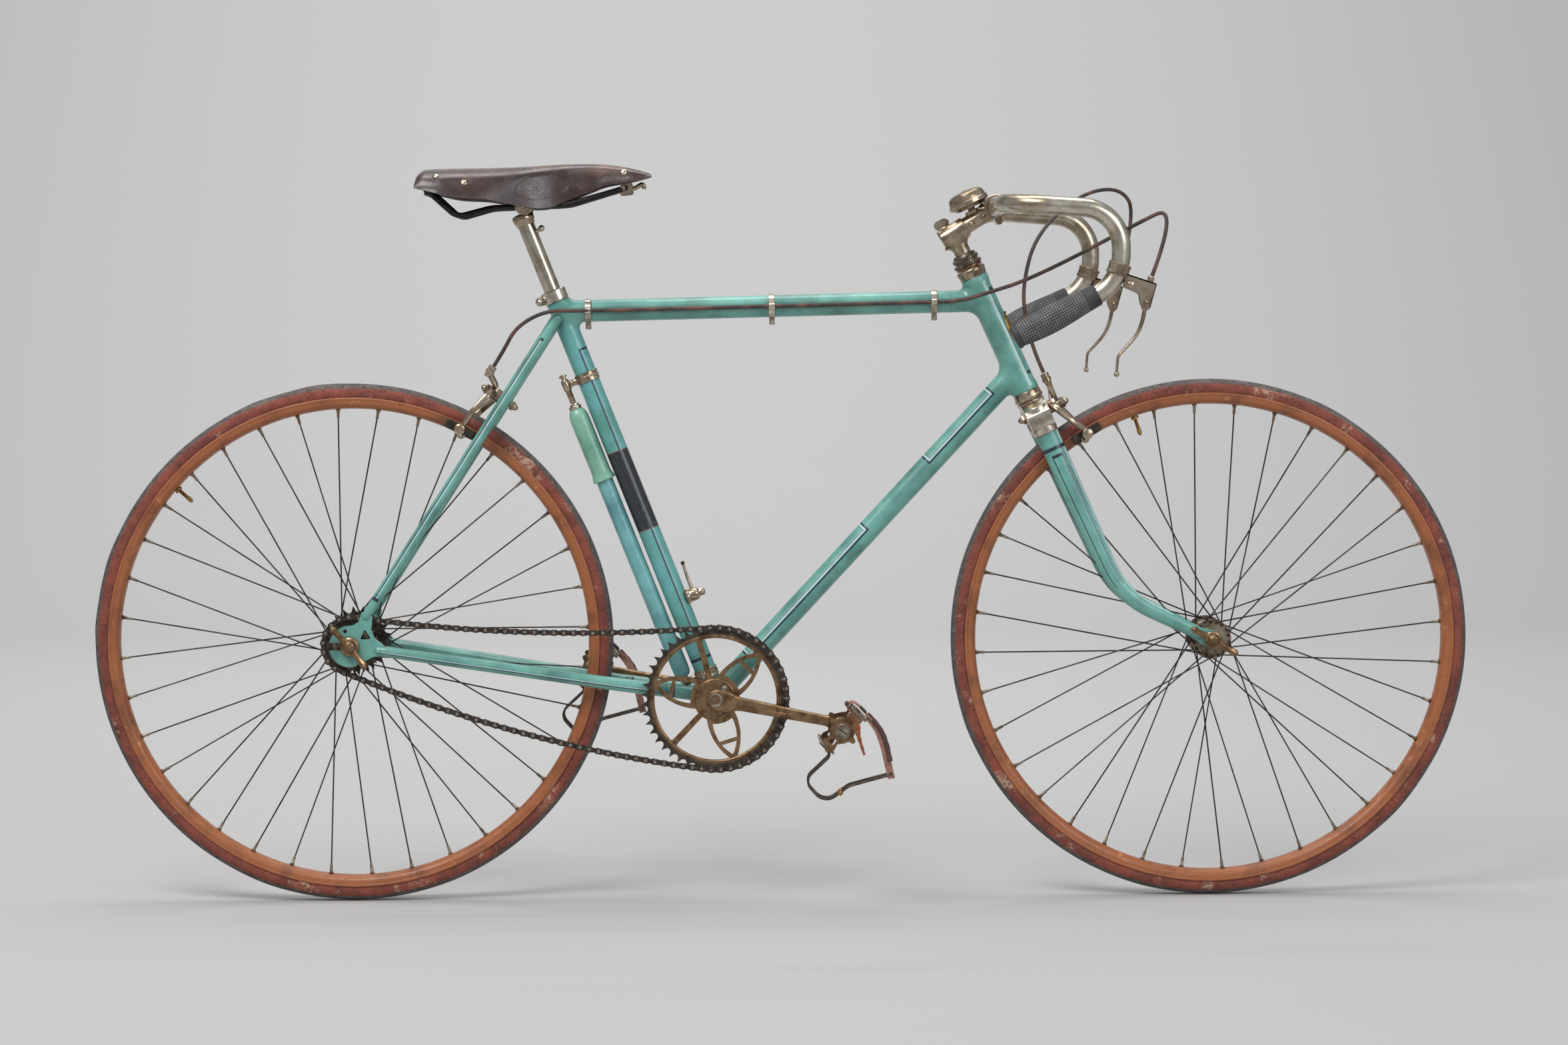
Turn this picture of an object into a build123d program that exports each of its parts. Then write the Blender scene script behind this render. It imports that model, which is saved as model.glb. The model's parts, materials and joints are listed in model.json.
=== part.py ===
from build123d import *
import math
import os

# Road racing bicycle, in millimetres.
# It is laid out with x forward from the rear axle, y to the rider's left and z up from the ground,
# and every piece is then moved so that the origin is the middle of the saddle's top.

# Driving dimensions

# Layout of the frame
WHEELBASE = 1120.0
WHEEL_RADIUS = 340.0
BB_X = 472.4
BB_Z = 267.0
SEAT_ANGLE = 68.5
HEAD_ANGLE = 65.6
FORK_RAKE = 84.0
SADDLE_X = 235.0
SADDLE_Z = 960.0

# Frame tubes: outer diameters, and places along the seat tube and the steering axis
MAIN_TUBE_D = 28.6
HEAD_TUBE_D = 34.0
HEAD_TUBE_WALL = 2.2
HEAD_TUBE_FROM = 394.0
HEAD_TUBE_TO = 557.0
TOP_TUBE_ON_SEAT = 542.0
TOP_TUBE_ON_HEAD = 524.0
DOWN_TUBE_ON_HEAD = 424.0
SEAT_TUBE_TOP = 571.0
BRAZE_FLARE = 5.0
BRAZE_LENGTH = 10.0
BB_SHELL_D = 40.0
BB_SHELL_LENGTH = 68.0
BB_SHELL_BORE = 33.0

# Rear triangle
REAR_WIDTH = 115.0
DROPOUT_THICK = 6.0
DROPOUT_RADIUS = 27.0
STAY_BRIDGE_Z = 655.0
CHAIN_STAY_D = 18.0
CHAIN_STAY_END_D = 14.0
SEAT_STAY_D = 15.0
SEAT_STAY_END_D = 12.5
EYELET_HOLE_D = 5.2

# Fork
FRONT_WIDTH = 92.0
STEERER_D = 25.4
STEERER_BORE = 22.4
CROWN_TOP = 379.0
CROWN_HEIGHT = 34.0
BLADE_TOP_Y = 30.0
BLADE_D = 27.0
BLADE_TIP_D = 14.0
BLADE_BEND_AT = 101.0
BLADE_BEND_RADIUS = 120.0
FORK_TIP_THICK = 5.0

# Headset
CUP_HEIGHT = 13.0
CUP_D = 39.0
BEARING_GAP = 0.8
LOCK_STACK_HEIGHT = 20.0

# Wheels
TYRE_D = 28.0
RIM_WIDTH = 30.0
RIM_DEPTH = 15.0
RIM_BED_GAP = 0.3
SPOKES = 36
SPOKE_D = 2.0
NIPPLE_D = 4.2
NIPPLE_LENGTH = 12.0
SPOKE_CIRCLE_D = 46.0
SPOKE_LEAN_ROOM = 1.4
FLANGE_D = 52.0
FLANGE_THICK = 3.2
FLANGE_SPACING = 64.0
HUB_BARREL_D = 24.0
HUB_CAP_D = 27.0
AXLE_D = 9.5
AXLE_GAP = 0.35
VALVE_D = 6.0
VALVE_LENGTH = 26.0
FRONT_VALVE_ANGLE = 108.5
REAR_VALVE_ANGLE = 138.5

# Drive
CHAIN_PITCH = 12.7
CHAIN_LINE = 44.0
UPPER_SAG = 12.7
LOWER_SAG = 17.3
ROLLER_D = 7.6
PLATE_THICK = 1.3
CHAIN_INSIDE = 4.6
PLATE_END_HEIGHT = 8.8
PLATE_WAIST_HEIGHT = 6.0
CHAINWHEEL_TEETH = 46
REAR_TEETH = 18
FAR_TEETH = 20
SPROCKET_THICK = 2.6
TOOTH_HEIGHT = 4.0
CHAINWHEEL_INNER_R = 83.5
SPIDER_GAP = 0.4
SPIDER_HUB_R = 33.0
SPINDLE_D = 16.0
CRANK_LENGTH = 165.0
CRANK_ANGLE = -10.5
CRANK_BOSS_D = 34.0
CRANK_EYE_D = 26.0
CRANK_THICK = 13.0
CRANK_INNER_Y = 48.0
CRANK_EYE_INNER_Y = 64.0
PEDAL_AXLE_D = 9.0
PEDAL_INNER_Y = 82.0
PEDAL_OUTER_Y = 168.0
PEDAL_WIDTH = 58.0
PEDAL_TILT = 45.0
PEDAL_PLATE = 2.5
PEDAL_BARREL_D = 17.0
END_PLATE_IN = 5.0
END_PLATE_OUT = 9.0
STRAP_WIDTH = 12.0
STRAP_THICK = 2.6
CLIP_WIRE_D = 3.2
CLIP_HALF_WIDTH = 11.0

# Saddle and post
POST_D = 22.0
POST_TOP = 668.0
COLLAR_D = 33.0
COLLAR_HEIGHT = 15.0
SADDLE_LENGTH = 303.0
SADDLE_REAR_X = 90.0
SADDLE_WIDTH = 168.0
NOSE_WIDTH = 42.0
LEATHER_THICK = 5.0
# How far the saddle's flaps hang below its crown, along its length from rear to nose
SADDLE_DROPS = ((0.0, 25), (0.12, 35), (0.3, 42), (0.4, 48), (0.5, 56), (0.6, 49), (0.8, 28), (1.0, 9))
RAIL_D = 7.5

# Handlebar and stem
BAR_D = 24.0
BAR_HALF_WIDTH = 200.0
BAR_CLAMP_FORWARD = 63.0
BAR_CLAMP_HEIGHT = 629.0
STEM_D = 22.0
STEM_AXIS_HEIGHT = 621.0
GRIP_D = 36.0
GRIP_LENGTH = 118.0
BELL_D = 53.0
BELL_HEIGHT = 19.0
BELL_FORWARD = 34.0
STEM_CLAMP_D = 32.0

# Pump
PUMP_OFFSET = 29.7
PUMP_D = 22.3
PUMP_HANDLE_D = 26.0
PUMP_FOOT_AT = 38.0
PUMP_TOP_AT = 424.0
PUMP_HANDLE_LENGTH = 108.0

# Brakes and cables
PAD_GAP = 3.0
PAD_LENGTH = 42.0
PAD_HEIGHT = 11.0
PAD_THICK = 8.0
BRAKE_WIRE_D = 5.0
BRAKE_BOLT_D = 7.0

# General clearance between pieces that lie against one another
SEAT_GAP = 0.3


# Frames of reference

BB = Vector(BB_X, 0, BB_Z)
REAR_AXLE = Vector(0, 0, WHEEL_RADIUS)
FRONT_AXLE = Vector(WHEELBASE, 0, WHEEL_RADIUS)
ORIGIN_SHIFT = Pos(-SADDLE_X, 0, -SADDLE_Z)
LOW = (Align.CENTER, Align.CENTER, Align.MIN)


def cosd(angle):
    return math.cos(math.radians(angle))


def sind(angle):
    return math.sin(math.radians(angle))


SEAT_UP = Vector(-cosd(SEAT_ANGLE), 0, sind(SEAT_ANGLE))
SEAT_FORWARD = Vector(sind(SEAT_ANGLE), 0, cosd(SEAT_ANGLE))
SEAT = Plane(origin=BB, x_dir=SEAT_FORWARD, z_dir=SEAT_UP)

STEER_UP = Vector(-cosd(HEAD_ANGLE), 0, sind(HEAD_ANGLE))
STEER_FORWARD = Vector(sind(HEAD_ANGLE), 0, cosd(HEAD_ANGLE))
STEER = Plane(origin=FRONT_AXLE - STEER_FORWARD * FORK_RAKE, x_dir=STEER_FORWARD, z_dir=STEER_UP)


def seat_point(forward, y, up):
    """A point given along the seat tube, from the bottom bracket's centre."""
    return SEAT.from_local_coords(Vector(forward, y, up))


def steer_point(forward, y, up):
    """A point given along the steering axis, from the foot of the rake."""
    return STEER.from_local_coords(Vector(forward, y, up))


# Shapes used in several places

def rod(start, end, diameter, end_diameter=None):
    """A round bar from one point to another, tapered where a second diameter is given."""
    axis = end - start
    place = Plane(origin=start, z_dir=axis).location
    if end_diameter is None:
        return place * Cylinder(diameter / 2, axis.length, align=LOW)
    return place * Cone(diameter / 2, end_diameter / 2, axis.length, align=LOW)


def across(x, z, y_from, y_to, diameter):
    """A round bar along y."""
    return rod(Vector(x, y_from, z), Vector(x, y_to, z), diameter)


def bent_bar(points, radii, diameter):
    """A round bar of straight runs joined by tangent arcs."""
    path = FilletPolyline(*points, radius=radii)
    section = Plane(origin=path @ 0, z_dir=path % 0) * Circle(diameter / 2)
    return sweep(section, path=path)


def flat_plate(outline, y_from, y_to):
    """A plate drawn in x and z, extruded along y."""
    face = Plane(origin=(0, y_from, 0), x_dir=(1, 0, 0), z_dir=(0, 1, 0)) * outline
    return extrude(face, amount=y_to - y_from)


def xz(x, z):
    """A point of a plate's sketch, whose second axis runs down when seen along +y."""
    return (x, -z)


def turned(profile, centre):
    """A body of revolution about the axle through centre, from points (y, radius)."""
    face = make_face(profile)
    return Pos(centre.X, centre.Y, centre.Z) * revolve(face, axis=Axis.Y)


def radius_points(*pairs):
    """Points of a turned profile, given as (y, radius)."""
    return Polyline(*[(radius, y, 0) for y, radius in pairs], close=True)


# Frame

def head_tube_solid():
    return rod(steer_point(0, 0, HEAD_TUBE_FROM), steer_point(0, 0, HEAD_TUBE_TO), HEAD_TUBE_D)


def head_tube():
    bore = HEAD_TUBE_D - 2 * HEAD_TUBE_WALL
    return head_tube_solid() - rod(
        steer_point(0, 0, HEAD_TUBE_FROM - 1), steer_point(0, 0, HEAD_TUBE_TO + 1), bore
    )


def seat_tube_solid():
    return rod(BB, seat_point(0, 0, SEAT_TUBE_TOP), MAIN_TUBE_D)


def bb_shell_solid():
    return across(BB_X, BB_Z, -BB_SHELL_LENGTH / 2, BB_SHELL_LENGTH / 2, BB_SHELL_D)


def seat_tube():
    bore = rod(seat_point(0, 0, SEAT_TUBE_TOP - 60), seat_point(0, 0, SEAT_TUBE_TOP + 1), POST_D + 2 * SEAT_GAP)
    return seat_tube_solid() - bb_shell_solid() - bore


def brazed_end(end, along, neighbour_d):
    """A brazed fillet where a main tube meets its neighbour, widest against it."""
    root = end + along * (neighbour_d / 2 - 2)
    return rod(root, root + along * (BRAZE_LENGTH + 2), MAIN_TUBE_D + 2 * BRAZE_FLARE, MAIN_TUBE_D)


def top_tube():
    start = seat_point(0, 0, TOP_TUBE_ON_SEAT)
    end = steer_point(0, 0, TOP_TUBE_ON_HEAD)
    along = (end - start).normalized()
    tube = rod(start, end, MAIN_TUBE_D)
    tube += brazed_end(start, along, MAIN_TUBE_D)
    tube += brazed_end(end, along * -1, HEAD_TUBE_D)
    return tube - seat_tube_solid() - head_tube_solid()


def down_tube():
    end = steer_point(0, 0, DOWN_TUBE_ON_HEAD)
    along = (end - BB).normalized()
    tube = rod(BB, end, MAIN_TUBE_D)
    tube += brazed_end(end, along * -1, HEAD_TUBE_D)
    tube += brazed_end(BB, along, BB_SHELL_D)
    return tube - bb_shell_solid() - seat_tube_solid() - head_tube_solid()


def bottom_bracket_shell():
    bore = across(BB_X, BB_Z, -BB_SHELL_LENGTH, BB_SHELL_LENGTH, SPINDLE_D + 3)
    shell = bb_shell_solid()
    for side in (-1, 1):
        face = side * BB_SHELL_LENGTH / 2
        shell += across(BB_X, BB_Z, face, face + side * 4, BB_SHELL_D - 3)
    return shell - bore


# Rear triangle

DROPOUT_INNER_Y = REAR_WIDTH / 2
DROPOUT_MIDDLE_Y = DROPOUT_INNER_Y + DROPOUT_THICK / 2
CHAIN_STAY_START = Vector(BB_X - 16, 20, BB_Z + 3)
CHAIN_STAY_BEND = Vector(345, 28.5, BB_Z + 18)
CHAIN_STAY_TIP = Vector(31, DROPOUT_MIDDLE_Y, WHEEL_RADIUS - 5)
SEAT_STAY_TOP_AT = 536.0
SEAT_STAY_TOP = seat_point(-7, MAIN_TUBE_D / 2 + 4.5, SEAT_STAY_TOP_AT)
SEAT_STAY_TIP = Vector(18, DROPOUT_MIDDLE_Y, WHEEL_RADIUS + 34)


def mirrored(point):
    return Vector(point.X, -point.Y, point.Z)


def chain_stays():
    """Both chain stays, joined by their bridge."""
    stays = None
    for flip in (lambda p: p, mirrored):
        bend_d = CHAIN_STAY_D
        stay = rod(flip(CHAIN_STAY_START), flip(CHAIN_STAY_BEND), CHAIN_STAY_D)
        stay += Pos(flip(CHAIN_STAY_BEND)) * Sphere(bend_d / 2)
        stay += rod(flip(CHAIN_STAY_BEND), flip(CHAIN_STAY_TIP), CHAIN_STAY_D, CHAIN_STAY_END_D)
        stays = stay if stays is None else stays + stay
    bridge_x = CHAIN_STAY_BEND.X + 14
    bridge_z = CHAIN_STAY_BEND.Z - 2
    stays += across(bridge_x, bridge_z, -CHAIN_STAY_BEND.Y, CHAIN_STAY_BEND.Y, 10)
    return stays - bb_shell_solid() - dropout_slabs()


def dropout_slabs():
    """The space that both dropout plates fill, used to trim the stays' ends."""
    slabs = None
    for side in (-1, 1):
        slab = flat_plate(dropout_outline(), side * DROPOUT_INNER_Y, side * (DROPOUT_INNER_Y + DROPOUT_THICK))
        slabs = slab if slabs is None else slabs + slab
    return slabs


def dropout_outline():
    """Rounded plate about the axle, with ears to the seat stay and the chain stay."""
    axle = Pos(*xz(0, WHEEL_RADIUS)) * Circle(DROPOUT_RADIUS)
    stay_ear = Pos(*xz(SEAT_STAY_TIP.X + 3, SEAT_STAY_TIP.Z + 5)) * Circle(SEAT_STAY_END_D / 2 + 2)
    chain_ear = Pos(*xz(CHAIN_STAY_TIP.X + 8, CHAIN_STAY_TIP.Z)) * Circle(CHAIN_STAY_END_D / 2 + 1)
    return make_hull([*axle.edges(), *stay_ear.edges(), *chain_ear.edges()])


def rear_dropouts():
    """Both rear dropouts: plates with a slot that opens to the rear, a cut-out and an eyelet."""
    outline = dropout_outline()
    slot = Pos(*xz(-DROPOUT_RADIUS, WHEEL_RADIUS)) * Rectangle(2 * DROPOUT_RADIUS, AXLE_D + 0.6)
    slot += Pos(*xz(0, WHEEL_RADIUS)) * Circle(AXLE_D / 2 + 0.3)
    window = make_face(
        Polyline(xz(14, WHEEL_RADIUS + 10), xz(20, WHEEL_RADIUS + 24), xz(28, WHEEL_RADIUS + 8), close=True)
    )
    eyelet = Pos(*xz(EYELET.X, EYELET.Z)) * Circle(EYELET_HOLE_D / 2)
    outline = outline - slot - window - eyelet
    plates = None
    for side in (-1, 1):
        plate = flat_plate(outline, side * DROPOUT_INNER_Y, side * (DROPOUT_INNER_Y + DROPOUT_THICK))
        plates = plate if plates is None else plates + plate
    return plates


EYELET = Vector(-6, DROPOUT_MIDDLE_Y, WHEEL_RADIUS + 20)


def seat_stays():
    """Both seat stays, joined by the brake bridge."""
    stays = None
    for flip in (lambda p: p, mirrored):
        stay = rod(flip(SEAT_STAY_TIP), flip(SEAT_STAY_TOP), SEAT_STAY_END_D, SEAT_STAY_D)
        stay += Pos(flip(SEAT_STAY_TOP)) * Sphere(SEAT_STAY_D / 2)
        stays = stay if stays is None else stays + stay
    share = (STAY_BRIDGE_Z - SEAT_STAY_TIP.Z) / (SEAT_STAY_TOP.Z - SEAT_STAY_TIP.Z)
    middle = SEAT_STAY_TIP + (SEAT_STAY_TOP - SEAT_STAY_TIP) * share
    stays += across(middle.X, middle.Z, -middle.Y, middle.Y, 11)
    return stays - seat_tube_solid() - dropout_slabs() - top_tube() - bolt_hole(BRAKE_PLANE_REAR)


BRIDGE_SHARE = (STAY_BRIDGE_Z - SEAT_STAY_TIP.Z) / (SEAT_STAY_TOP.Z - SEAT_STAY_TIP.Z)
BRIDGE_X = SEAT_STAY_TIP.X + (SEAT_STAY_TOP.X - SEAT_STAY_TIP.X) * BRIDGE_SHARE


# Headset

def cup_ring(start, end, outer, inner):
    ring = rod(steer_point(0, 0, start), steer_point(0, 0, end), outer)
    return ring - rod(steer_point(0, 0, start - 1), steer_point(0, 0, end + 1), inner)


def headset_cups():
    """The two cups pressed on the head tube's ends."""
    inner = STEERER_D + 1.2
    low = cup_ring(HEAD_TUBE_FROM - CUP_HEIGHT, HEAD_TUBE_FROM, CUP_D, inner)
    high = cup_ring(HEAD_TUBE_TO, HEAD_TUBE_TO + CUP_HEIGHT, CUP_D, inner)
    return low + high


def headset_lock_rings():
    """Adjusting race, washer and lock nut on the steerer."""
    start = HEAD_TUBE_TO + CUP_HEIGHT + BEARING_GAP
    inner = STEERER_D + 2 * SEAT_GAP
    race = cup_ring(start, start + 0.4 * LOCK_STACK_HEIGHT, CUP_D - 1, inner)
    nut = cup_ring(start + 0.4 * LOCK_STACK_HEIGHT, start + LOCK_STACK_HEIGHT, CUP_D - 5, inner)
    return race + nut


# Fork

CROWN_BOTTOM = CROWN_TOP - CROWN_HEIGHT
STEERER_TOP = HEAD_TUBE_TO + CUP_HEIGHT + BEARING_GAP + LOCK_STACK_HEIGHT - 1
BLADE_TIP_Y = FRONT_WIDTH / 2 + FORK_TIP_THICK / 2


def crown_block():
    """The crown between the race seat and the tops of the blades."""
    shoulder = BLADE_TOP_Y + BLADE_D / 2 + 1.5
    inside = BLADE_TOP_Y - BLADE_D / 2
    race = CUP_D / 2
    profile = Polyline(
        (race, CROWN_TOP),
        (shoulder, CROWN_TOP - 14),
        (shoulder, CROWN_BOTTOM),
        (inside - 1, CROWN_BOTTOM),
        (inside - 4, CROWN_BOTTOM + 10),
        (4 - inside, CROWN_BOTTOM + 10),
        (1 - inside, CROWN_BOTTOM),
        (-shoulder, CROWN_BOTTOM),
        (-shoulder, CROWN_TOP - 14),
        (-race, CROWN_TOP),
        close=True,
    )
    plane = Plane(origin=steer_point(0, 0, 0), x_dir=(0, 1, 0), z_dir=STEER_FORWARD)
    return extrude(plane * make_face(profile), amount=BLADE_D / 2 + 1, both=True)


def fork_crown():
    """Sloping crown with the steerer brazed into it, drilled for the brake bolt."""
    crown = crown_block()
    crown += rod(steer_point(0, 0, CROWN_TOP), steer_point(0, 0, HEAD_TUBE_FROM - CUP_HEIGHT - BEARING_GAP), CUP_D - 2)
    crown += rod(steer_point(0, 0, CROWN_BOTTOM + 12), steer_point(0, 0, STEERER_TOP), STEERER_D)
    crown -= rod(steer_point(0, 0, CROWN_TOP), steer_point(0, 0, STEERER_TOP + 1), STEERER_BORE)
    return crown - bolt_hole(BRAKE_PLANE_FRONT)


def blade_path(side):
    top = steer_point(0, side * BLADE_TOP_Y, CROWN_BOTTOM - SEAT_GAP)
    bend = steer_point(0, side * (BLADE_TOP_Y + 11), BLADE_BEND_AT)
    tip = steer_point(FORK_RAKE - 10, side * BLADE_TIP_Y, 12)
    return FilletPolyline(top, bend, tip, radius=BLADE_BEND_RADIUS)


def fork_blades():
    """Both blades, tapering to the tips that hold the axle."""
    blades = None
    for side in (-1, 1):
        path = blade_path(side)
        wide = Plane(origin=path @ 0, z_dir=path % 0) * Circle(BLADE_D / 2)
        narrow = Plane(origin=path @ 1, z_dir=path % 1) * Circle(BLADE_TIP_D / 2)
        blade = sweep(sections=[wide, narrow], path=path, multisection=True)
        tip_outline = Pos(*xz(WHEELBASE, WHEEL_RADIUS)) * Circle(13)
        neck = steer_point(FORK_RAKE - 18, 0, 20)
        tip_outline = make_hull(
            [*tip_outline.edges(), *(Pos(*xz(neck.X, neck.Z)) * Circle(BLADE_TIP_D / 2)).edges()]
        )
        slot = Pos(*xz(WHEELBASE, WHEEL_RADIUS)) * Circle(AXLE_D / 2 + 0.3)
        slot += Pos(*xz(WHEELBASE, WHEEL_RADIUS - 10)) * Rectangle(AXLE_D + 0.6, 20)
        inner = side * FRONT_WIDTH / 2
        blade += flat_plate(tip_outline - slot, inner, inner + side * FORK_TIP_THICK)
        blade -= flat_plate(slot, inner - side * 20, inner + side * 30)
        blades = blade if blades is None else blades + blade
    return blades - crown_block()


# Wheels

def wheel_rim(centre):
    """Wooden rim: a hollow bed for the tyre outside, rounded inside."""
    half = RIM_WIDTH / 2
    tyre_centre = WHEEL_RADIUS - TYRE_D / 2
    bed = TYRE_D / 2 + RIM_BED_GAP
    lip_y = half - 1.5
    lip = tyre_centre - math.sqrt(bed**2 - min(lip_y, 0.96 * bed) ** 2)
    lip_y = min(lip_y, 0.96 * bed)
    inner = lip - RIM_DEPTH
    bed_arc = ThreePointArc((lip, -lip_y), (tyre_centre - bed, 0), (lip, lip_y))
    side_a = Line((lip, lip_y), (lip - 2.5, half))
    inner_arc = ThreePointArc((lip - 2.5, half), (inner, 0), (lip - 2.5, -half))
    side_b = Line((lip - 2.5, -half), (lip, -lip_y))
    face = make_face([bed_arc, side_a, inner_arc, side_b])
    return Pos(centre) * revolve(face, axis=Axis.Y)


def rim_inner_radius():
    bed = TYRE_D / 2 + RIM_BED_GAP
    lip_y = min(RIM_WIDTH / 2 - 1.5, 0.96 * bed)
    return WHEEL_RADIUS - TYRE_D / 2 - math.sqrt(bed**2 - lip_y**2) - RIM_DEPTH


def wheel_tyre(centre):
    return Pos(centre) * (Rot(90, 0, 0) * Torus(WHEEL_RADIUS - TYRE_D / 2, TYRE_D / 2))


def wheel_hub(centre, barrel_end):
    """Hub shell with two flanges, bored for the axle."""
    flange_y = FLANGE_SPACING / 2
    t = FLANGE_THICK / 2
    bore = AXLE_D / 2 + AXLE_GAP
    barrel = HUB_BARREL_D / 2
    flange = FLANGE_D / 2
    flare = SPOKE_CIRCLE_D / 2 - SPOKE_D - 2 * SEAT_GAP
    cap = HUB_CAP_D / 2
    hub = turned(
        radius_points(
            (-barrel_end, bore), (-barrel_end, cap - 4), (-barrel_end + 2, cap), (-flange_y - t, cap),
            (-flange_y - t, flange), (-flange_y + t, flange), (-flange_y + t, flare),
            (-flange_y + t + 6, barrel), (flange_y - t - 6, barrel), (flange_y - t, flare),
            (flange_y - t, flange), (flange_y + t, flange),
            (flange_y + t, cap), (barrel_end - 2, cap), (barrel_end, cap - 4), (barrel_end, bore),
        ),
        centre,
    )
    return hub


def one_spoke(hub_angle, rim_angle, hub_y, rim_y):
    """A straight spoke and its nipple, from beside the flange to just inside the rim."""
    hub_r = SPOKE_CIRCLE_D / 2
    rim_r = rim_inner_radius() - SEAT_GAP
    start = Vector(hub_r * cosd(hub_angle), hub_y, hub_r * sind(hub_angle))
    end = Vector(rim_r * cosd(rim_angle), rim_y, rim_r * sind(rim_angle))
    axis = end - start
    place = Plane(origin=start, z_dir=axis).location
    spoke = place * extrude(RegularPolygon(SPOKE_D / 2, 6), amount=axis.length)
    nipple_start = start + axis.normalized() * (axis.length - NIPPLE_LENGTH)
    nipple = Plane(origin=nipple_start, z_dir=axis).location * extrude(
        RegularPolygon(NIPPLE_D / 2, 6), amount=NIPPLE_LENGTH
    )
    return spoke + nipple


def wheel_spokes(centre, valve_angle):
    """All spokes of a wheel, laced three-cross from two flanges, with the valve midway between two."""
    per_side = SPOKES // 2
    step = 360 / per_side
    cross = 3 * step
    stand_off = FLANGE_THICK / 2 + SPOKE_D / 2 + SEAT_GAP
    spokes = []
    for side in (-1, 1):
        first = valve_angle + step / 4 + (0 if side < 0 else step / 2)
        for lean in (-1, 1):
            hub_angle = first + (0 if lean < 0 else step)
            outside = SPOKE_LEAN_ROOM if lean < 0 else 0
            hub_y = side * (FLANGE_SPACING / 2 - lean * stand_off + outside)
            spoke = one_spoke(hub_angle, hub_angle + lean * cross, hub_y, side * 2.5)
            for k in range(per_side // 2):
                spokes.append(Pos(centre) * (Rot(0, k * 2 * step, 0) * spoke))
    return Compound(children=spokes)


def wheel_valve(centre, angle):
    """The valve's stem and its nut against the rim."""
    rim_r = rim_inner_radius() - SEAT_GAP
    out = Vector(cosd(angle), 0, sind(angle))
    stem = rod(centre + out * (rim_r - VALVE_LENGTH), centre + out * rim_r, VALVE_D)
    nut = rod(centre + out * (rim_r - 4), centre + out * rim_r, VALVE_D + 5)
    return stem + nut


def wing_nut(x, z, y_face, side, wing_angle):
    """A wing nut whose base lies on the face at y_face."""
    nut = across(x, z, y_face, y_face + side * 4, 24)
    nut += across(x, z, y_face + side * 4, y_face + side * 14, 16)
    for turn in (0, 180):
        root = Vector(x + 5 * cosd(wing_angle + turn), y_face + side * 9, z + 5 * sind(wing_angle + turn))
        tip = Vector(x + 31 * cosd(wing_angle + turn), y_face + side * 17, z + 31 * sind(wing_angle + turn))
        nut += rod(root, tip, 9, 6)
        nut += Pos(tip) * Sphere(3.6)
    return nut


def axle_with_nuts(x, z, clamp_width, plate_thick, wing_angle):
    """Solid axle, its cones outside the hub and a wing nut at each end."""
    face = clamp_width / 2 + plate_thick
    axle = across(x, z, -face - 18, face + 18, AXLE_D)
    for side in (-1, 1):
        axle += across(x, z, side * (clamp_width / 2 - 5), side * clamp_width / 2, 17)
        axle += wing_nut(x, z, side * face, side, wing_angle)
    return axle


# Drive

def pitch_radius(teeth):
    return CHAIN_PITCH / (2 * math.sin(math.pi / teeth))


def tangent_angles():
    """Angles, in degrees, where the chain leaves both wheels above and below."""
    gap = BB - REAR_AXLE
    centre_angle = math.degrees(math.atan2(gap.Z, gap.X))
    lean = math.degrees(math.asin((pitch_radius(CHAINWHEEL_TEETH) - pitch_radius(REAR_TEETH)) / gap.length))
    return centre_angle + 90 + lean, centre_angle - 90 - lean


def chain_layout(slack):
    """Where the two runs leave both wheels when their sags are the given share of the photographed ones.

    Returns the leaving angles on the chainwheel and the sprocket, the run's ends and sags, and each
    stretch's length in pitches, in the order wheel, lower run, sprocket, upper run.
    """
    top, bottom = tangent_angles()
    gap = (BB - REAR_AXLE).length
    big = pitch_radius(CHAINWHEEL_TEETH)
    small = pitch_radius(REAR_TEETH)
    run = math.sqrt(gap**2 - (big - small) ** 2)
    upper = UPPER_SAG * slack
    lower = LOWER_SAG * slack
    upper_tilt = math.degrees(math.atan(4 * upper / run))
    lower_tilt = math.degrees(math.atan(4 * lower / run))
    big_top = top + upper_tilt
    big_bottom = bottom + lower_tilt
    small_top = top - upper_tilt
    small_bottom = bottom - lower_tilt
    ends = [
        wheel_point(BB, big, big_bottom),
        wheel_point(REAR_AXLE, small, small_bottom),
        wheel_point(REAR_AXLE, small, small_top),
        wheel_point(BB, big, big_top),
    ]
    lengths = [
        (big_top - big_bottom) * CHAINWHEEL_TEETH / 360,
        sagging_length((ends[1] - ends[0]).length, lower) / CHAIN_PITCH,
        (360 - small_top + small_bottom) * REAR_TEETH / 360,
        sagging_length((ends[3] - ends[2]).length, upper) / CHAIN_PITCH,
    ]
    return big_top, small_bottom, ends, (lower, upper), lengths


def wheel_point(centre, radius, angle):
    return Vector(centre.X + radius * cosd(angle), 0, centre.Z + radius * sind(angle))


def sagging_length(span, sag):
    return span + 8 * sag**2 / (3 * span)


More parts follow.
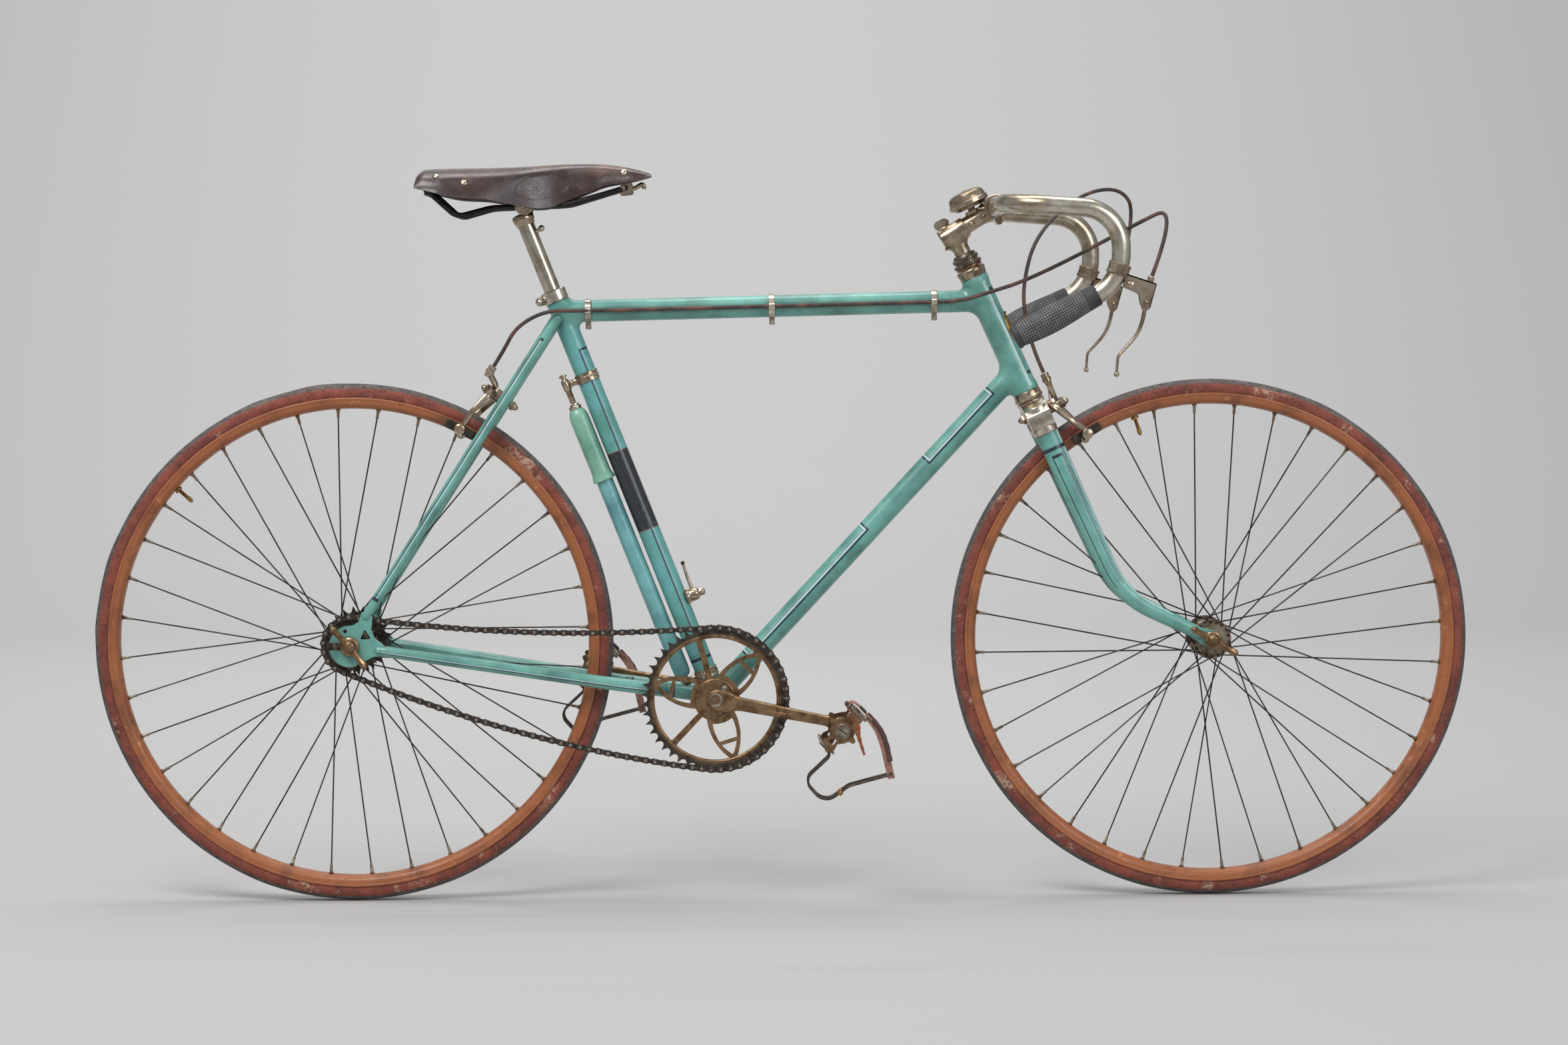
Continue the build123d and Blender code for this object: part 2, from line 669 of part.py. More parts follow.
def chain_pins():
    """Centres of the pins in order, with the angle of one pin on each wheel.

    The loop is a whole, even number of pitches, and both runs sag by what that leaves over.
    """
    taut = sum(chain_layout(0)[4])
    count = 2 * math.ceil(taut / 2)
    least, most = 0.0, 8.0
    for _ in range(40):
        slack = (least + most) / 2
        if sum(chain_layout(slack)[4]) < count:
            least = slack
        else:
            most = slack
    big_top, small_bottom, ends, sags, lengths = chain_layout(slack)
    big = pitch_radius(CHAINWHEEL_TEETH)
    small = pitch_radius(REAR_TEETH)
    small_phase = None
    pins = []
    for k in range(count):
        s = float(k)
        if s < lengths[0]:
            pins.append(wheel_point(BB, big, big_top - s * 360 / CHAINWHEEL_TEETH))
            continue
        s -= lengths[0]
        if s < lengths[1]:
            share = s / lengths[1]
            pins.append(ends[0] + (ends[1] - ends[0]) * share - Vector(0, 0, 4 * sags[0] * share * (1 - share)))
            continue
        s -= lengths[1]
        if s < lengths[2]:
            angle = small_bottom - s * 360 / REAR_TEETH
            pins.append(wheel_point(REAR_AXLE, small, angle))
            small_phase = angle
            continue
        share = (s - lengths[2]) / lengths[3]
        pins.append(ends[2] + (ends[3] - ends[2]) * share - Vector(0, 0, 4 * sags[1] * share * (1 - share)))
    return pins, big_top, small_phase


def band_outline(pins):
    """Side plates of the whole loop, high at every pin and waisted between pins."""
    outer = []
    inner = []
    count = len(pins)
    for k, pin in enumerate(pins):
        before = pins[k - 1]
        after = pins[(k + 1) % count]
        along = (after - before).normalized()
        out = Vector(along.Z, 0, -along.X) * -1
        link = (after - pin).normalized()
        link_out = Vector(link.Z, 0, -link.X) * -1
        middle = (pin + after) * 0.5
        outer += [pin + out * PLATE_END_HEIGHT / 2, middle + link_out * PLATE_WAIST_HEIGHT / 2]
        inner += [pin - out * PLATE_END_HEIGHT / 2, middle - link_out * PLATE_WAIST_HEIGHT / 2]
    big = make_face(Polyline(*[xz(p.X, p.Z) for p in outer], close=True))
    hole = make_face(Polyline(*[xz(p.X, p.Z) for p in inner], close=True))
    return big - hole


def chain():
    """The whole loop: two rows of plates joined by a roller at every pin."""
    pins, _, _ = chain_pins()
    outline = band_outline(pins)
    inner_y = CHAIN_INSIDE / 2
    near = flat_plate(outline, -CHAIN_LINE - inner_y - PLATE_THICK, -CHAIN_LINE - inner_y)
    far = flat_plate(outline, -CHAIN_LINE + inner_y, -CHAIN_LINE + inner_y + PLATE_THICK)
    rollers = []
    for k, pin in enumerate(pins):
        along = (pins[(k + 1) % len(pins)] - pins[k - 1]).normalized()
        angle = math.degrees(math.atan2(along.Z, along.X))
        roller = Pos(pin.X, -CHAIN_LINE - inner_y - 0.1, pin.Z) * (
            Rot(-90, 0, 0) * (Rot(0, 0, -angle) * extrude(RegularPolygon(ROLLER_D / 2, 4), amount=CHAIN_INSIDE + 0.2))
        )
        rollers.append(roller)
    return near.fuse(far, *rollers)


def sprocket_outline(teeth, phase):
    """Toothed outline with a gap centred at phase, in degrees. Each gap has a flat floor and two flanks."""
    pitch_r = pitch_radius(teeth)
    roller = ROLLER_D / 2
    tip_r = pitch_r + TOOTH_HEIGHT
    step = 360 / teeth
    floor_angle = math.degrees(0.42 * roller / pitch_r)
    flank_angle = math.degrees(1.03 * roller / pitch_r)
    points = []
    for k in range(teeth):
        angle = phase + k * step
        points += [
            (pitch_r - 1.1 * roller, angle - floor_angle),
            (pitch_r - 1.1 * roller, angle + floor_angle),
            (pitch_r - 0.4 * roller, angle + flank_angle),
            (tip_r, angle + step / 2 - 0.07 * step),
            (tip_r, angle + step / 2 + 0.07 * step),
            (pitch_r - 0.4 * roller, angle + step - flank_angle),
        ]
    return make_face(Polyline(*[xz(r * cosd(a), r * sind(a)) for r, a in points], close=True))


def sprocket(teeth, phase, centre, y_middle, bore_r):
    outline = sprocket_outline(teeth, phase) - Circle(bore_r)
    half = SPROCKET_THICK / 2
    return Pos(centre.X, 0, centre.Z) * flat_plate(outline, y_middle - half, y_middle + half)


HUB_BARREL_END = FRONT_WIDTH / 2 - 6
REAR_HUB_BARREL_END = REAR_WIDTH / 2 - 6
FREEWHEEL_BORE = HUB_CAP_D / 2 + 0.5


def rear_sprocket():
    """Driven sprocket on the freewheel's body, which lies round the hub's end."""
    _, _, phase = chain_pins()
    plate = sprocket(REAR_TEETH, phase, REAR_AXLE, -CHAIN_LINE, FREEWHEEL_BORE)
    body = across(0, WHEEL_RADIUS, -CHAIN_LINE - 4.5, -CHAIN_LINE + 5, 2 * pitch_radius(REAR_TEETH) - 24)
    body -= across(0, WHEEL_RADIUS, -CHAIN_LINE - 6, -CHAIN_LINE + 6, 2 * FREEWHEEL_BORE)
    return plate + body


def far_sprocket():
    """Spare fixed sprocket on the hub's far side."""
    plate = sprocket(FAR_TEETH, 0, REAR_AXLE, CHAIN_LINE, HUB_CAP_D / 2 + SEAT_GAP)
    return plate


def chainwheel_rim():
    """Toothed rim, which the chain holds."""
    _, phase, _ = chain_pins()
    return sprocket(CHAINWHEEL_TEETH, phase, BB, -CHAIN_LINE, CHAINWHEEL_INNER_R)


def leaf_arm(angle):
    """One pierced arm: two curved sides that meet near the rim, with a bar across."""
    reach = CHAINWHEEL_INNER_R - SPIDER_GAP
    start = SPIDER_HUB_R - 3
    side = 24
    mid = (start + reach) / 2
    outer = ThreePointArc((start, -side), (mid, -18), (reach + 6, 0))
    other = ThreePointArc((reach + 6, 0), (mid, 18), (start, side))
    blade = make_face([outer, other, Line((start, side), (start, -side))])
    inner = ThreePointArc((start + 7, -side + 8), (mid + 1, -11.5), (reach - 10, 0))
    inner_b = ThreePointArc((reach - 10, 0), (mid + 1, 11.5), (start + 7, side - 8))
    hole = make_face([inner, inner_b, Line((start + 7, side - 8), (start + 7, -side + 8))])
    bar = Pos(mid + 2, 0) * Rectangle(5, 40)
    arm = (blade - hole) + (bar & blade)
    return Rot(0, 0, -angle) * arm


def chainwheel_spider():
    """Centre disc, three pierced leaf arms and three straight arms, inside the toothed rim."""
    reach = CHAINWHEEL_INNER_R - SPIDER_GAP
    outline = Circle(SPIDER_HUB_R)
    for angle in LEAF_ANGLES:
        outline += leaf_arm(angle)
    for angle in LEAF_ANGLES:
        outline += Rot(0, 0, -(angle + 60)) * (Pos((SPIDER_HUB_R + reach) / 2, 0) * Rectangle(reach - SPIDER_HUB_R + 8, 7))
    rim_band = Circle(reach) - Circle(reach - 4)
    outline = (outline & Circle(reach)) + rim_band
    outline -= Circle(SPINDLE_D / 2)
    half = SPROCKET_THICK / 2
    return Pos(BB.X, 0, BB.Z) * flat_plate(outline, -CHAIN_LINE - half, -CHAIN_LINE + half)


LEAF_ANGLES = (45, 166, 287)


def crank_axis_point(length, side):
    """A point on a crank's centre line: side is -1 for the right crank, which points forward."""
    turn = CRANK_ANGLE if side < 0 else CRANK_ANGLE + 180
    return Vector(BB.X + length * cosd(turn), 0, BB.Z + length * sind(turn))


def crank_arm(side):
    """A crank: round boss, flat tapering arm and pedal eye with the pedal's axle."""
    boss = crank_axis_point(0, side)
    eye = crank_axis_point(CRANK_LENGTH, side)
    inner = side * CRANK_INNER_Y
    eye_inner = side * CRANK_EYE_INNER_Y
    start = Vector(boss.X, inner, boss.Z)
    crank = across(boss.X, boss.Z, inner, inner + side * (CRANK_THICK + 2), CRANK_BOSS_D)
    crank += across(eye.X, eye.Z, eye_inner, eye_inner + side * CRANK_THICK, CRANK_EYE_D)
    along = (eye - boss).normalized()
    up = Vector(-along.Z, 0, along.X)
    wide = Plane(
        origin=Vector(boss.X, inner + side * CRANK_THICK / 2, boss.Z) + along * 8, x_dir=up, z_dir=along
    ) * RectangleRounded(26, CRANK_THICK, 4)
    narrow = Plane(
        origin=Vector(eye.X, eye_inner + side * CRANK_THICK / 2, eye.Z) - along * 6, x_dir=up, z_dir=along
    ) * RectangleRounded(17, CRANK_THICK - 2, 4)
    crank += loft([wide, narrow])
    crank -= across(boss.X, boss.Z, inner - side, inner + side * 40, SPINDLE_D)
    crank += across(
        eye.X, eye.Z, eye_inner + side * (CRANK_THICK - 1), side * (PEDAL_OUTER_Y - 6), PEDAL_AXLE_D
    )
    return crank


def crank_spindle():
    reach = CRANK_INNER_Y + CRANK_THICK + 2
    spindle = across(BB.X, BB.Z, -reach, reach, SPINDLE_D)
    return spindle


def pedal_place(side):
    eye = crank_axis_point(CRANK_LENGTH, side)
    return Pos(eye.X, 0, eye.Z) * Rot(0, -PEDAL_TILT, 0)


def pedal(side):
    """Rat-trap pedal: barrel round the axle, two end plates and two toothed side plates."""
    inner = side * PEDAL_INNER_Y
    outer = side * PEDAL_OUTER_Y
    bore = PEDAL_AXLE_D + 0.8
    half = PEDAL_WIDTH / 2
    frame = across(0, 0, inner, outer - side * 6, PEDAL_BARREL_D)
    for y in (inner + side * END_PLATE_IN, outer - side * END_PLATE_OUT):
        frame += Pos(0, y, 0) * Box(2 * half, 3, 22)
    for x in (-half, half):
        frame += Pos(x, (inner + outer) / 2, 0) * Box(PEDAL_PLATE, abs(outer - inner) - 8, 26)
    frame += across(0, 0, outer - side * 6, outer, 19)
    frame -= across(0, 0, inner - side, outer - side * 5, bore)
    return pedal_place(side) * frame


def toe_clip(side):
    """One bent wire: from the pedal's front plate, over the toe, across at the end and back."""
    middle_y = side * (PEDAL_INNER_Y + PEDAL_OUTER_Y) / 2
    front = -(PEDAL_WIDTH / 2 + PEDAL_PLATE / 2 + SEAT_GAP + CLIP_WIRE_D / 2)
    line = [(front, 8), (front, -14), (-82, -12), (-84, -52), (-46, -58), (CLIP_END.X, CLIP_END.Z)]
    there = [Vector(x, middle_y - CLIP_HALF_WIDTH, z) for x, z in line]
    back = [Vector(x, middle_y + CLIP_HALF_WIDTH, z) for x, z in reversed(line)]
    radii = [8, 14, 18, 20]
    return pedal_place(side) * bent_bar(there + back, radii + [6, 6] + radii[::-1], CLIP_WIRE_D)


CLIP_END = Vector(2, 0, -86)


def toe_strap(side):
    """Leather strap from the rear plate, folded over it, down to an eye round the clip's cross bar."""
    middle_y = side * (PEDAL_INNER_Y + PEDAL_OUTER_Y) / 2
    half = STRAP_WIDTH / 2
    t = STRAP_THICK
    outside = PEDAL_WIDTH / 2 + PEDAL_PLATE / 2 + SEAT_GAP
    inside = PEDAL_WIDTH / 2 - PEDAL_PLATE / 2 - SEAT_GAP
    top = 13 + SEAT_GAP
    fold = Polyline(
        (inside, 4), (inside, top), (outside, top), (outside, -22), (outside + t, -22), (outside + t, top + t),
        (inside - t, top + t), (inside - t, 4), close=True
    )
    strap = strap_piece(make_face(fold), middle_y, half)
    lower = Pos(outside + t / 2 + 1, -20) * Circle(half)
    eye = Pos(CLIP_END.X, CLIP_END.Z) * Circle(half - 1)
    hole = Pos(CLIP_END.X, CLIP_END.Z) * Circle(CLIP_WIRE_D / 2 + SEAT_GAP)
    strap += strap_piece(make_hull([*lower.edges(), *eye.edges()]) - hole, middle_y, t / 2)
    root = Pos(inside - t - 3, 9) * Circle(half - 1)
    tongue_tip = Pos(-3, -42) * Circle(3)
    strap += strap_piece(make_hull([*root.edges(), *tongue_tip.edges()]), middle_y, t / 2)
    return pedal_place(side) * strap


def strap_piece(outline, middle_y, half):
    """A piece of strap drawn in the pedal's x and z, the same to both sides of its middle."""
    plane = Plane(origin=(0, middle_y, 0), x_dir=(1, 0, 0), z_dir=(0, -1, 0))
    return extrude(plane * outline, amount=half, both=True)


# Saddle and post

POST_TOP_POINT = seat_point(0, 0, POST_TOP)


def seat_post():
    start = seat_point(0, 0, SEAT_TUBE_TOP - 58)
    return rod(start, POST_TOP_POINT, POST_D)


def seat_collar():
    """Clamp collar round the top of the seat tube."""
    start = seat_point(0, 0, SEAT_TUBE_TOP - COLLAR_HEIGHT)
    end = seat_point(0, 0, SEAT_TUBE_TOP)
    ring = rod(start, end, COLLAR_D) - seat_tube_solid()
    ears = SEAT.location * (Pos(-COLLAR_D / 2 - 3, 0, SEAT_TUBE_TOP - COLLAR_HEIGHT / 2) * Box(10, 15, 10))
    bolt_z = SEAT_TUBE_TOP - COLLAR_HEIGHT / 2
    bolt = rod(seat_point(-COLLAR_D / 2 - 4, -13, bolt_z), seat_point(-COLLAR_D / 2 - 4, 13, bolt_z), 7)
    return ring + (ears - rod(start, end, MAIN_TUBE_D)) + bolt


def saddle_half_width(share):
    """Half width of the leather along its length, from 0 at the rear to 1 at the nose."""
    blend = 1 / (1 + math.exp(12 * (share - 0.42)))
    return NOSE_WIDTH / 2 + (SADDLE_WIDTH / 2 - NOSE_WIDTH / 2) * blend


def saddle_drop(share):
    """How far the flap hangs, straight between the named places."""
    for (s0, d0), (s1, d1) in zip(SADDLE_DROPS, SADDLE_DROPS[1:]):
        if share <= s1:
            return d0 + (d1 - d0) * (share - s0) / (s1 - s0)
    return SADDLE_DROPS[-1][1]


def saddle_crown(share):
    """Height of the crown's line: level behind, a little higher ahead and falling at the nose."""
    rise = 2.5 * math.sin(math.pi * min(1, max(0, (share - 0.35) / 0.75)))
    nose = 11 * max(0, (share - 0.84) / 0.16) ** 1.3
    rear = 8 * max(0, (0.06 - share) / 0.06) ** 1.5
    return rise - nose - rear - 3 * (1 - min(1, share / 0.6))


def saddle_section(share):
    """Closed section of the leather shell: a crowned arch with its flaps hanging down."""
    x = SADDLE_REAR_X + share * SADDLE_LENGTH
    half = saddle_half_width(share)
    if share > 0.92:
        half *= 1 - 2.2 * (share - 0.92)
    if share < 0.1:
        half *= 0.90 + share
    top = SADDLE_Z + saddle_crown(share)
    drop = saddle_drop(share)
    t = LEATHER_THICK
    shoulder = min(14, 0.45 * drop)
    outer = Spline((-half, -drop), (-half * 0.8, -shoulder), (0, 0), (half * 0.8, -shoulder), (half, -drop))
    inner = Spline(
        (half - t, -drop), (half * 0.8 - t, -shoulder - t), (0, -t), (-half * 0.8 + t, -shoulder - t), (-half + t, -drop)
    )
    face = make_face([outer, Line(outer @ 1, inner @ 0), inner, Line(inner @ 1, outer @ 0)])
    plane = Plane(origin=(x, 0, top), x_dir=(0, 1, 0), z_dir=(1, 0, 0))
    return plane * face


def saddle_leather():
    sections = [saddle_section(s) for s in (0.0, 0.06, 0.15, 0.3, 0.42, 0.5, 0.58, 0.7, 0.82, 0.93, 1.0)]
    return loft(sections)


RAIL_Y = 22.0
RAIL_Z = SADDLE_Z - 52


def saddle_frame():
    """Rails under the leather with the clamp that grips them on the post."""
    frame = None
    for side in (-1, 1):
        rail = bent_bar(
            [
                Vector(SADDLE_REAR_X + 14, side * 42, SADDLE_Z - 34),
                Vector(SADDLE_REAR_X + 52, side * 34, RAIL_Z - 14),
                Vector(SADDLE_REAR_X + 96, side * RAIL_Y, RAIL_Z - 2),
                Vector(SADDLE_REAR_X + 196, side * RAIL_Y, RAIL_Z + 2),
                Vector(SADDLE_REAR_X + 270, side * 6, SADDLE_Z - 30),
            ],
            [16, 30, 60],
            RAIL_D,
        )
        frame = rail if frame is None else frame + rail
    frame += Pos(SADDLE_REAR_X + 14, 0, SADDLE_Z - 34) * Box(6, 92, 10)
    frame += Pos(SADDLE_REAR_X + 270, 0, SADDLE_Z - 30) * Box(12, 18, 12)
    clamp_x = POST_TOP_POINT.X
    frame += across(clamp_x, RAIL_Z, -RAIL_Y - 9, RAIL_Y + 9, 20)
    cap = rod(seat_point(0, 0, POST_TOP - 16), seat_point(0, 0, POST_TOP + 12), POST_D + 8)
    cap -= rod(seat_point(0, 0, POST_TOP - 20), seat_point(0, 0, POST_TOP + SEAT_GAP), POST_D + 2 * SEAT_GAP)
    return frame + cap


# Handlebar, stem and controls

def stem_neck():
    """The forward extension, from behind the quill to the bar's clamp."""
    return rod(
        steer_point(-15, 0, STEM_AXIS_HEIGHT - 2), steer_point(BAR_CLAMP_FORWARD, 0, BAR_CLAMP_HEIGHT), STEM_D
    )


def stem():
    """Quill stem: a quill in the steerer, a forward extension and the bar clamp."""
    quill_d = STEERER_BORE - 2 * SEAT_GAP
    quill = rod(steer_point(0, 0, STEERER_TOP - 45), steer_point(0, 0, STEM_AXIS_HEIGHT), quill_d)
    clamp = across(BAR_CLAMP.X, BAR_CLAMP.Z, -22, 22, STEM_CLAMP_D)
    bar_hole = across(BAR_CLAMP.X, BAR_CLAMP.Z, -60, 60, BAR_D + 2 * SEAT_GAP)
    bolt_x = -10
    quill_bolt = rod(steer_point(bolt_x, 0, STEM_AXIS_HEIGHT), steer_point(bolt_x, 0, STEM_AXIS_HEIGHT + 18), 12)
    return quill + stem_neck() + clamp + quill_bolt - bar_hole


BAR_CLAMP = steer_point(BAR_CLAMP_FORWARD, 0, BAR_CLAMP_HEIGHT)
BAR_FRONT_X = 985.0
BAR_RAMP_Z = 894.0
BAR_HOOK_Z = 803.7
BAR_END = Vector(856, BAR_HALF_WIDTH, 737)


def bar_points(side):
    y = side * BAR_HALF_WIDTH
    return [
        Vector(BAR_CLAMP.X, 0, BAR_CLAMP.Z),
        Vector(BAR_CLAMP.X, y, BAR_CLAMP.Z),
        Vector(BAR_FRONT_X, y, BAR_RAMP_Z),
        Vector(BAR_FRONT_X, y, BAR_HOOK_Z),
        Vector(BAR_END.X, y, BAR_END.Z),
    ]


BAR_RADII = [55, 50, 58]


def handlebar():
    """Drop bar, swept in two halves from the clamp."""
    halves = [bent_bar(bar_points(side), BAR_RADII, BAR_D) for side in (-1, 1)]
    return halves[0] + halves[1]


GRIP_DIRECTION = (Vector(BAR_END.X, 0, BAR_END.Z) - Vector(BAR_FRONT_X, 0, BAR_HOOK_Z)).normalized()


def grips():
    """A rubber grip at each end of the bar, closed over the bar's end."""
    both = None
    for side in (-1, 1):
        end = Vector(BAR_END.X, side * BAR_HALF_WIDTH, BAR_END.Z)
        start = end - GRIP_DIRECTION * (GRIP_LENGTH - 6)
        middle = end - GRIP_DIRECTION * (GRIP_LENGTH * 0.45)
        tip = end + GRIP_DIRECTION * 6
        grip = rod(start, middle, GRIP_D - 6, GRIP_D) + rod(middle, tip, GRIP_D, GRIP_D - 8)
        grip -= rod(start - GRIP_DIRECTION, end + GRIP_DIRECTION * SEAT_GAP, BAR_D + 2 * SEAT_GAP)
        both = grip if both is None else both + grip
    return both


# Side view of a lever's bracket, and the line of its blade
LEVER_BAND = Vector(981.8, 0, 820)
LEVER_BAND_LEAN = Vector(0.327, 0, 0.945)
LEVER_BRACKET = ((990, 814.5), (1029, 801.5), (1020.5, 771), (1013, 765), (1008, 779), (1007, 789), (987, 797.5))
LEVER_BRACKET_THICK = 13.0
LEVER_BLADE = (Vector(1015.5, 0, 775), Vector(1008.5, 0, 741), Vector(980.5, 0, 711), Vector(979, 0, 688))
FERRULE_TOP = Vector(1023.5, 0, 811)


def brake_levers():
    """Two brake levers with their brackets clamped in front of the bar's hooks."""
    both = None
    for side in (-1, 1):
        y = side * BAR_HALF_WIDTH
        aside = Vector(0, y, 0)
        band = rod(LEVER_BAND + aside - LEVER_BAND_LEAN * 7, LEVER_BAND + aside + LEVER_BAND_LEAN * 7, BAR_D + 7)
        half = LEVER_BRACKET_THICK / 2
        bracket = flat_plate(make_face(Polyline(*[xz(x, z) for x, z in LEVER_BRACKET], close=True)), y - half, y + half)
        path = FilletPolyline(*[p + aside for p in LEVER_BLADE], radius=[60, 14])
        section = Plane(origin=path @ 0, x_dir=(0, 1, 0), z_dir=path % 0) * RectangleRounded(12, 7.5, 3)
        blade = sweep(section, path=path)
        ferrule = rod(lever_ferrule(side, -14), lever_ferrule(side, 0), 8)
        lever = band + bracket + blade + ferrule
        lever -= bent_bar(bar_points(side), BAR_RADII, BAR_D + 2 * SEAT_GAP)
        both = lever if both is None else both + lever
    return both


def bell():
    """Dome and base on the stem's extension."""
    top_of_clamp = BAR_CLAMP_HEIGHT + STEM_CLAMP_D / 2
    base_at = STEM_AXIS_HEIGHT + STEM_D / 2 + 4
    dome_at = top_of_clamp + 1
    radius = BELL_D / 2
    ball = (radius**2 + BELL_HEIGHT**2) / (2 * BELL_HEIGHT)
    dome = Pos(0, 0, BELL_HEIGHT - ball) * Sphere(ball) & Cylinder(radius + 5, 2 * BELL_HEIGHT, align=LOW)
    base = Pos(0, 0, base_at - dome_at) * Cylinder(11, dome_at - base_at, align=LOW)
    place = STEER.location * Pos(BELL_FORWARD, 0, dome_at)
    return place * (dome + base) - stem_neck()


# Brakes

BRAKE_PLANE_REAR = Plane(
    origin=Vector(BRIDGE_X, 0, STAY_BRIDGE_Z),
    x_dir=Vector(-sind(56.6), 0, cosd(56.6)),
    z_dir=Vector(cosd(56.6), 0, sind(56.6)),
)
BRAKE_PLANE_FRONT = Plane(
    origin=steer_point(0, 0, CROWN_BOTTOM + 16), x_dir=STEER_FORWARD, z_dir=STEER_UP
)


def pad_centre(plane, axle, out):
    """Where the pads meet the rim: on the rim's mid radius, at a set distance ahead of the brake's plane."""
    origin = plane.origin
    local_x = plane.x_dir
    local_z = plane.z_dir
    radius = rim_inner_radius() + RIM_DEPTH / 2
    start = origin + local_x * out
    gap = start - axle
    b = gap.dot(local_z)
    c = gap.dot(gap) - radius**2
    drop = -b + math.sqrt(b * b - c)
    if drop > 0:
        drop = -b - math.sqrt(b * b - c)
    return start + local_z * drop


def bolt_hole(plane):
    """The hole for a brake's centre bolt, through what carries it."""
    return plane.location * rod(Vector(-40, 0, 0), Vector(40, 0, 0), BRAKE_BOLT_D + 2 * SEAT_GAP)


def adjuster_top(plane, tail, beyond):
    """A point above the cable adjuster that stands on a brake arm's tail."""
    return plane.from_local_coords(tail + Vector(0, 0, ADJUSTER_HEIGHT + beyond))


def brake_arms(plane, axle, out, behind, stand_off, tail):
    """Side-pull caliper: centre bolt and two curved arms that reach down to the pads."""
    pad = plane.to_local_coords(pad_centre(plane, axle, out))
    pad_back = RIM_WIDTH / 2 + PAD_GAP + PAD_THICK + SEAT_GAP
    arms = rod(Vector(-behind, 0, 0), Vector(stand_off + 20, 0, 0), BRAKE_BOLT_D)
    arms += rod(Vector(-behind, 0, 0), Vector(-behind - 6, 0, 0), BRAKE_BOLT_D + 6)
    for side in (-1, 1):
        depth = stand_off + (5 if side < 0 else 14)
        arm = bent_bar(
            [
                Vector(depth, 0, 0),
                Vector(depth, side * 34, 5),
                Vector((depth + pad.X) / 2 + 2, side * 39, pad.Z * 0.5),
                Vector(pad.X, side * (pad_back + 6), pad.Z + 5),
            ],
            [14, 20],
            8,
        )
        arms += arm
        arms += rod(Vector(pad.X, side * pad_back, pad.Z), Vector(pad.X, side * (pad_back + 10), pad.Z), 10)
        end = tail if side > 0 else Vector(depth, tail.Y, 6)
        arms += rod(Vector(depth, 0, 0), end, 8)
    arms += rod(tail - Vector(0, 0, 4), tail + Vector(0, 0, ADJUSTER_HEIGHT), 8)
    return plane.location * arms


def brake_pads(plane, axle, out):
    centre = pad_centre(plane, axle, out)
    radial = (centre - axle).normalized()
    along = Vector(-radial.Z, 0, radial.X)
    pads = None
    for side in (-1, 1):
        y = side * (RIM_WIDTH / 2 + PAD_GAP + PAD_THICK / 2)
        place = Plane(origin=Vector(centre.X, y, centre.Z), x_dir=along, z_dir=Vector(0, 1, 0)).location
        pad = place * Box(PAD_LENGTH, PAD_HEIGHT, PAD_THICK - SEAT_GAP)
        pads = pad if pads is None else pads + pad
    return pads


REAR_PAD_OUT = 28.0
FRONT_PAD_OUT = 48.0
REAR_TAIL = Vector(36, 22, 21)
FRONT_TAIL = Vector(30, -18, 35)
ADJUSTER_HEIGHT = 10.0


# Cables

CABLE_CLIP_SHARES = (0.064, 0.497, 0.88)
TOP_TUBE_START = seat_point(0, 0, TOP_TUBE_ON_SEAT)
TOP_TUBE_END = steer_point(0, 0, TOP_TUBE_ON_HEAD)
CABLE_Y = MAIN_TUBE_D / 2 + BRAKE_WIRE_D / 2 + 1.5


def on_top_tube(share):
    point = TOP_TUBE_START + (TOP_TUBE_END - TOP_TUBE_START) * share
    return Vector(point.X, -CABLE_Y, point.Z)


def rear_cable_run():
    """Outer cable along the top tube's right side and down to the rear brake."""
    points = [
        on_top_tube(CABLE_CLIP_SHARES[2] + 0.02),
        on_top_tube(CABLE_CLIP_SHARES[0] - 0.022),
        Vector(256, -33, 773),
        Vector(217, -34, 752),
        adjuster_top(BRAKE_PLANE_REAR, REAR_TAIL, 24) + Vector(0, -2, 0),
        adjuster_top(BRAKE_PLANE_REAR, REAR_TAIL, 2 * SEAT_GAP),
    ]
    return bent_bar(points, [60, 30, 40, 40], BRAKE_WIRE_D)


def cable_clips():
    clips = None
    for share in CABLE_CLIP_SHARES:
        point = TOP_TUBE_START + (TOP_TUBE_END - TOP_TUBE_START) * share
        along = (TOP_TUBE_END - TOP_TUBE_START).normalized()
        ring = rod(point - along * 4, point + along * 4, MAIN_TUBE_D + 3)
        ring += rod(
            Vector(point.X, -CABLE_Y, point.Z) - along * 4,
            Vector(point.X, -CABLE_Y, point.Z) + along * 4,
            BRAKE_WIRE_D + 2.4,
        )
        ring -= rod(point - along * 9, point + along * 9, MAIN_TUBE_D)
        ring -= rod(
            Vector(point.X, -CABLE_Y, point.Z) - along * 9,
            Vector(point.X, -CABLE_Y, point.Z) + along * 9,
            BRAKE_WIRE_D + 2 * SEAT_GAP,
        )
        clips = ring if clips is None else clips + ring
    return clips


def lever_ferrule(side, beyond):
    """A point above the ferrule on top of a lever's bracket."""
    return FERRULE_TOP + Vector(0.38 * beyond, side * BAR_HALF_WIDTH, beyond)


def rear_cable_loop():
    """Free loop of outer cable from the right lever back to the top tube."""
    points = [
        lever_ferrule(-1, SEAT_GAP),
        Vector(1059, -192, 903),
        Vector(1002, -154, 874),
        Vector(930, -94, 834),
        Vector(872, -46, 806),
        Vector(834, -26, 794),
        on_top_tube(CABLE_CLIP_SHARES[2] + 0.06) + Vector(0, -3, 0),
        on_top_tube(CABLE_CLIP_SHARES[2] + 0.0213),
    ]
    return bent_bar(points, [8, 60, 80, 80, 60, 40], BRAKE_WIRE_D)


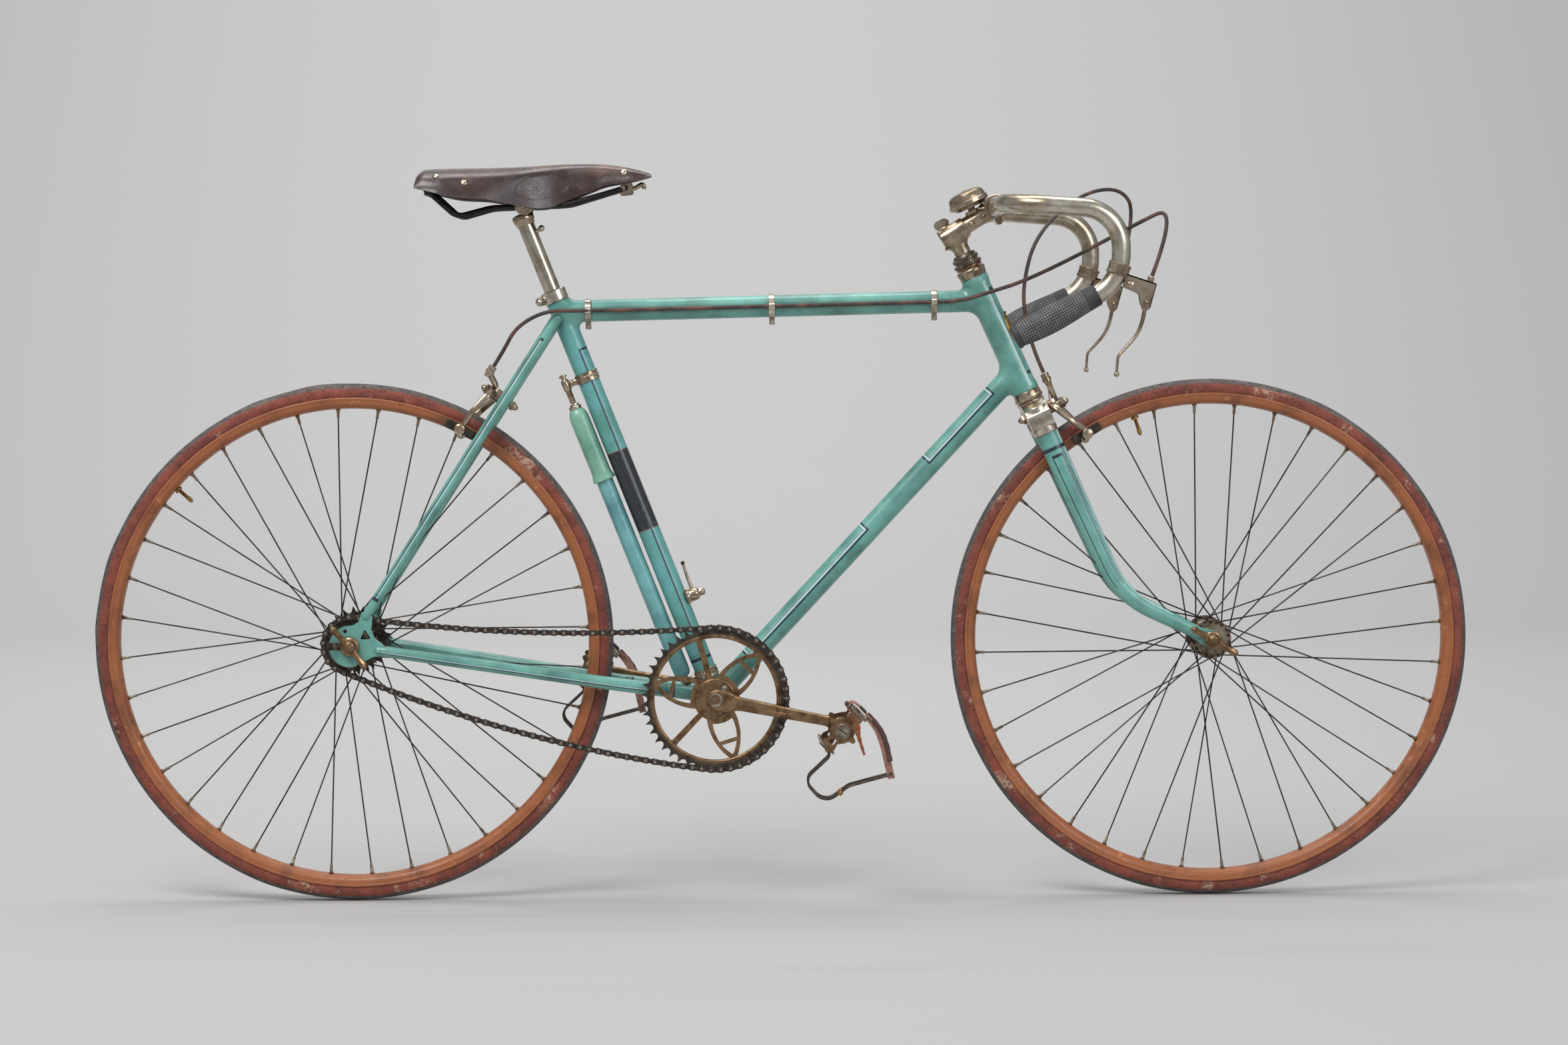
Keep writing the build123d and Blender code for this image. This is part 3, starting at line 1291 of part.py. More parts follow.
def front_cable():
    """Outer cable from the left lever over the bar and down to the front brake."""
    points = [
        lever_ferrule(1, SEAT_GAP),
        Vector(1047, 196, 900),
        Vector(1024, 176, 936),
        Vector(964, 120, 926),
        Vector(898, 46, 870),
        Vector(877, 4, 802),
        Vector(880, -10, 756),
        adjuster_top(BRAKE_PLANE_FRONT, FRONT_TAIL, 30),
        adjuster_top(BRAKE_PLANE_FRONT, FRONT_TAIL, 2 * SEAT_GAP),
    ]
    return bent_bar(points, [24, 24, 50, 60, 60, 60, 60], BRAKE_WIRE_D)


# Pump and its clips

def pump_point(up):
    return seat_point(-PUMP_OFFSET, 0, up)


def pump_barrel():
    return rod(pump_point(PUMP_FOOT_AT), pump_point(PUMP_TOP_AT - PUMP_HANDLE_LENGTH), PUMP_D)


def pump_handle():
    start = PUMP_TOP_AT - PUMP_HANDLE_LENGTH + SEAT_GAP
    handle = rod(pump_point(start), pump_point(PUMP_TOP_AT - 8), PUMP_HANDLE_D)
    handle += rod(pump_point(start), pump_point(start + 8), PUMP_HANDLE_D + 4)
    handle += rod(pump_point(PUMP_TOP_AT - 8), pump_point(PUMP_TOP_AT), PUMP_HANDLE_D, PUMP_HANDLE_D - 10)
    return handle


def tube_band(up, height, thick):
    """A band round the seat tube."""
    ring = rod(seat_point(0, 0, up), seat_point(0, 0, up + height), MAIN_TUBE_D + 2 * thick)
    return ring - rod(seat_point(0, 0, up - 1), seat_point(0, 0, up + height + 1), MAIN_TUBE_D)


def pump_clips():
    """The band with its peg above the pump and the socket at its foot."""
    top_band = tube_band(PUMP_TOP_AT + 22, 9, 1.5)
    arm = rod(seat_point(-MAIN_TUBE_D / 2, 0, PUMP_TOP_AT + 26), seat_point(-PUMP_OFFSET, 0, PUMP_TOP_AT + 26), 7)
    peg = rod(pump_point(PUMP_TOP_AT + SEAT_GAP), pump_point(PUMP_TOP_AT + 34), 8)
    foot_band = tube_band(PUMP_FOOT_AT - 10, 9, 1.5)
    foot_arm = rod(seat_point(-MAIN_TUBE_D / 2, 0, PUMP_FOOT_AT - 6), seat_point(-PUMP_OFFSET, 0, PUMP_FOOT_AT - 6), 7)
    foot_peg = rod(pump_point(PUMP_FOOT_AT - 12), pump_point(PUMP_FOOT_AT - SEAT_GAP), 12)
    return top_band + (arm - seat_tube_solid()) + peg + foot_band + (foot_arm - seat_tube_solid()) + foot_peg


def seat_tube_fitting():
    """Small boss with a screw and a lever on the seat tube's front."""
    up = 134
    boss = rod(seat_point(MAIN_TUBE_D / 2 - 2, 0, up), seat_point(MAIN_TUBE_D / 2 + 16, 0, up), 17)
    screw = rod(seat_point(MAIN_TUBE_D / 2 + 16, 0, up), seat_point(MAIN_TUBE_D / 2 + 24, 0, up), 10)
    lever = rod(seat_point(MAIN_TUBE_D / 2 + 9, 0, up + 6), seat_point(MAIN_TUBE_D / 2 + 9, 0, up + 46), 4)
    return boss + screw + lever - seat_tube_solid()


# Every node with the function that makes it

NODES = {
    "head_tube": head_tube,
    "top_tube": top_tube,
    "down_tube": down_tube,
    "seat_tube": seat_tube,
    "bottom_bracket_shell": bottom_bracket_shell,
    "chain_stays": chain_stays,
    "seat_stays": seat_stays,
    "rear_dropouts": rear_dropouts,
    "seat_collar": seat_collar,
    "seat_post": seat_post,
    "saddle_leather": saddle_leather,
    "saddle_frame": saddle_frame,
    "headset_cups": headset_cups,
    "rear_brake": lambda: brake_arms(BRAKE_PLANE_REAR, REAR_AXLE, REAR_PAD_OUT, 9, 6, REAR_TAIL),
    "rear_brake_pads": lambda: brake_pads(BRAKE_PLANE_REAR, REAR_AXLE, REAR_PAD_OUT),
    "cable_clips": cable_clips,
    "rear_cable_run": rear_cable_run,
    "pump_barrel": pump_barrel,
    "pump_handle": pump_handle,
    "pump_clips": pump_clips,
    "seat_tube_fitting": seat_tube_fitting,
    "chain": chain,
    "rear_sprocket": rear_sprocket,
    "chainwheel_rim": chainwheel_rim,
    "rear_axle": lambda: axle_with_nuts(0, WHEEL_RADIUS, REAR_WIDTH, DROPOUT_THICK, 130),
    "fork_crown": fork_crown,
    "fork_blades": fork_blades,
    "headset_lock_rings": headset_lock_rings,
    "stem": stem,
    "handlebar": handlebar,
    "grips": grips,
    "brake_levers": brake_levers,
    "bell": bell,
    "front_brake": lambda: brake_arms(BRAKE_PLANE_FRONT, FRONT_AXLE, FRONT_PAD_OUT, 15, 16, FRONT_TAIL),
    "front_brake_pads": lambda: brake_pads(BRAKE_PLANE_FRONT, FRONT_AXLE, FRONT_PAD_OUT),
    "front_cable": front_cable,
    "rear_cable_loop": rear_cable_loop,
    "front_axle": lambda: axle_with_nuts(WHEELBASE, WHEEL_RADIUS, FRONT_WIDTH, FORK_TIP_THICK, 150),
    "front_hub": lambda: wheel_hub(FRONT_AXLE, HUB_BARREL_END),
    "front_spokes": lambda: wheel_spokes(FRONT_AXLE, FRONT_VALVE_ANGLE),
    "front_rim": lambda: wheel_rim(FRONT_AXLE),
    "front_tyre": lambda: wheel_tyre(FRONT_AXLE),
    "front_valve": lambda: wheel_valve(FRONT_AXLE, FRONT_VALVE_ANGLE),
    "rear_hub": lambda: wheel_hub(REAR_AXLE, REAR_HUB_BARREL_END),
    "rear_spokes": lambda: wheel_spokes(REAR_AXLE, REAR_VALVE_ANGLE),
    "rear_rim": lambda: wheel_rim(REAR_AXLE),
    "rear_tyre": lambda: wheel_tyre(REAR_AXLE),
    "rear_valve": lambda: wheel_valve(REAR_AXLE, REAR_VALVE_ANGLE),
    "far_sprocket": far_sprocket,
    "crank_spindle": crank_spindle,
    "crank_right": lambda: crank_arm(-1),
    "crank_left": lambda: crank_arm(1),
    "chainwheel_spider": chainwheel_spider,
    "pedal_right": lambda: pedal(-1),
    "pedal_left": lambda: pedal(1),
    "toe_clip_right": lambda: toe_clip(-1),
    "toe_clip_left": lambda: toe_clip(1),
    "toe_strap_right": lambda: toe_strap(-1),
    "toe_strap_left": lambda: toe_strap(1),
}


def main():
    os.makedirs("parts", exist_ok=True)
    for name, make in NODES.items():
        export_step(ORIGIN_SHIFT * make(), f"parts/{name}.step")


if __name__ == "__main__":
    main()
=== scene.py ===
import json
import math
import random

import bpy
import numpy as np
from mathutils import Matrix, Vector
from mathutils.geometry import tessellate_polygon


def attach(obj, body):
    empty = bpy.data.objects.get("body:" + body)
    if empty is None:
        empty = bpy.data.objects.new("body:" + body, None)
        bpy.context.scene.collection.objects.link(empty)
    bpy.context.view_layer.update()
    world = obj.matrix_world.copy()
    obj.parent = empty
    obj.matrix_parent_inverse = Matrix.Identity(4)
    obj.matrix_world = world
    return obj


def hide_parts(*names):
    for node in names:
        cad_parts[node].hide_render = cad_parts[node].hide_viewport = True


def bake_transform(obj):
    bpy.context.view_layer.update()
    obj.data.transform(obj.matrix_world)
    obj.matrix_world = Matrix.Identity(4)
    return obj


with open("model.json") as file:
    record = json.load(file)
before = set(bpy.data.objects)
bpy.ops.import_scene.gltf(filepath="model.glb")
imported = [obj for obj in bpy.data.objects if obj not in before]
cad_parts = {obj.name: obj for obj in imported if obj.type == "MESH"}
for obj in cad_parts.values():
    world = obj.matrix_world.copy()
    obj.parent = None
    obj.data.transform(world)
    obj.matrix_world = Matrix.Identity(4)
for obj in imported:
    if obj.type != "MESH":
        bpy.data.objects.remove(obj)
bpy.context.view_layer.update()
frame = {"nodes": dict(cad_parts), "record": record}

# A road racing bicycle. The layout is in millimetres, with x forward from the rear axle, y to the
# rider's left and z up from the ground. The part's origin is the middle of the saddle's top.

MM = 0.001
ORIGIN = Vector((235.0, 0.0, 960.0))

WHEELBASE = 1120.0
WHEEL_R = 340.0
BB = Vector((472.4, 0, 267.0))
REAR_AXLE = Vector((0, 0, WHEEL_R))
FRONT_AXLE = Vector((WHEELBASE, 0, WHEEL_R))
SEAT_ANGLE = 68.5
HEAD_ANGLE = 65.6
FORK_RAKE = 84.0
TUBE_D = 28.6
BAND_BORE_R = 14.35
HEAD_TUBE_D = 34.0
X_AXIS = Vector((1, 0, 0))
Y_AXIS = Vector((0, 1, 0))
NEAR = Vector((0, -1, 0))
UP = Vector((0, 0, 1))


def cosd(angle):
    return math.cos(math.radians(angle))


def sind(angle):
    return math.sin(math.radians(angle))


def V(x, y, z):
    return Vector((x, y, z))


SEAT_UP = V(-cosd(SEAT_ANGLE), 0, sind(SEAT_ANGLE))
SEAT_FORWARD = V(sind(SEAT_ANGLE), 0, cosd(SEAT_ANGLE))
STEER_UP = V(-cosd(HEAD_ANGLE), 0, sind(HEAD_ANGLE))
STEER_FORWARD = V(sind(HEAD_ANGLE), 0, cosd(HEAD_ANGLE))
STEER_FOOT = FRONT_AXLE - STEER_FORWARD * FORK_RAKE


def seat_point(forward, y, up):
    """A point given along the seat tube, from the bottom bracket's centre."""
    return BB + SEAT_FORWARD * forward + Y_AXIS * y + SEAT_UP * up


def steer_point(forward, y, up):
    """A point given along the steering axis, from the foot of the rake."""
    return STEER_FOOT + STEER_FORWARD * forward + Y_AXIS * y + STEER_UP * up


def row_frame(point):
    """A layout point in metres from the part's origin."""
    return (point - ORIGIN) * MM


def flip(point):
    return V(point.x, -point.y, point.z)


def smooth(t):
    t = min(1, max(0, t))
    return t * t * (3 - 2 * t)


def linked(name, data):
    """A new object in the scene."""
    obj = bpy.data.objects.new(name, data)
    bpy.context.scene.collection.objects.link(obj)
    return obj


# Camera, found from the wheels' circles, the tubes and the bars' two sides in the photograph

PHOTO_WIDTH = 2353
CAMERA_AT = V(511.6, -4698.9, 758.2)
CAMERA_PITCH = -3.220
CAMERA_YAW = -0.631
CAMERA_ROLL = 0.320
CAMERA_FOCUS = 5389.0


def make_camera():
    data = bpy.data.cameras.new("camera")
    data.sensor_width = 36
    data.lens = CAMERA_FOCUS / PHOTO_WIDTH * data.sensor_width
    data.clip_end = 100
    obj = linked("camera", data)
    forward = V(-sind(CAMERA_YAW) * cosd(CAMERA_PITCH), cosd(CAMERA_YAW) * cosd(CAMERA_PITCH),
                sind(CAMERA_PITCH))
    right = V(cosd(CAMERA_YAW), sind(CAMERA_YAW), 0)
    up = right.cross(forward)
    turned_right = right * cosd(CAMERA_ROLL) - up * sind(CAMERA_ROLL)
    turned_up = right * sind(CAMERA_ROLL) + up * cosd(CAMERA_ROLL)
    turn = Matrix((turned_right, turned_up, -forward)).transposed().to_4x4()
    obj.matrix_world = Matrix.Translation((CAMERA_AT - ORIGIN) * MM) @ turn
    bpy.context.scene.camera = obj


# Building meshes: points in layout millimetres, faces with a material slot and two marks a corner.
# The marks go to the UV map: how far round in degrees and how far along in millimetres.

class Build:
    def __init__(self):
        self.points = []
        self.faces = []
        self.slots = []
        self.marks = []

    def add_points(self, points):
        start = len(self.points)
        self.points.extend(Vector(p) for p in points)
        return start

    def add_face(self, corners, slot=0, marks=None):
        self.faces.append(tuple(corners))
        self.slots.append(slot)
        self.marks.append(marks or [(0.0, 0.0)] * len(corners))

    def grid(self, rows, around, along, slot=0, closed=True, looped=False):
        """A skin over rows of points. slot is a number, or a function of the face's two marks."""
        count = len(rows[0])
        starts = [self.add_points(r) for r in rows]
        pairs = list(zip(range(len(rows)), range(1, len(rows))))
        if looped:
            pairs.append((len(rows) - 1, 0))
        for i, k in pairs:
            for j in range(count if closed else count - 1):
                m = (j + 1) % count
                u0, u1 = around[j], around[j + 1]
                v0, v1 = along[i], along[i + 1] if k == 0 else along[k]
                marks = [(u0, v0), (u1, v0), (u1, v1), (u0, v1)]
                if isinstance(along[i], list):
                    marks = [(u0, v0[j]), (u1, v0[j + 1]), (u1, v1[j + 1]), (u0, v1[j])]
                face_slot = slot((u0 + u1) / 2, (v0 + v1) / 2) if callable(slot) else slot
                self.add_face(
                    (starts[i] + j, starts[i] + m, starts[k] + m, starts[k] + j), face_slot, marks
                )
        return starts

    def cap(self, start, count, slot=0, turned=False, mark=(0.0, 0.0)):
        corners = list(range(start, start + count))
        if not turned:
            corners.reverse()
        self.add_face(corners, slot, [mark] * count)

    def tube(self, path, radius, sides=24, slot=0, caps=True, side=None, round_ends=0.0, shape=None):
        """A round or shaped bar along a path. radius is a number, or a function of the share run."""
        path = [Vector(p) for p in path]
        steps = [0.0]
        for a, b in zip(path, path[1:]):
            steps.append(steps[-1] + (b - a).length)
        total = steps[-1]
        size = radius if callable(radius) else (lambda share: radius)
        stations = [(p, s, size(s / total)) for p, s in zip(path, steps)]
        if round_ends:
            stations = rounded_stations(stations, round_ends)
        normals = carried_normals([s[0] for s in stations], side)
        rows = []
        for (p, s, r), (tangent, normal) in zip(stations, normals):
            other = tangent.cross(normal)
            row = []
            for j in range(sides):
                angle = 360 * j / sides
                a, b = shape(angle) if shape else (cosd(angle), sind(angle))
                row.append(p + normal * (r * a) + other * (r * b))
            rows.append(row)
        around = turns(sides)
        along = [s[1] for s in stations]
        starts = self.grid(rows, around, along, slot)
        if caps:
            self.cap(starts[0], sides, slot if not callable(slot) else slot(0, along[0]), True)
            self.cap(starts[-1], sides, slot if not callable(slot) else slot(0, along[-1]))
        return starts

    def rod(self, start, end, diameter, end_diameter=None, sides=20, slot=0, round_ends=0.0, side=None,
            **more):
        end_diameter = diameter if end_diameter is None else end_diameter
        self.tube(
            [start, end], lambda t: (diameter + (end_diameter - diameter) * t) / 2, sides, slot,
            round_ends=round_ends, side=side, **more
        )

    def lathe(self, centre, axis, profile, sides=32, slot=0, closed=False, start_side=None):
        """A turned body from points (along the axis, radius)."""
        axis = Vector(axis).normalized()
        first = start_side or perpendicular(axis)
        second = axis.cross(first)
        rows = []
        for along, r in profile:
            rows.append(circle_row(centre + axis * along, first, second, r, sides))
        around = turns(sides)
        marks = [0.0]
        for (a0, r0), (a1, r1) in zip(profile, profile[1:] + profile[:1]):
            marks.append(marks[-1] + math.hypot(a1 - a0, r1 - r0))
        starts = self.grid(rows, around, marks, slot, looped=closed)
        if not closed:
            self.cap(starts[0], sides, slot if not callable(slot) else slot(0, 0), True)
            self.cap(starts[-1], sides, slot if not callable(slot) else slot(0, marks[-2]))

    def plate(self, outline, origin, ex, ey, thickness, slot=0, holes=()):
        """A flat plate: outline and holes in the plane of ex and ey, thickness along ex x ey."""
        normal = ex.cross(ey).normalized()
        loops = [list(outline)] + [list(h) for h in holes]
        flat = [[V(p[0], p[1], 0) for p in loop] for loop in loops]
        triangles = tessellate_polygon(flat)
        levels = []
        for height in (0.0, thickness):
            levels.append(self.add_points([
                origin + ex * p[0] + ey * p[1] + normal * height for loop in loops for p in loop
            ]))
        joined = [p for loop in flat for p in loop]
        for tri in triangles:
            a, b, c = (joined[k] for k in tri)
            turned = (b - a).cross(c - a).z < 0
            corners = list(reversed(tri)) if turned else list(tri)
            marks = [(joined[k].x, joined[k].y) for k in corners]
            self.add_face([levels[1] + k for k in corners], slot, marks)
            self.add_face([levels[0] + k for k in reversed(corners)], slot, marks[::-1])
        first = 0
        for n, loop in enumerate(loops):
            size = len(loop)
            area = sum(loop[k - 1][0] * loop[k][1] - loop[k][0] * loop[k - 1][1] for k in range(size))
            outward = (area > 0) == (n == 0)
            for k in range(size):
                a, b = first + k, first + (k + 1) % size
                if not outward:
                    a, b = b, a
                self.add_face((levels[0] + a, levels[0] + b, levels[1] + b, levels[1] + a), slot)
            first += size

    def box(self, centre, ex, ey, ez, size, slot=0):
        half = V(*size) / 2
        outline = [(-half.x, -half.y), (half.x, -half.y), (half.x, half.y), (-half.x, half.y)]
        self.plate(outline, Vector(centre) - ez * half.z, ex, ey, size[2], slot)

    def nut(self, centre, axis, across_flats, height, slot=0, turn=0.0):
        """A six-sided nut with its corners turned off."""
        axis = Vector(axis).normalized()
        ex = perpendicular(axis)
        ex = Matrix.Rotation(math.radians(turn), 3, axis) @ ex
        ey = axis.cross(ex)
        r = across_flats / math.sqrt(3)
        rings = [(0.0, 0.93), (height * 0.12, 1.0), (height * 0.85, 1.0), (height, 0.86)]
        rows = [circle_row(centre + axis * h, ex, ey, r * k, 6) for h, k in rings]
        starts = self.grid(rows, [60 * j for j in range(7)], [h for h, _ in rings], slot)
        self.cap(starts[0], 6, slot, True)
        self.cap(starts[-1], 6, slot)

    def ball(self, centre, radius, slot=0, sides=16, axis=UP):
        steps = sides // 2
        profile = [(-radius * cosd(180 * k / steps), max(0.02 * radius, radius * sind(180 * k / steps)))
                   for k in range(steps + 1)]
        self.lathe(centre, axis, profile, sides, slot)


def turns(sides):
    """The angles round a section in degrees, with the start again at the end."""
    return [360 * j / sides for j in range(sides + 1)]


def circle_row(centre, first, second, r, sides):
    """Points round a circle in the plane of first and second."""
    return [centre + first * (r * cosd(a)) + second * (r * sind(a)) for a in turns(sides)[:-1]]


def perpendicular(axis):
    ref = NEAR if abs(axis.dot(NEAR)) < 0.9 else UP
    return (ref - axis * ref.dot(axis)).normalized()


def rounded_stations(stations, amount, steps=4):
    """Adds a rounded shoulder of the given radius at both ends of a bar."""
    out = []
    for end in (0, -1):
        p, s, r = stations[end]
        q = stations[1 if end == 0 else -2][0]
        inward = (q - p).normalized()
        sign = 1 if end == 0 else -1
        ring = []
        for k in range(steps + 1):
            angle = 90 * k / steps
            ring.append((p + inward * (amount * (1 - sind(angle))), s + sign * amount * (1 - sind(angle)),
                         r - amount * (1 - cosd(angle))))
        out.append(ring[::-1] if end == 0 else ring)
    return out[0] + stations[1:-1] + out[1]


def carried_normals(path, side=None):
    """A tangent and a normal at each point, the normal carried along without twist."""
    out = []
    normal = None
    for k in range(len(path)):
        a = path[max(0, k - 1)]
        b = path[min(len(path) - 1, k + 1)]
        tangent = (b - a).normalized()
        if normal is None:
            ref = side or perpendicular(tangent)
            normal = ref
        normal = (normal - tangent * normal.dot(tangent)).normalized()
        out.append((tangent, normal))
    return out


def arc_path(points, radii, step=10.0):
    """Straight runs joined by tangent arcs, as a list of points; step is degrees between them."""
    points = [Vector(p) for p in points]
    if not isinstance(radii, (list, tuple)):
        radii = [radii] * (len(points) - 2)
    out = [points[0]]
    for k, radius in enumerate(radii, 1):
        before, corner, after = points[k - 1], points[k], points[k + 1]
        into = (corner - before).normalized()
        away = (after - corner).normalized()
        turn = into.angle(away)
        if turn < 1e-3:
            continue
        reach = radius * math.tan(turn / 2)
        axis = into.cross(away).normalized()
        inward = axis.cross(into)
        centre = corner - into * reach + inward * radius
        count = max(2, math.ceil(math.degrees(turn) / step))
        for n in range(count + 1):
            spin = Matrix.Rotation(turn * n / count, 3, axis)
            out.append(centre - spin @ (inward * radius))
    out.append(points[-1])
    return out


def divided(path, length):
    """The same line with extra points, no further apart than length."""
    out = [path[0]]
    for a, b in zip(path, path[1:]):
        count = max(1, math.ceil((b - a).length / length))
        out += [a + (b - a) * (n / count) for n in range(1, count + 1)]
    return out


def flowing_line(points, per_span=8):
    """A smooth line inside the corners of the given points, from the first to the last."""
    curve = bpy.data.curves.new("line", "CURVE")
    curve.dimensions = "3D"
    curve.resolution_u = per_span
    spline = curve.splines.new("NURBS")
    spline.points.add(len(points) - 1)
    for place, p in zip(spline.points, points):
        place.co = (p[0], p[1], p[2], 1)
    spline.order_u = 3
    spline.use_endpoint_u = True
    obj = linked("line", curve)
    bpy.context.view_layer.update()
    mesh = bpy.data.meshes.new_from_object(obj.evaluated_get(bpy.context.evaluated_depsgraph_get()))
    line = [v.co.copy() for v in mesh.vertices]
    bpy.data.objects.remove(obj)
    bpy.data.curves.remove(curve)
    bpy.data.meshes.remove(mesh)
    return line


def circle(radius, count=32, centre=(0, 0), start=0.0, sweep=360.0):
    steps = count if sweep == 360 else count + 1
    return [(centre[0] + radius * cosd(start + sweep * k / count),
             centre[1] + radius * sind(start + sweep * k / count))
            for k in range(steps)]


def hull(points):
    """The convex outline round a set of flat points."""
    points = sorted(set((round(x, 4), round(y, 4)) for x, y in points))
    def half(items):
        out = []
        for p in items:
            while len(out) > 1 and (out[-1][0] - out[-2][0]) * (p[1] - out[-2][1]) <= \
                    (out[-1][1] - out[-2][1]) * (p[0] - out[-2][0]):
                out.pop()
            out.append(p)
        return out
    return half(points)[:-1] + half(points[::-1])[:-1]


def rounded(points, radius, step=20.0):
    """A closed flat outline with each corner rounded. radius is one number or one for each corner."""
    out = []
    count = len(points)
    for k in range(count):
        r = radius[k] if isinstance(radius, (list, tuple)) else radius
        a, b, c = V(*points[k - 1], 0), V(*points[k], 0), V(*points[(k + 1) % count], 0)
        into, away = (b - a).normalized(), (c - b).normalized()
        turn = into.angle(away)
        reach = min(r * math.tan(turn / 2), 0.48 * (b - a).length, 0.48 * (c - b).length)
        if r <= 0 or turn < 0.02:
            out.append(points[k])
            continue
        r = reach / math.tan(turn / 2)
        sign = 1 if into.cross(away).z > 0 else -1
        side = V(-into.y, into.x, 0) * sign
        centre = b - into * reach + side * r
        steps = max(2, math.ceil(math.degrees(turn) / step))
        for n in range(steps + 1):
            spin = Matrix.Rotation(sign * turn * n / steps, 3, "Z")
            p = centre - spin @ (side * r)
            out.append((p.x, p.y))
    return out


def piece(name, build, materials, body, nodes=(), sharp=35.0, bevel=0.0, subdivide=0):
    """Makes the mesh an object that rides on a body and stands for the named nodes."""
    mesh = bpy.data.meshes.new(name)
    mesh.from_pydata([(p - ORIGIN) * MM for p in build.points], [], build.faces)
    layer = mesh.uv_layers.new(name="marks")
    flat = [value for marks in build.marks for mark in marks for value in (mark[0] / 100, mark[1] / 100)]
    layer.data.foreach_set("uv", flat)
    mesh.polygons.foreach_set("material_index", build.slots)
    for material in materials if isinstance(materials, (list, tuple)) else [materials]:
        mesh.materials.append(material)
    mesh.polygons.foreach_set("use_smooth", [True] * len(mesh.polygons))
    mesh.validate()
    if sharp:
        mesh.set_sharp_from_angle(angle=math.radians(sharp))
    mesh.update()
    obj = linked(name, mesh)
    if bevel:
        modifier = obj.modifiers.new("edges", "BEVEL")
        modifier.width = bevel * MM
        modifier.segments = 2
        modifier.limit_method = "ANGLE"
        modifier.angle_limit = math.radians(35)
        modifier.harden_normals = True
    if subdivide:
        modifier = obj.modifiers.new("smooth", "SUBSURF")
        modifier.levels = modifier.render_levels = subdivide
    if body:
        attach(obj, body)
    if nodes:
        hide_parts(*nodes)
    return obj


# Materials: all from noise in the object's own coordinates, and from the marks laid on the meshes

def srgb(r, g, b):
    """A colour as it looks on screen, in 0 to 255, made linear."""
    def linear(c):
        c /= 255
        return c / 12.92 if c <= 0.04045 else ((c + 0.055) / 1.055) ** 2.4
    return (linear(r), linear(g), linear(b), 1.0)


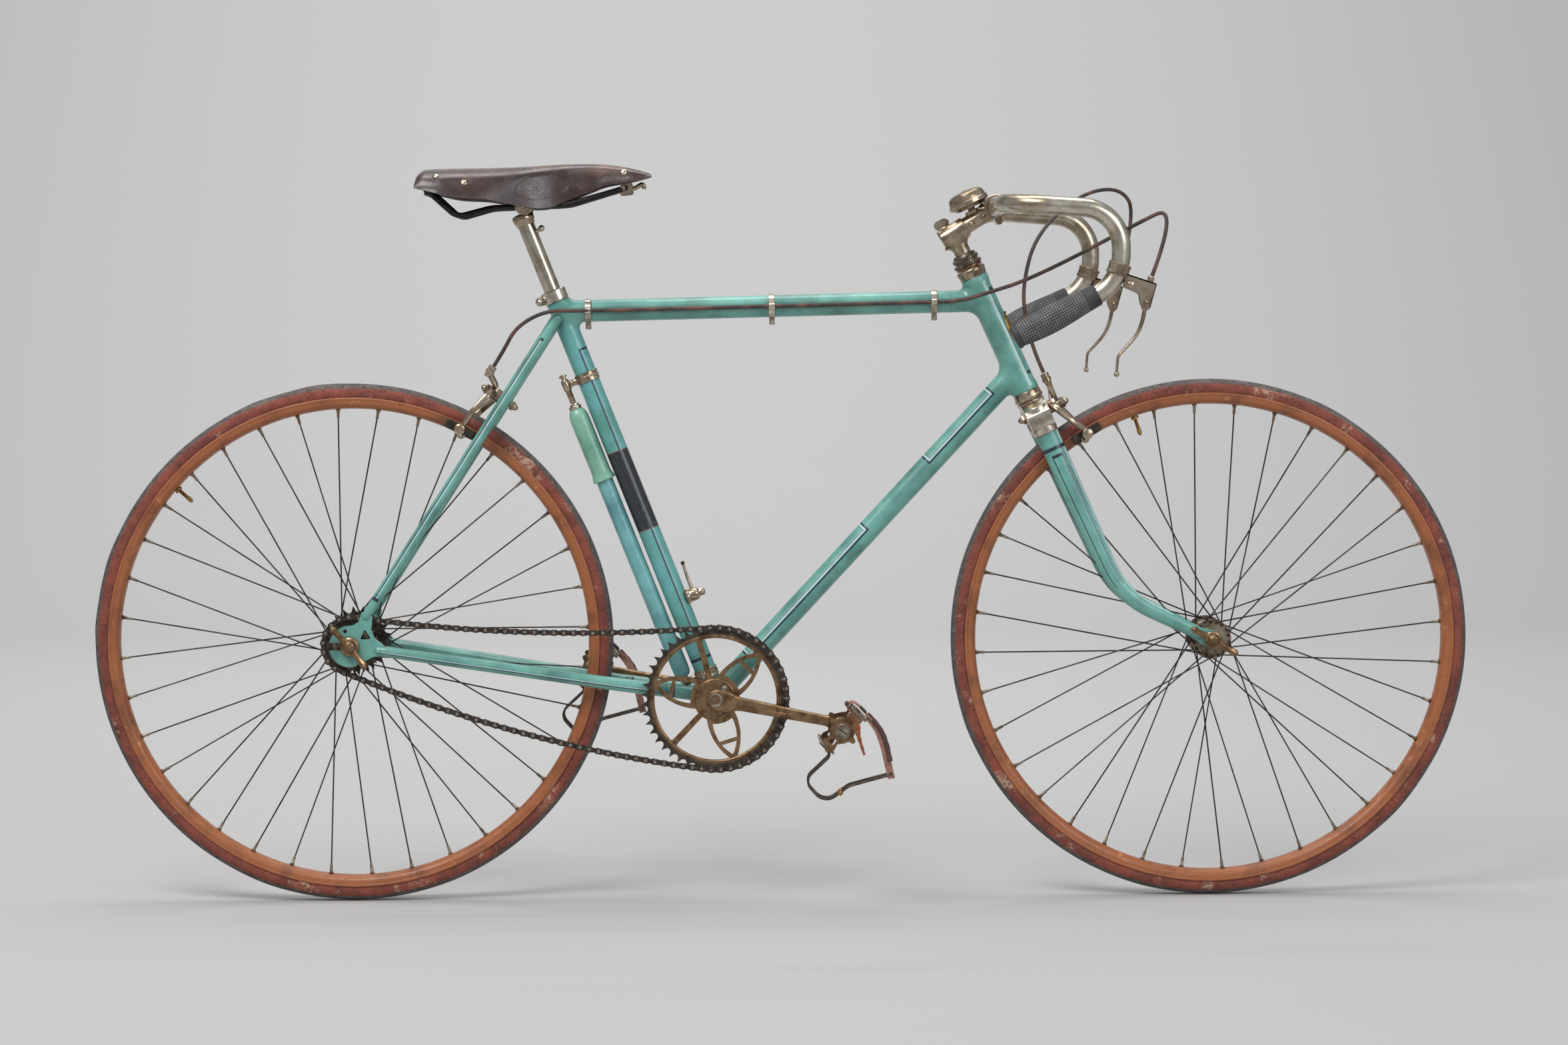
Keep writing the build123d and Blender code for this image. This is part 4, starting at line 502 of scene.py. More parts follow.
class Look:
    """A material under construction."""

    def __init__(self, name):
        self.material = bpy.data.materials.new(name)
        self.material.use_nodes = True
        self.nodes = self.material.node_tree.nodes
        self.links = self.material.node_tree.links
        self.nodes.clear()
        self.out = self.nodes.new("ShaderNodeOutputMaterial")
        self.shader = self.nodes.new("ShaderNodeBsdfPrincipled")
        self.links.new(self.shader.outputs[0], self.out.inputs["Surface"])
        coordinates = self.nodes.new("ShaderNodeTexCoord")
        self.place = coordinates.outputs["Object"]
        self.marks = coordinates.outputs["UV"]

    def put(self, socket, value):
        if hasattr(value, "is_output"):
            self.links.new(value, socket)
        else:
            socket.default_value = value

    def set(self, **values):
        for key, value in values.items():
            self.put(self.shader.inputs[key.replace("_", " ")], value)
        return self

    def math(self, op, a, b=0.0, clamp=False):
        node = self.nodes.new("ShaderNodeMath")
        node.operation = op
        node.use_clamp = clamp
        self.put(node.inputs[0], a)
        self.put(node.inputs[1], b)
        return node.outputs[0]

    def add(self, a, b):
        return self.math("ADD", a, b)

    def times(self, a, b):
        return self.math("MULTIPLY", a, b)

    def less(self, a, b):
        return self.math("SUBTRACT", a, b)

    def most(self, a, b):
        return self.math("MAXIMUM", a, b)

    def step(self, value, low, high, to_low=0.0, to_high=1.0):
        """Runs from to_low to to_high as the value runs from low to high, with soft ends."""
        node = self.nodes.new("ShaderNodeMapRange")
        node.interpolation_type = "SMOOTHSTEP"
        self.put(node.inputs["Value"], value)
        for key, number in zip(("From Min", "From Max", "To Min", "To Max"), (low, high, to_low, to_high)):
            node.inputs[key].default_value = number
        return node.outputs["Result"]

    def mix(self, share, a, b):
        node = self.nodes.new("ShaderNodeMix")
        node.data_type = "RGBA"
        self.put(node.inputs[0], share)
        self.put(node.inputs[6], a)
        self.put(node.inputs[7], b)
        return node.outputs[2]

    def stretched(self, x=1.0, y=1.0, z=1.0, source=None):
        node = self.nodes.new("ShaderNodeMapping")
        self.put(node.inputs["Vector"], source or self.place)
        node.inputs["Scale"].default_value = (x, y, z)
        return node.outputs[0]

    def noise(self, size, detail=3.0, rough=0.55, source=None, distort=0.0):
        """Noise with features about this many millimetres wide."""
        node = self.nodes.new("ShaderNodeTexNoise")
        self.put(node.inputs["Vector"], source or self.place)
        node.inputs["Scale"].default_value = 1000 / size
        node.inputs["Detail"].default_value = detail
        node.inputs["Roughness"].default_value = rough
        node.inputs["Distortion"].default_value = distort
        return node.outputs["Fac"]

    def cells(self, size, feature="F1", source=None, spread=1.0):
        node = self.nodes.new("ShaderNodeTexVoronoi")
        node.feature = feature
        self.put(node.inputs["Vector"], source or self.place)
        node.inputs["Scale"].default_value = 1000 / size
        node.inputs["Randomness"].default_value = spread
        return node.outputs["Distance"]

    def parts(self, source):
        node = self.nodes.new("ShaderNodeSeparateXYZ")
        self.put(node.inputs[0], source)
        return node.outputs

    def around(self):
        """How far round the piece, in degrees."""
        return self.times(self.parts(self.marks)[0], 100.0)

    def along(self):
        """How far along the piece, in millimetres."""
        return self.times(self.parts(self.marks)[1], 100.0)

    def window(self, value, low, high, soft):
        """One between low and high and nought outside, with edges this soft."""
        up = self.step(value, low - soft, low + soft)
        down = self.step(value, high - soft, high + soft, 1.0, 0.0)
        return self.times(up, down)

    def bump(self, height, depth, strength=1.0):
        node = self.nodes.new("ShaderNodeBump")
        node.inputs["Strength"].default_value = strength
        node.inputs["Distance"].default_value = depth * MM
        self.put(node.inputs["Height"], height)
        self.put(self.shader.inputs["Normal"], node.outputs[0])
        return self

    def hollow(self, reach):
        """One in corners where something stands near, nought in the open: the mask for painted shade in
        corners.
        """
        node = self.nodes.new("ShaderNodeAmbientOcclusion")
        node.inputs["Distance"].default_value = reach * MM
        node.samples = 4
        return self.step(node.outputs["AO"], 0.35, 0.95, 1.0, 0.0)


TEAL = srgb(110, 170, 158)
TEAL_DEEP = srgb(78, 130, 122)
NAVY = srgb(22, 42, 58)
WHITE = srgb(178, 206, 204)
RED = srgb(122, 52, 40)
RUST = srgb(96, 52, 30)
RUST_DARK = srgb(52, 32, 24)
# A dark tone for real dust patches and for painted shade in corners.
SHADE_AND_DUST = srgb(46, 42, 36)


def paint(name, stripes=(), wear=0.5, base=TEAL, deep=TEAL_DEEP):
    """Aged enamel. A stripe is (from degrees, to degrees, from mm, to mm, colour) on the marks."""
    look = Look(name)
    cloud = look.noise(60, 4)
    colour = look.mix(look.step(cloud, 0.35, 0.7), base, deep)
    fine = look.noise(4, 5, 0.65)
    if stripes:
        around, along = look.around(), look.along()
        broken = look.step(look.noise(2.2, 4, 0.6), 0.3, 0.36)
        for u0, u1, v0, v1, tone in stripes:
            mask = None
            if u0 is not None:
                mask = look.window(around, u0, u1, 0.7)
            if v0 is not None:
                other = look.window(along, v0, v1, 0.12)
                mask = look.times(mask, other) if mask else other
            colour = look.mix(look.times(mask, broken), colour, tone)
    specks = look.times(look.step(fine, 0.70 - 0.05 * wear, 0.74), look.step(look.noise(45, 3), 0.50, 0.64))
    chips = look.times(look.step(look.noise(9, 5, 0.7), 0.70 - 0.06 * wear, 0.72),
                       look.step(look.noise(70, 2), 0.5, 0.6))
    bare = look.most(specks, chips)
    # Painted shade: the paint darkens in corners where parts stand near, mixed with real dust patches.
    corner_shade = look.times(look.hollow(9), 0.55)
    dust = look.times(look.step(look.noise(16, 5, 0.7), 0.45, 0.75), 0.22)
    colour = look.mix(look.most(corner_shade, dust), colour, SHADE_AND_DUST)
    rust = look.mix(look.noise(5, 3), RUST_DARK, RUST)
    colour = look.mix(bare, colour, rust)
    look.set(Base_Color=colour, Roughness=look.add(look.step(fine, 0.3, 0.8, 0.26, 0.46),
                                                   look.times(bare, 0.4)),
             Specular_IOR_Level=0.5)
    look.set(Coat_Weight=look.times(look.less(1.0, bare), 0.35))
    look.set(Coat_Roughness=0.18)
    height = look.less(look.times(look.noise(7, 2), 0.12), bare)
    return look.bump(height, 0.12, 0.6).material


def metal(name, base, dark, rust=0.3, rough=0.3, patch=14, rust_tone=RUST, metallic=1.0, grain=0.012,
          hollow=0.5):
    """Plated or bare metal, dulled in patches and rusted in specks."""
    look = Look(name)
    patches = look.step(look.noise(patch, 5, 0.62), 0.38, 0.68)
    colour = look.mix(patches, base, dark)
    spots = look.times(look.step(look.noise(2.6, 5, 0.7), 0.66 - 0.12 * rust, 0.72 - 0.06 * rust),
                       look.step(look.noise(22, 3), 0.56 - 0.2 * rust, 0.66 - 0.1 * rust))
    # Painted shade: corners where parts stand near turn rust brown and less metallic, like the rust specks.
    corner_shade = look.times(look.hollow(5), hollow)
    brown = look.mix(look.noise(1.6, 3), RUST_DARK, rust_tone)
    colour = look.mix(look.most(spots, corner_shade), colour, brown)
    look.set(Base_Color=colour,
             Metallic=look.times(look.less(1.0, look.times(look.most(spots, corner_shade), 0.85)), metallic),
             Roughness=look.add(look.step(look.noise(14, 3, 0.5), 0.3, 0.75, rough * 0.85, rough * 1.25),
                                look.times(spots, 0.3)))
    height = look.add(look.times(look.noise(1.6, 2), 0.12), spots)
    return look.bump(height, grain, 0.35).material


def plain(name, base, other, rough=0.6, patch=12, depth=0.08, fine=1.5, hollow=0.4, sheen=0.0):
    """Rubber, leather or cloth with a patchy tone."""
    look = Look(name)
    colour = look.mix(look.step(look.noise(patch, 5, 0.6), 0.35, 0.7), base, other)
    # Painted shade: corners where parts stand near are darkened.
    colour = look.mix(look.times(look.hollow(4), hollow), colour, SHADE_AND_DUST)
    look.set(Base_Color=colour, Roughness=look.step(look.noise(fine * 2, 4), 0.3, 0.75, rough * 0.85,
                                                    min(1, rough * 1.2)))
    if sheen:
        look.set(Sheen_Weight=sheen)
    return look.bump(look.noise(fine, 4, 0.6), depth, 0.6).material


def saddle_look(name):
    """Old polished leather with scuffs, fine cracks and dark flaps."""
    look = Look(name)
    height = look.parts(look.place)[2]
    top = look.step(height, -0.024, 0.0)
    colour = look.mix(look.step(look.noise(30, 5, 0.65), 0.35, 0.7), srgb(46, 31, 29), srgb(66, 42, 36))
    worn = look.times(look.step(look.noise(38, 4, 0.6, look.stretched(0.5, 1, 1)), 0.48, 0.68), 0.75)
    colour = look.mix(look.times(worn, top), colour, srgb(112, 76, 62))
    cracks = look.step(look.cells(3.4, "DISTANCE_TO_EDGE", look.stretched(0.6, 1, 1)), 0.0, 0.07, 1.0, 0.0)
    cracks = look.times(cracks, look.step(look.noise(26, 3), 0.45, 0.62))
    scuffs = look.step(look.noise(1.8, 4, 0.7, look.stretched(0.35, 1, 1)), 0.66, 0.74)
    colour = look.mix(look.times(cracks, 0.7), colour, srgb(24, 16, 13))
    colour = look.mix(look.times(scuffs, 0.45), colour, srgb(168, 136, 108))
    look.set(Base_Color=colour, Roughness=look.step(look.noise(14, 5), 0.3, 0.75, 0.2, 0.4), Coat_Weight=0.4)
    look.set(Coat_Roughness=0.28)
    relief = look.less(look.times(look.noise(5, 4), 0.5), look.times(cracks, 0.9))
    return look.bump(relief, 0.35, 0.5).material


TYRE_TREAD_EDGE = 58.0


def tyre_look(name):
    """Brick red sides, cracked and faded in patches, with a grey tread. Marks go round the section."""
    look = Look(name)
    around = look.around()
    off = look.math("ABSOLUTE", look.less(around, 180.0))
    wave = look.times(look.less(look.noise(30, 3), 0.5), 14.0)
    tread = look.step(look.add(off, wave), TYRE_TREAD_EDGE - 4, TYRE_TREAD_EDGE + 4, 1.0, 0.0)
    red = look.mix(look.step(look.noise(24, 5, 0.62), 0.36, 0.68), srgb(136, 68, 52), srgb(104, 52, 42))
    pale = look.times(look.step(look.noise(46, 5, 0.7), 0.56, 0.66), look.step(look.noise(5, 4), 0.3, 0.6))
    red = look.mix(look.times(pale, 0.75), red, srgb(196, 166, 140))
    grey = look.mix(look.step(look.noise(9, 5, 0.65), 0.35, 0.7), srgb(72, 66, 64), srgb(104, 96, 92))
    colour = look.mix(tread, red, grey)
    marks = look.stretched(1.0, 1.0, 1.0)
    cracks = look.step(look.cells(5.5, "DISTANCE_TO_EDGE", marks), 0.0, 0.06, 1.0, 0.0)
    cracks = look.times(cracks, look.step(look.noise(18, 3), 0.42, 0.6))
    colour = look.mix(look.times(cracks, 0.8), colour, srgb(44, 26, 22))
    dirt = look.times(look.step(look.noise(3.2, 5, 0.7), 0.56, 0.72), 0.5)
    colour = look.mix(dirt, colour, srgb(60, 46, 40))
    look.set(Base_Color=colour, Roughness=look.step(look.noise(4, 3), 0.3, 0.7, 0.62, 0.85))
    relief = look.less(look.noise(2.2, 5, 0.65), look.times(cracks, 0.8))
    return look.bump(relief, 0.35, 0.6).material


def wood_look(name):
    """Varnished wooden hoop: grain along the hoop, dark joints and stained edges. Marks run along."""
    look = Look(name)
    grain = look.noise(90, 6, 0.65, look.stretched(0.9, 30.0, 0.06, look.marks), 0.3)
    colour = look.mix(look.step(grain, 0.35, 0.68), srgb(172, 102, 56), srgb(128, 70, 38))
    stain = look.step(look.noise(40, 5, 0.6), 0.46, 0.7)
    colour = look.mix(look.times(stain, 0.6), colour, srgb(86, 46, 26))
    pale = look.step(look.noise(15, 4, 0.6), 0.6, 0.74)
    colour = look.mix(look.times(pale, 0.5), colour, srgb(206, 150, 96))
    specks = look.step(look.noise(2.2, 5, 0.7), 0.64, 0.72)
    colour = look.mix(look.times(specks, 0.7), colour, srgb(52, 32, 22))
    look.set(Base_Color=colour, Roughness=look.step(look.noise(8, 4), 0.3, 0.7, 0.34, 0.6), Coat_Weight=0.2)
    look.set(Coat_Roughness=0.3)
    return look.bump(look.add(grain, look.times(specks, 0.5)), 0.12, 0.5).material


def cable_look(name):
    """A cloth-covered cable: a woven spiral, browned in places."""
    look = Look(name)
    around, along = look.around(), look.along()
    turn = look.add(look.times(around, 1 / 360), look.times(along, 0.55))
    weave = look.math("PINGPONG", turn, 0.5)
    other = look.math("PINGPONG", look.less(look.times(around, 1 / 360), look.times(along, 0.55)), 0.5)
    woven = look.most(weave, other)
    colour = look.mix(look.step(look.noise(26, 4), 0.42, 0.66), srgb(62, 54, 50), srgb(112, 80, 66))
    colour = look.mix(look.step(woven, 0.25, 0.5, 0.35, 0.0), colour, srgb(24, 21, 20))
    look.set(Base_Color=colour, Roughness=0.7)
    return look.bump(woven, 0.25, 0.6).material


def chain_look(name, base, dark, rough):
    look = Look(name)
    colour = look.mix(look.step(look.noise(3.2, 5, 0.6), 0.35, 0.68), base, dark)
    # Painted shade: near black in the corners between plates, rollers and pins.
    colour = look.mix(look.times(look.hollow(3), 0.75), colour, srgb(22, 17, 14))
    look.set(Base_Color=colour, Metallic=0.75, Roughness=look.step(look.noise(2, 4), 0.3, 0.7, rough,
                                                                   rough * 1.6))
    return look.bump(look.noise(1.0, 4), 0.06, 0.5).material


PAINT = paint("celeste_paint")
PUMP_PAINT = paint("pump_paint", base=srgb(112, 172, 172), deep=srgb(78, 132, 138), wear=0.7)
HANDLE_PAINT = paint("pump_handle_paint", base=srgb(130, 180, 158), deep=srgb(98, 148, 128), wear=0.4)
NICKEL = metal("worn_nickel", srgb(212, 204, 190), srgb(164, 150, 130), 0.0, 0.24)
BAR_NICKEL = metal("bar_nickel", srgb(206, 198, 182), srgb(158, 144, 120), 0.05, 0.26, patch=34)
NICKEL_WARM = metal("browned_nickel", srgb(188, 172, 150), srgb(134, 114, 92), 0.0, 0.24, patch=22)
NICKEL_DULL = metal("dull_nickel", srgb(168, 158, 142), srgb(104, 94, 80), 0.3, 0.34)
NICKEL_RUSTY = metal("rusted_nickel", srgb(150, 138, 122), srgb(92, 76, 62), 0.9, 0.42)
POST_NICKEL = metal("post_nickel", srgb(196, 186, 168), srgb(120, 108, 92), 0.1, 0.2, patch=40)
LOCK_RING = metal("lock_ring_steel", srgb(132, 124, 112), srgb(84, 76, 66), 0.2, 0.34)
RED_PLATE = metal("reddish_plate", srgb(150, 112, 92), srgb(104, 72, 60), 0.3, 0.36)
DROPOUT_PAINT = paint("dropout_paint", wear=1.6)
BRONZE = metal("brown_plate", srgb(150, 122, 92), srgb(96, 74, 54), 0.55, 0.36)
BRASS = metal("brass", srgb(184, 146, 88), srgb(120, 90, 52), 0.3, 0.32)
DARK = metal("dark_steel", srgb(92, 84, 76), srgb(52, 46, 42), 0.6, 0.42)
BLACK = metal("black_steel", srgb(44, 40, 40), srgb(24, 22, 22), 0.35, 0.46, metallic=0.6)
SPOKE_STEEL = metal("spoke_steel", srgb(74, 70, 68), srgb(38, 35, 34), 0.4, 0.34, patch=30)
LEATHER = saddle_look("saddle_leather")
STRAP = plain("strap_leather", srgb(168, 124, 108), srgb(128, 88, 76), 0.62, 9, 0.16, 1.2)
# Dark tone of the strap's second ply: painted shade of the strap's shaded edge.
STRAP_SHADED_PLY = plain("strap_shaded_ply", srgb(84, 58, 56), srgb(58, 40, 40), 0.6, 9, 0.16, 1.2)
TONGUE = plain("strap_tongue", srgb(178, 98, 58), srgb(112, 58, 38), 0.7, 8, 0.2, 1.2)
GRIP = plain("grip_rubber", srgb(44, 44, 46), srgb(62, 61, 62), 0.6, 14, 0.06, 1.1)
GRIP_LINE = plain("grip_ribs", srgb(104, 104, 104), srgb(132, 130, 126), 0.6, 14, 0.04, 1.1)
PAD = plain("pad_rubber", srgb(58, 50, 48), srgb(84, 62, 54), 0.8, 6, 0.1, 1.0)
TYRE = tyre_look("tyre_rubber")
WOOD = wood_look("rim_wood")
CABLE = cable_look("cable_cloth")
CHAIN_DARK = chain_look("chain_plates", srgb(84, 76, 70), srgb(42, 36, 34), 0.34)
CHAIN_PIN = chain_look("chain_pins", srgb(158, 148, 136), srgb(104, 94, 84), 0.3)

SLOT_LOOKS = {
    "celeste_paint": PAINT, "pump_paint": PUMP_PAINT, "nickel": NICKEL, "bronze_plate": BRONZE,
    "dark_steel": DARK, "black_steel": BLACK, "saddle_leather": LEATHER, "strap_leather": STRAP,
    "grip_rubber": GRIP, "pad_rubber": PAD, "tyre": TYRE, "rim_wood": WOOD, "cable_cover": CABLE,
}


# Wheels

TYRE_D = 28.0
RIM_WIDTH = 30.0
RIM_DEPTH = 15.0
RIM_BED_GAP = 0.3
SPOKES = 36
SPOKE_D = 2.0
NIPPLE_D = 4.2
NIPPLE_LENGTH = 12.0
SPOKE_CIRCLE_R = 23.0
SPOKE_LEAN_ROOM = 1.4
FLANGE_R = 26.0
FLANGE_THICK = 3.2
FLANGE_Y = 32.0
HUB_BARREL_R = 12.0
HUB_CAP_R = 13.5
VALVE_D = 6.0
VALVE_LENGTH = 26.0
SEAT_GAP = 0.3
TYRE_CENTRE_R = WHEEL_R - TYRE_D / 2
TYRE_BED_R = TYRE_D / 2 + RIM_BED_GAP
RIM_LIP_Y = min(RIM_WIDTH / 2 - 1.5, 0.96 * TYRE_BED_R)
RIM_LIP_R = TYRE_CENTRE_R - math.sqrt(TYRE_BED_R**2 - RIM_LIP_Y**2)
RIM_INNER_R = RIM_LIP_R - RIM_DEPTH


def wheel_out(angle):
    return V(cosd(angle), 0, sind(angle))


def waves(seed, count, reach):
    """A gentle random line round a wheel: a function of the angle in degrees."""
    pick = random.Random(seed)
    terms = [(pick.uniform(0.4, 1.0) / (1 + 0.12 * n), n, pick.uniform(0, 360)) for n in range(2, 2 + count)]
    total = sum(t[0] for t in terms)
    return lambda angle: reach * sum(a * sind(n * angle + p) for a, n, p in terms) / total * 2


def tyre(name, centre, body, node, seed, lumps):
    """A glued-on tyre: a little uneven, with lumps where the casing has drawn up, and fine ribs."""
    build = Build()
    steps, sides = 288, 40
    sway, swell = waves(seed, 14, 0.5), waves(seed + 1, 22, 0.35)
    rows = []
    for k in range(steps):
        angle = 360 * k / steps
        out = wheel_out(angle)
        lump = sum(h * math.exp(-(((angle - a + 180) % 360 - 180) / w) ** 2) for a, h, w in lumps)
        row = []
        for j in range(sides):
            turn = 360 * j / sides
            off = abs(turn - 180)
            rib = 0.35 if off <= 45 and j % 2 else 0.0
            flat = -0.9 * smooth(1 - off / 40)
            r = TYRE_D / 2 + swell(angle) + lump * smooth(1 - off / 150) - rib + flat - 0.35
            middle = centre + out * (TYRE_CENTRE_R + 0.15) + Y_AXIS * sway(angle) * 0.6
            row.append(middle - out * (r * cosd(turn)) + Y_AXIS * (r * sind(turn)))
        rows.append(row)
    around = turns(sides)
    along = [2 * math.pi * WHEEL_R * k / steps for k in range(steps + 1)]
    build.grid(rows, around, along, looped=True)
    return piece(name, build, TYRE, body, [node], sharp=0)


def rim(name, centre, body, node):
    """A wooden hoop with a hollow bed, soft edges and a shallow bead line near each edge."""
    half = RIM_WIDTH / 2
    bed = [(TYRE_CENTRE_R - TYRE_BED_R * cosd(a), TYRE_BED_R * sind(a)) for a in range(-70, 71, 14)]
    side = [(RIM_LIP_R - 0.2, half - 0.6), (RIM_LIP_R - 1.4, half), (RIM_LIP_R - 3.4, half - 0.15),
            (RIM_LIP_R - 3.9, half - 0.75), (RIM_LIP_R - 4.5, half - 0.45)]
    inner = []
    inner_end_r, inner_end_y = RIM_LIP_R - 5.2, half - 0.7
    for k in range(0, 11):
        angle = 90 * k / 10
        inner.append((inner_end_r - (inner_end_r - RIM_INNER_R) * sind(angle) ** 0.9,
                      inner_end_y * cosd(angle) ** 0.8
                      if k < 10 else 0.0))
    right = side + inner
    section = bed + right + [(r, -y) for r, y in reversed(right[:-1])]
    build = Build()
    steps = 216
    rows = [[centre + wheel_out(360 * k / steps) * r + Y_AXIS * y for r, y in section] for k in range(steps)]
    marks = [360 * j / len(section) for j in range(len(section) + 1)]
    along = [2 * math.pi * WHEEL_R * k / steps for k in range(steps + 1)]
    build.grid(rows, marks, along, looped=True)
    return piece(name, build, WOOD, body, [node], sharp=50)


def nipple(build, start, end, slot):
    """A squared nipple that swells to a collar at the rim."""
    axis = (end - start).normalized()
    length = (end - start).length
    r = NIPPLE_D / 2
    profile = [(0, r * 0.62), (0.5, r * 0.8), (1.2, r * 0.86), (length - 3.4, r * 0.92),
               (length - 2.8, r * 1.15),
               (length - 0.6, r * 1.25), (length, r * 1.1)]
    build.lathe(start, axis, profile, 10, slot)


def spokes(name, centre, body, node, valve_angle):
    """Round spokes laced three-cross, each with its bend and head in the flange, and its nipple."""
    build = Build()
    per_side = SPOKES // 2
    step = 360 / per_side
    stand_off = FLANGE_THICK / 2 + SPOKE_D / 2 + SEAT_GAP
    for side in (-1, 1):
        first = valve_angle + step / 4 + (0 if side < 0 else step / 2)
        for lean in (-1, 1):
            hub_angle = first + (0 if lean < 0 else step)
            hub_y = side * (FLANGE_Y - lean * stand_off + (SPOKE_LEAN_ROOM if lean < 0 else 0))
            for k in range(per_side // 2):
                at_hub = hub_angle + k * 2 * step
                at_rim = at_hub + lean * 3 * step
                start = centre + wheel_out(at_hub) * SPOKE_CIRCLE_R + Y_AXIS * hub_y
                end = centre + wheel_out(at_rim) * (RIM_INNER_R - SEAT_GAP) + Y_AXIS * (side * 2.5)
                axis = (end - start).normalized()
                far = side * FLANGE_Y + (side * FLANGE_Y - hub_y) * 1.05
                head = V(start.x, far, start.z) - axis * 0.4
                path = arc_path([head, start, end - axis * (NIPPLE_LENGTH - 1)], 1.7, 30)
                build.tube(path, SPOKE_D / 2 * 0.95, 8)
                build.ball(head, 1.9, 0, 8, Y_AXIS)
                nipple(build, end - axis * NIPPLE_LENGTH, end, 1)
                build.lathe(end - axis * 0.3, axis, [(0, 1.6), (0, 3.6), (0.5, 3.6), (0.9, 2.4)], 12, 1)
    return piece(name, build, [SPOKE_STEEL, NICKEL_RUSTY], body, [node], sharp=50)


def valve(name, centre, body, node, angle):
    """Threaded stem, round nut at the rim and a dust cap."""
    build = Build()
    out = wheel_out(angle)
    rim_r = RIM_INNER_R - SEAT_GAP
    tip = centre + out * (rim_r - VALVE_LENGTH)
    r = VALVE_D / 2
    profile = [(0, r * 0.3), (0.2, r * 0.6), (2.2, r * 0.7), (2.6, r), (9, r), (9.2, r * 0.8)]
    for k in range(14):
        profile += [(9.4 + 0.9 * k, r * 0.72), (9.85 + 0.9 * k, r * 0.86)]
    profile += [(22.2, r * 0.8), (22.2, r * 1.5), (22.8, r * 1.75), (24.8, r * 1.75), (25.4, r * 1.5),
                (26, r * 1.5)]
    build.lathe(tip, out, profile, 16)
    return piece(name, build, BRASS, body, [node], sharp=30)


def hub(name, centre, body, node, barrel_end, oiler_angle):
    """Turned hub shell with dished flanges, a spring clip over its oil hole, and dust caps."""
    build = Build()
    t = FLANGE_THICK / 2
    half = [(0, HUB_BARREL_R + 0.6), (2.5, HUB_BARREL_R + 0.6), (3, HUB_BARREL_R), (14, HUB_BARREL_R),
            (22, HUB_BARREL_R + 0.5), (FLANGE_Y - t - 4, HUB_BARREL_R + 2.4),
            (FLANGE_Y - t - 1.2, HUB_BARREL_R + 6),
            (FLANGE_Y - t, FLANGE_R - 5.5), (FLANGE_Y - t, FLANGE_R - 0.5), (FLANGE_Y - t + 0.5, FLANGE_R),
            (FLANGE_Y + t - 0.5, FLANGE_R), (FLANGE_Y + t, FLANGE_R - 0.5), (FLANGE_Y + t, HUB_CAP_R + 3),
            (FLANGE_Y + t + 0.6, HUB_CAP_R + 0.6), (FLANGE_Y + t + 1.6, HUB_CAP_R)]
    end = [(barrel_end - 3.2, HUB_CAP_R), (barrel_end - 3, HUB_CAP_R - 0.8),
           (barrel_end - 2.4, HUB_CAP_R - 0.8),
           (barrel_end - 2.2, HUB_CAP_R), (barrel_end - 1, HUB_CAP_R - 0.4), (barrel_end, HUB_CAP_R - 4),
           (barrel_end - 1.2, 6.4), (barrel_end - 2, 5.2)]
    right = half + end
    build.lathe(centre, Y_AXIS, [(-a, r) for a, r in reversed(right[1:])] + right, 48)
    out = wheel_out(oiler_angle)
    build.lathe(centre + out * (HUB_BARREL_R + 0.2), out, [(0, 2.6), (1.6, 2.6), (2.2, 2.0), (2.4, 0.8)], 14)
    return piece(name, build, NICKEL_DULL if body == "rear_wheel" else NICKEL_RUSTY, body, [node],
                 sharp=35)


def make_wheels():
    front_lumps = [(62, 0.8, 5), (200, 0.7, 4), (318, 0.9, 6)]
    rear_lumps = [(98, 1.3, 5), (112, 0.9, 4), (160, 1.2, 5), (176, 1.0, 3), (250, 0.7, 6)]
    tyre("front_tyre_form", FRONT_AXLE, "front_wheel", "front_tyre", 5, front_lumps)
    tyre("rear_tyre_form", REAR_AXLE, "rear_wheel", "rear_tyre", 11, rear_lumps)
    for end, centre, valve_angle, barrel_end in (("front", FRONT_AXLE, 108.5, 40),
                                                 ("rear", REAR_AXLE, 138.5, 51.5)):
        body = end + "_wheel"
        rim(end + "_rim_form", centre, body, end + "_rim")
        spokes(end + "_spokes_form", centre, body, end + "_spokes", valve_angle)
        valve(end + "_valve_form", centre, body, end + "_valve", valve_angle)
        hub(end + "_hub_form", centre, body, end + "_hub", barrel_end, 60)


# Frame: brazed tubes, with painted panels outlined in navy, white and a fine line

FAR = V(0, 1, 0)
HEAD_FROM, HEAD_TO = 394.0, 557.0
TOP_TUBE_ON_SEAT, TOP_TUBE_ON_HEAD = 542.0, 524.0
DOWN_TUBE_ON_HEAD = 424.0
SEAT_TUBE_TOP = 571.0
FILLET = 11.0
TOP_TUBE_START = seat_point(0, 0, TOP_TUBE_ON_SEAT)
TOP_TUBE_END = steer_point(0, 0, TOP_TUBE_ON_HEAD)
DOWN_TUBE_END = steer_point(0, 0, DOWN_TUBE_ON_HEAD)
BB_SHELL_R = 20.0
BB_SHELL_HALF = 34.0
DROPOUT_IN, DROPOUT_THICK = 57.5, 6.0
DROPOUT_Y = DROPOUT_IN + DROPOUT_THICK / 2
CHAIN_STAY_START = BB + V(-16, 20, 3)
CHAIN_STAY_BEND = V(345, 28.5, 285)
CHAIN_STAY_TIP = V(31, DROPOUT_Y, 335)
SEAT_STAY_TOP = seat_point(-7, TUBE_D / 2 + 4.5, 536)
SEAT_STAY_TIP = V(18, DROPOUT_Y, 374)


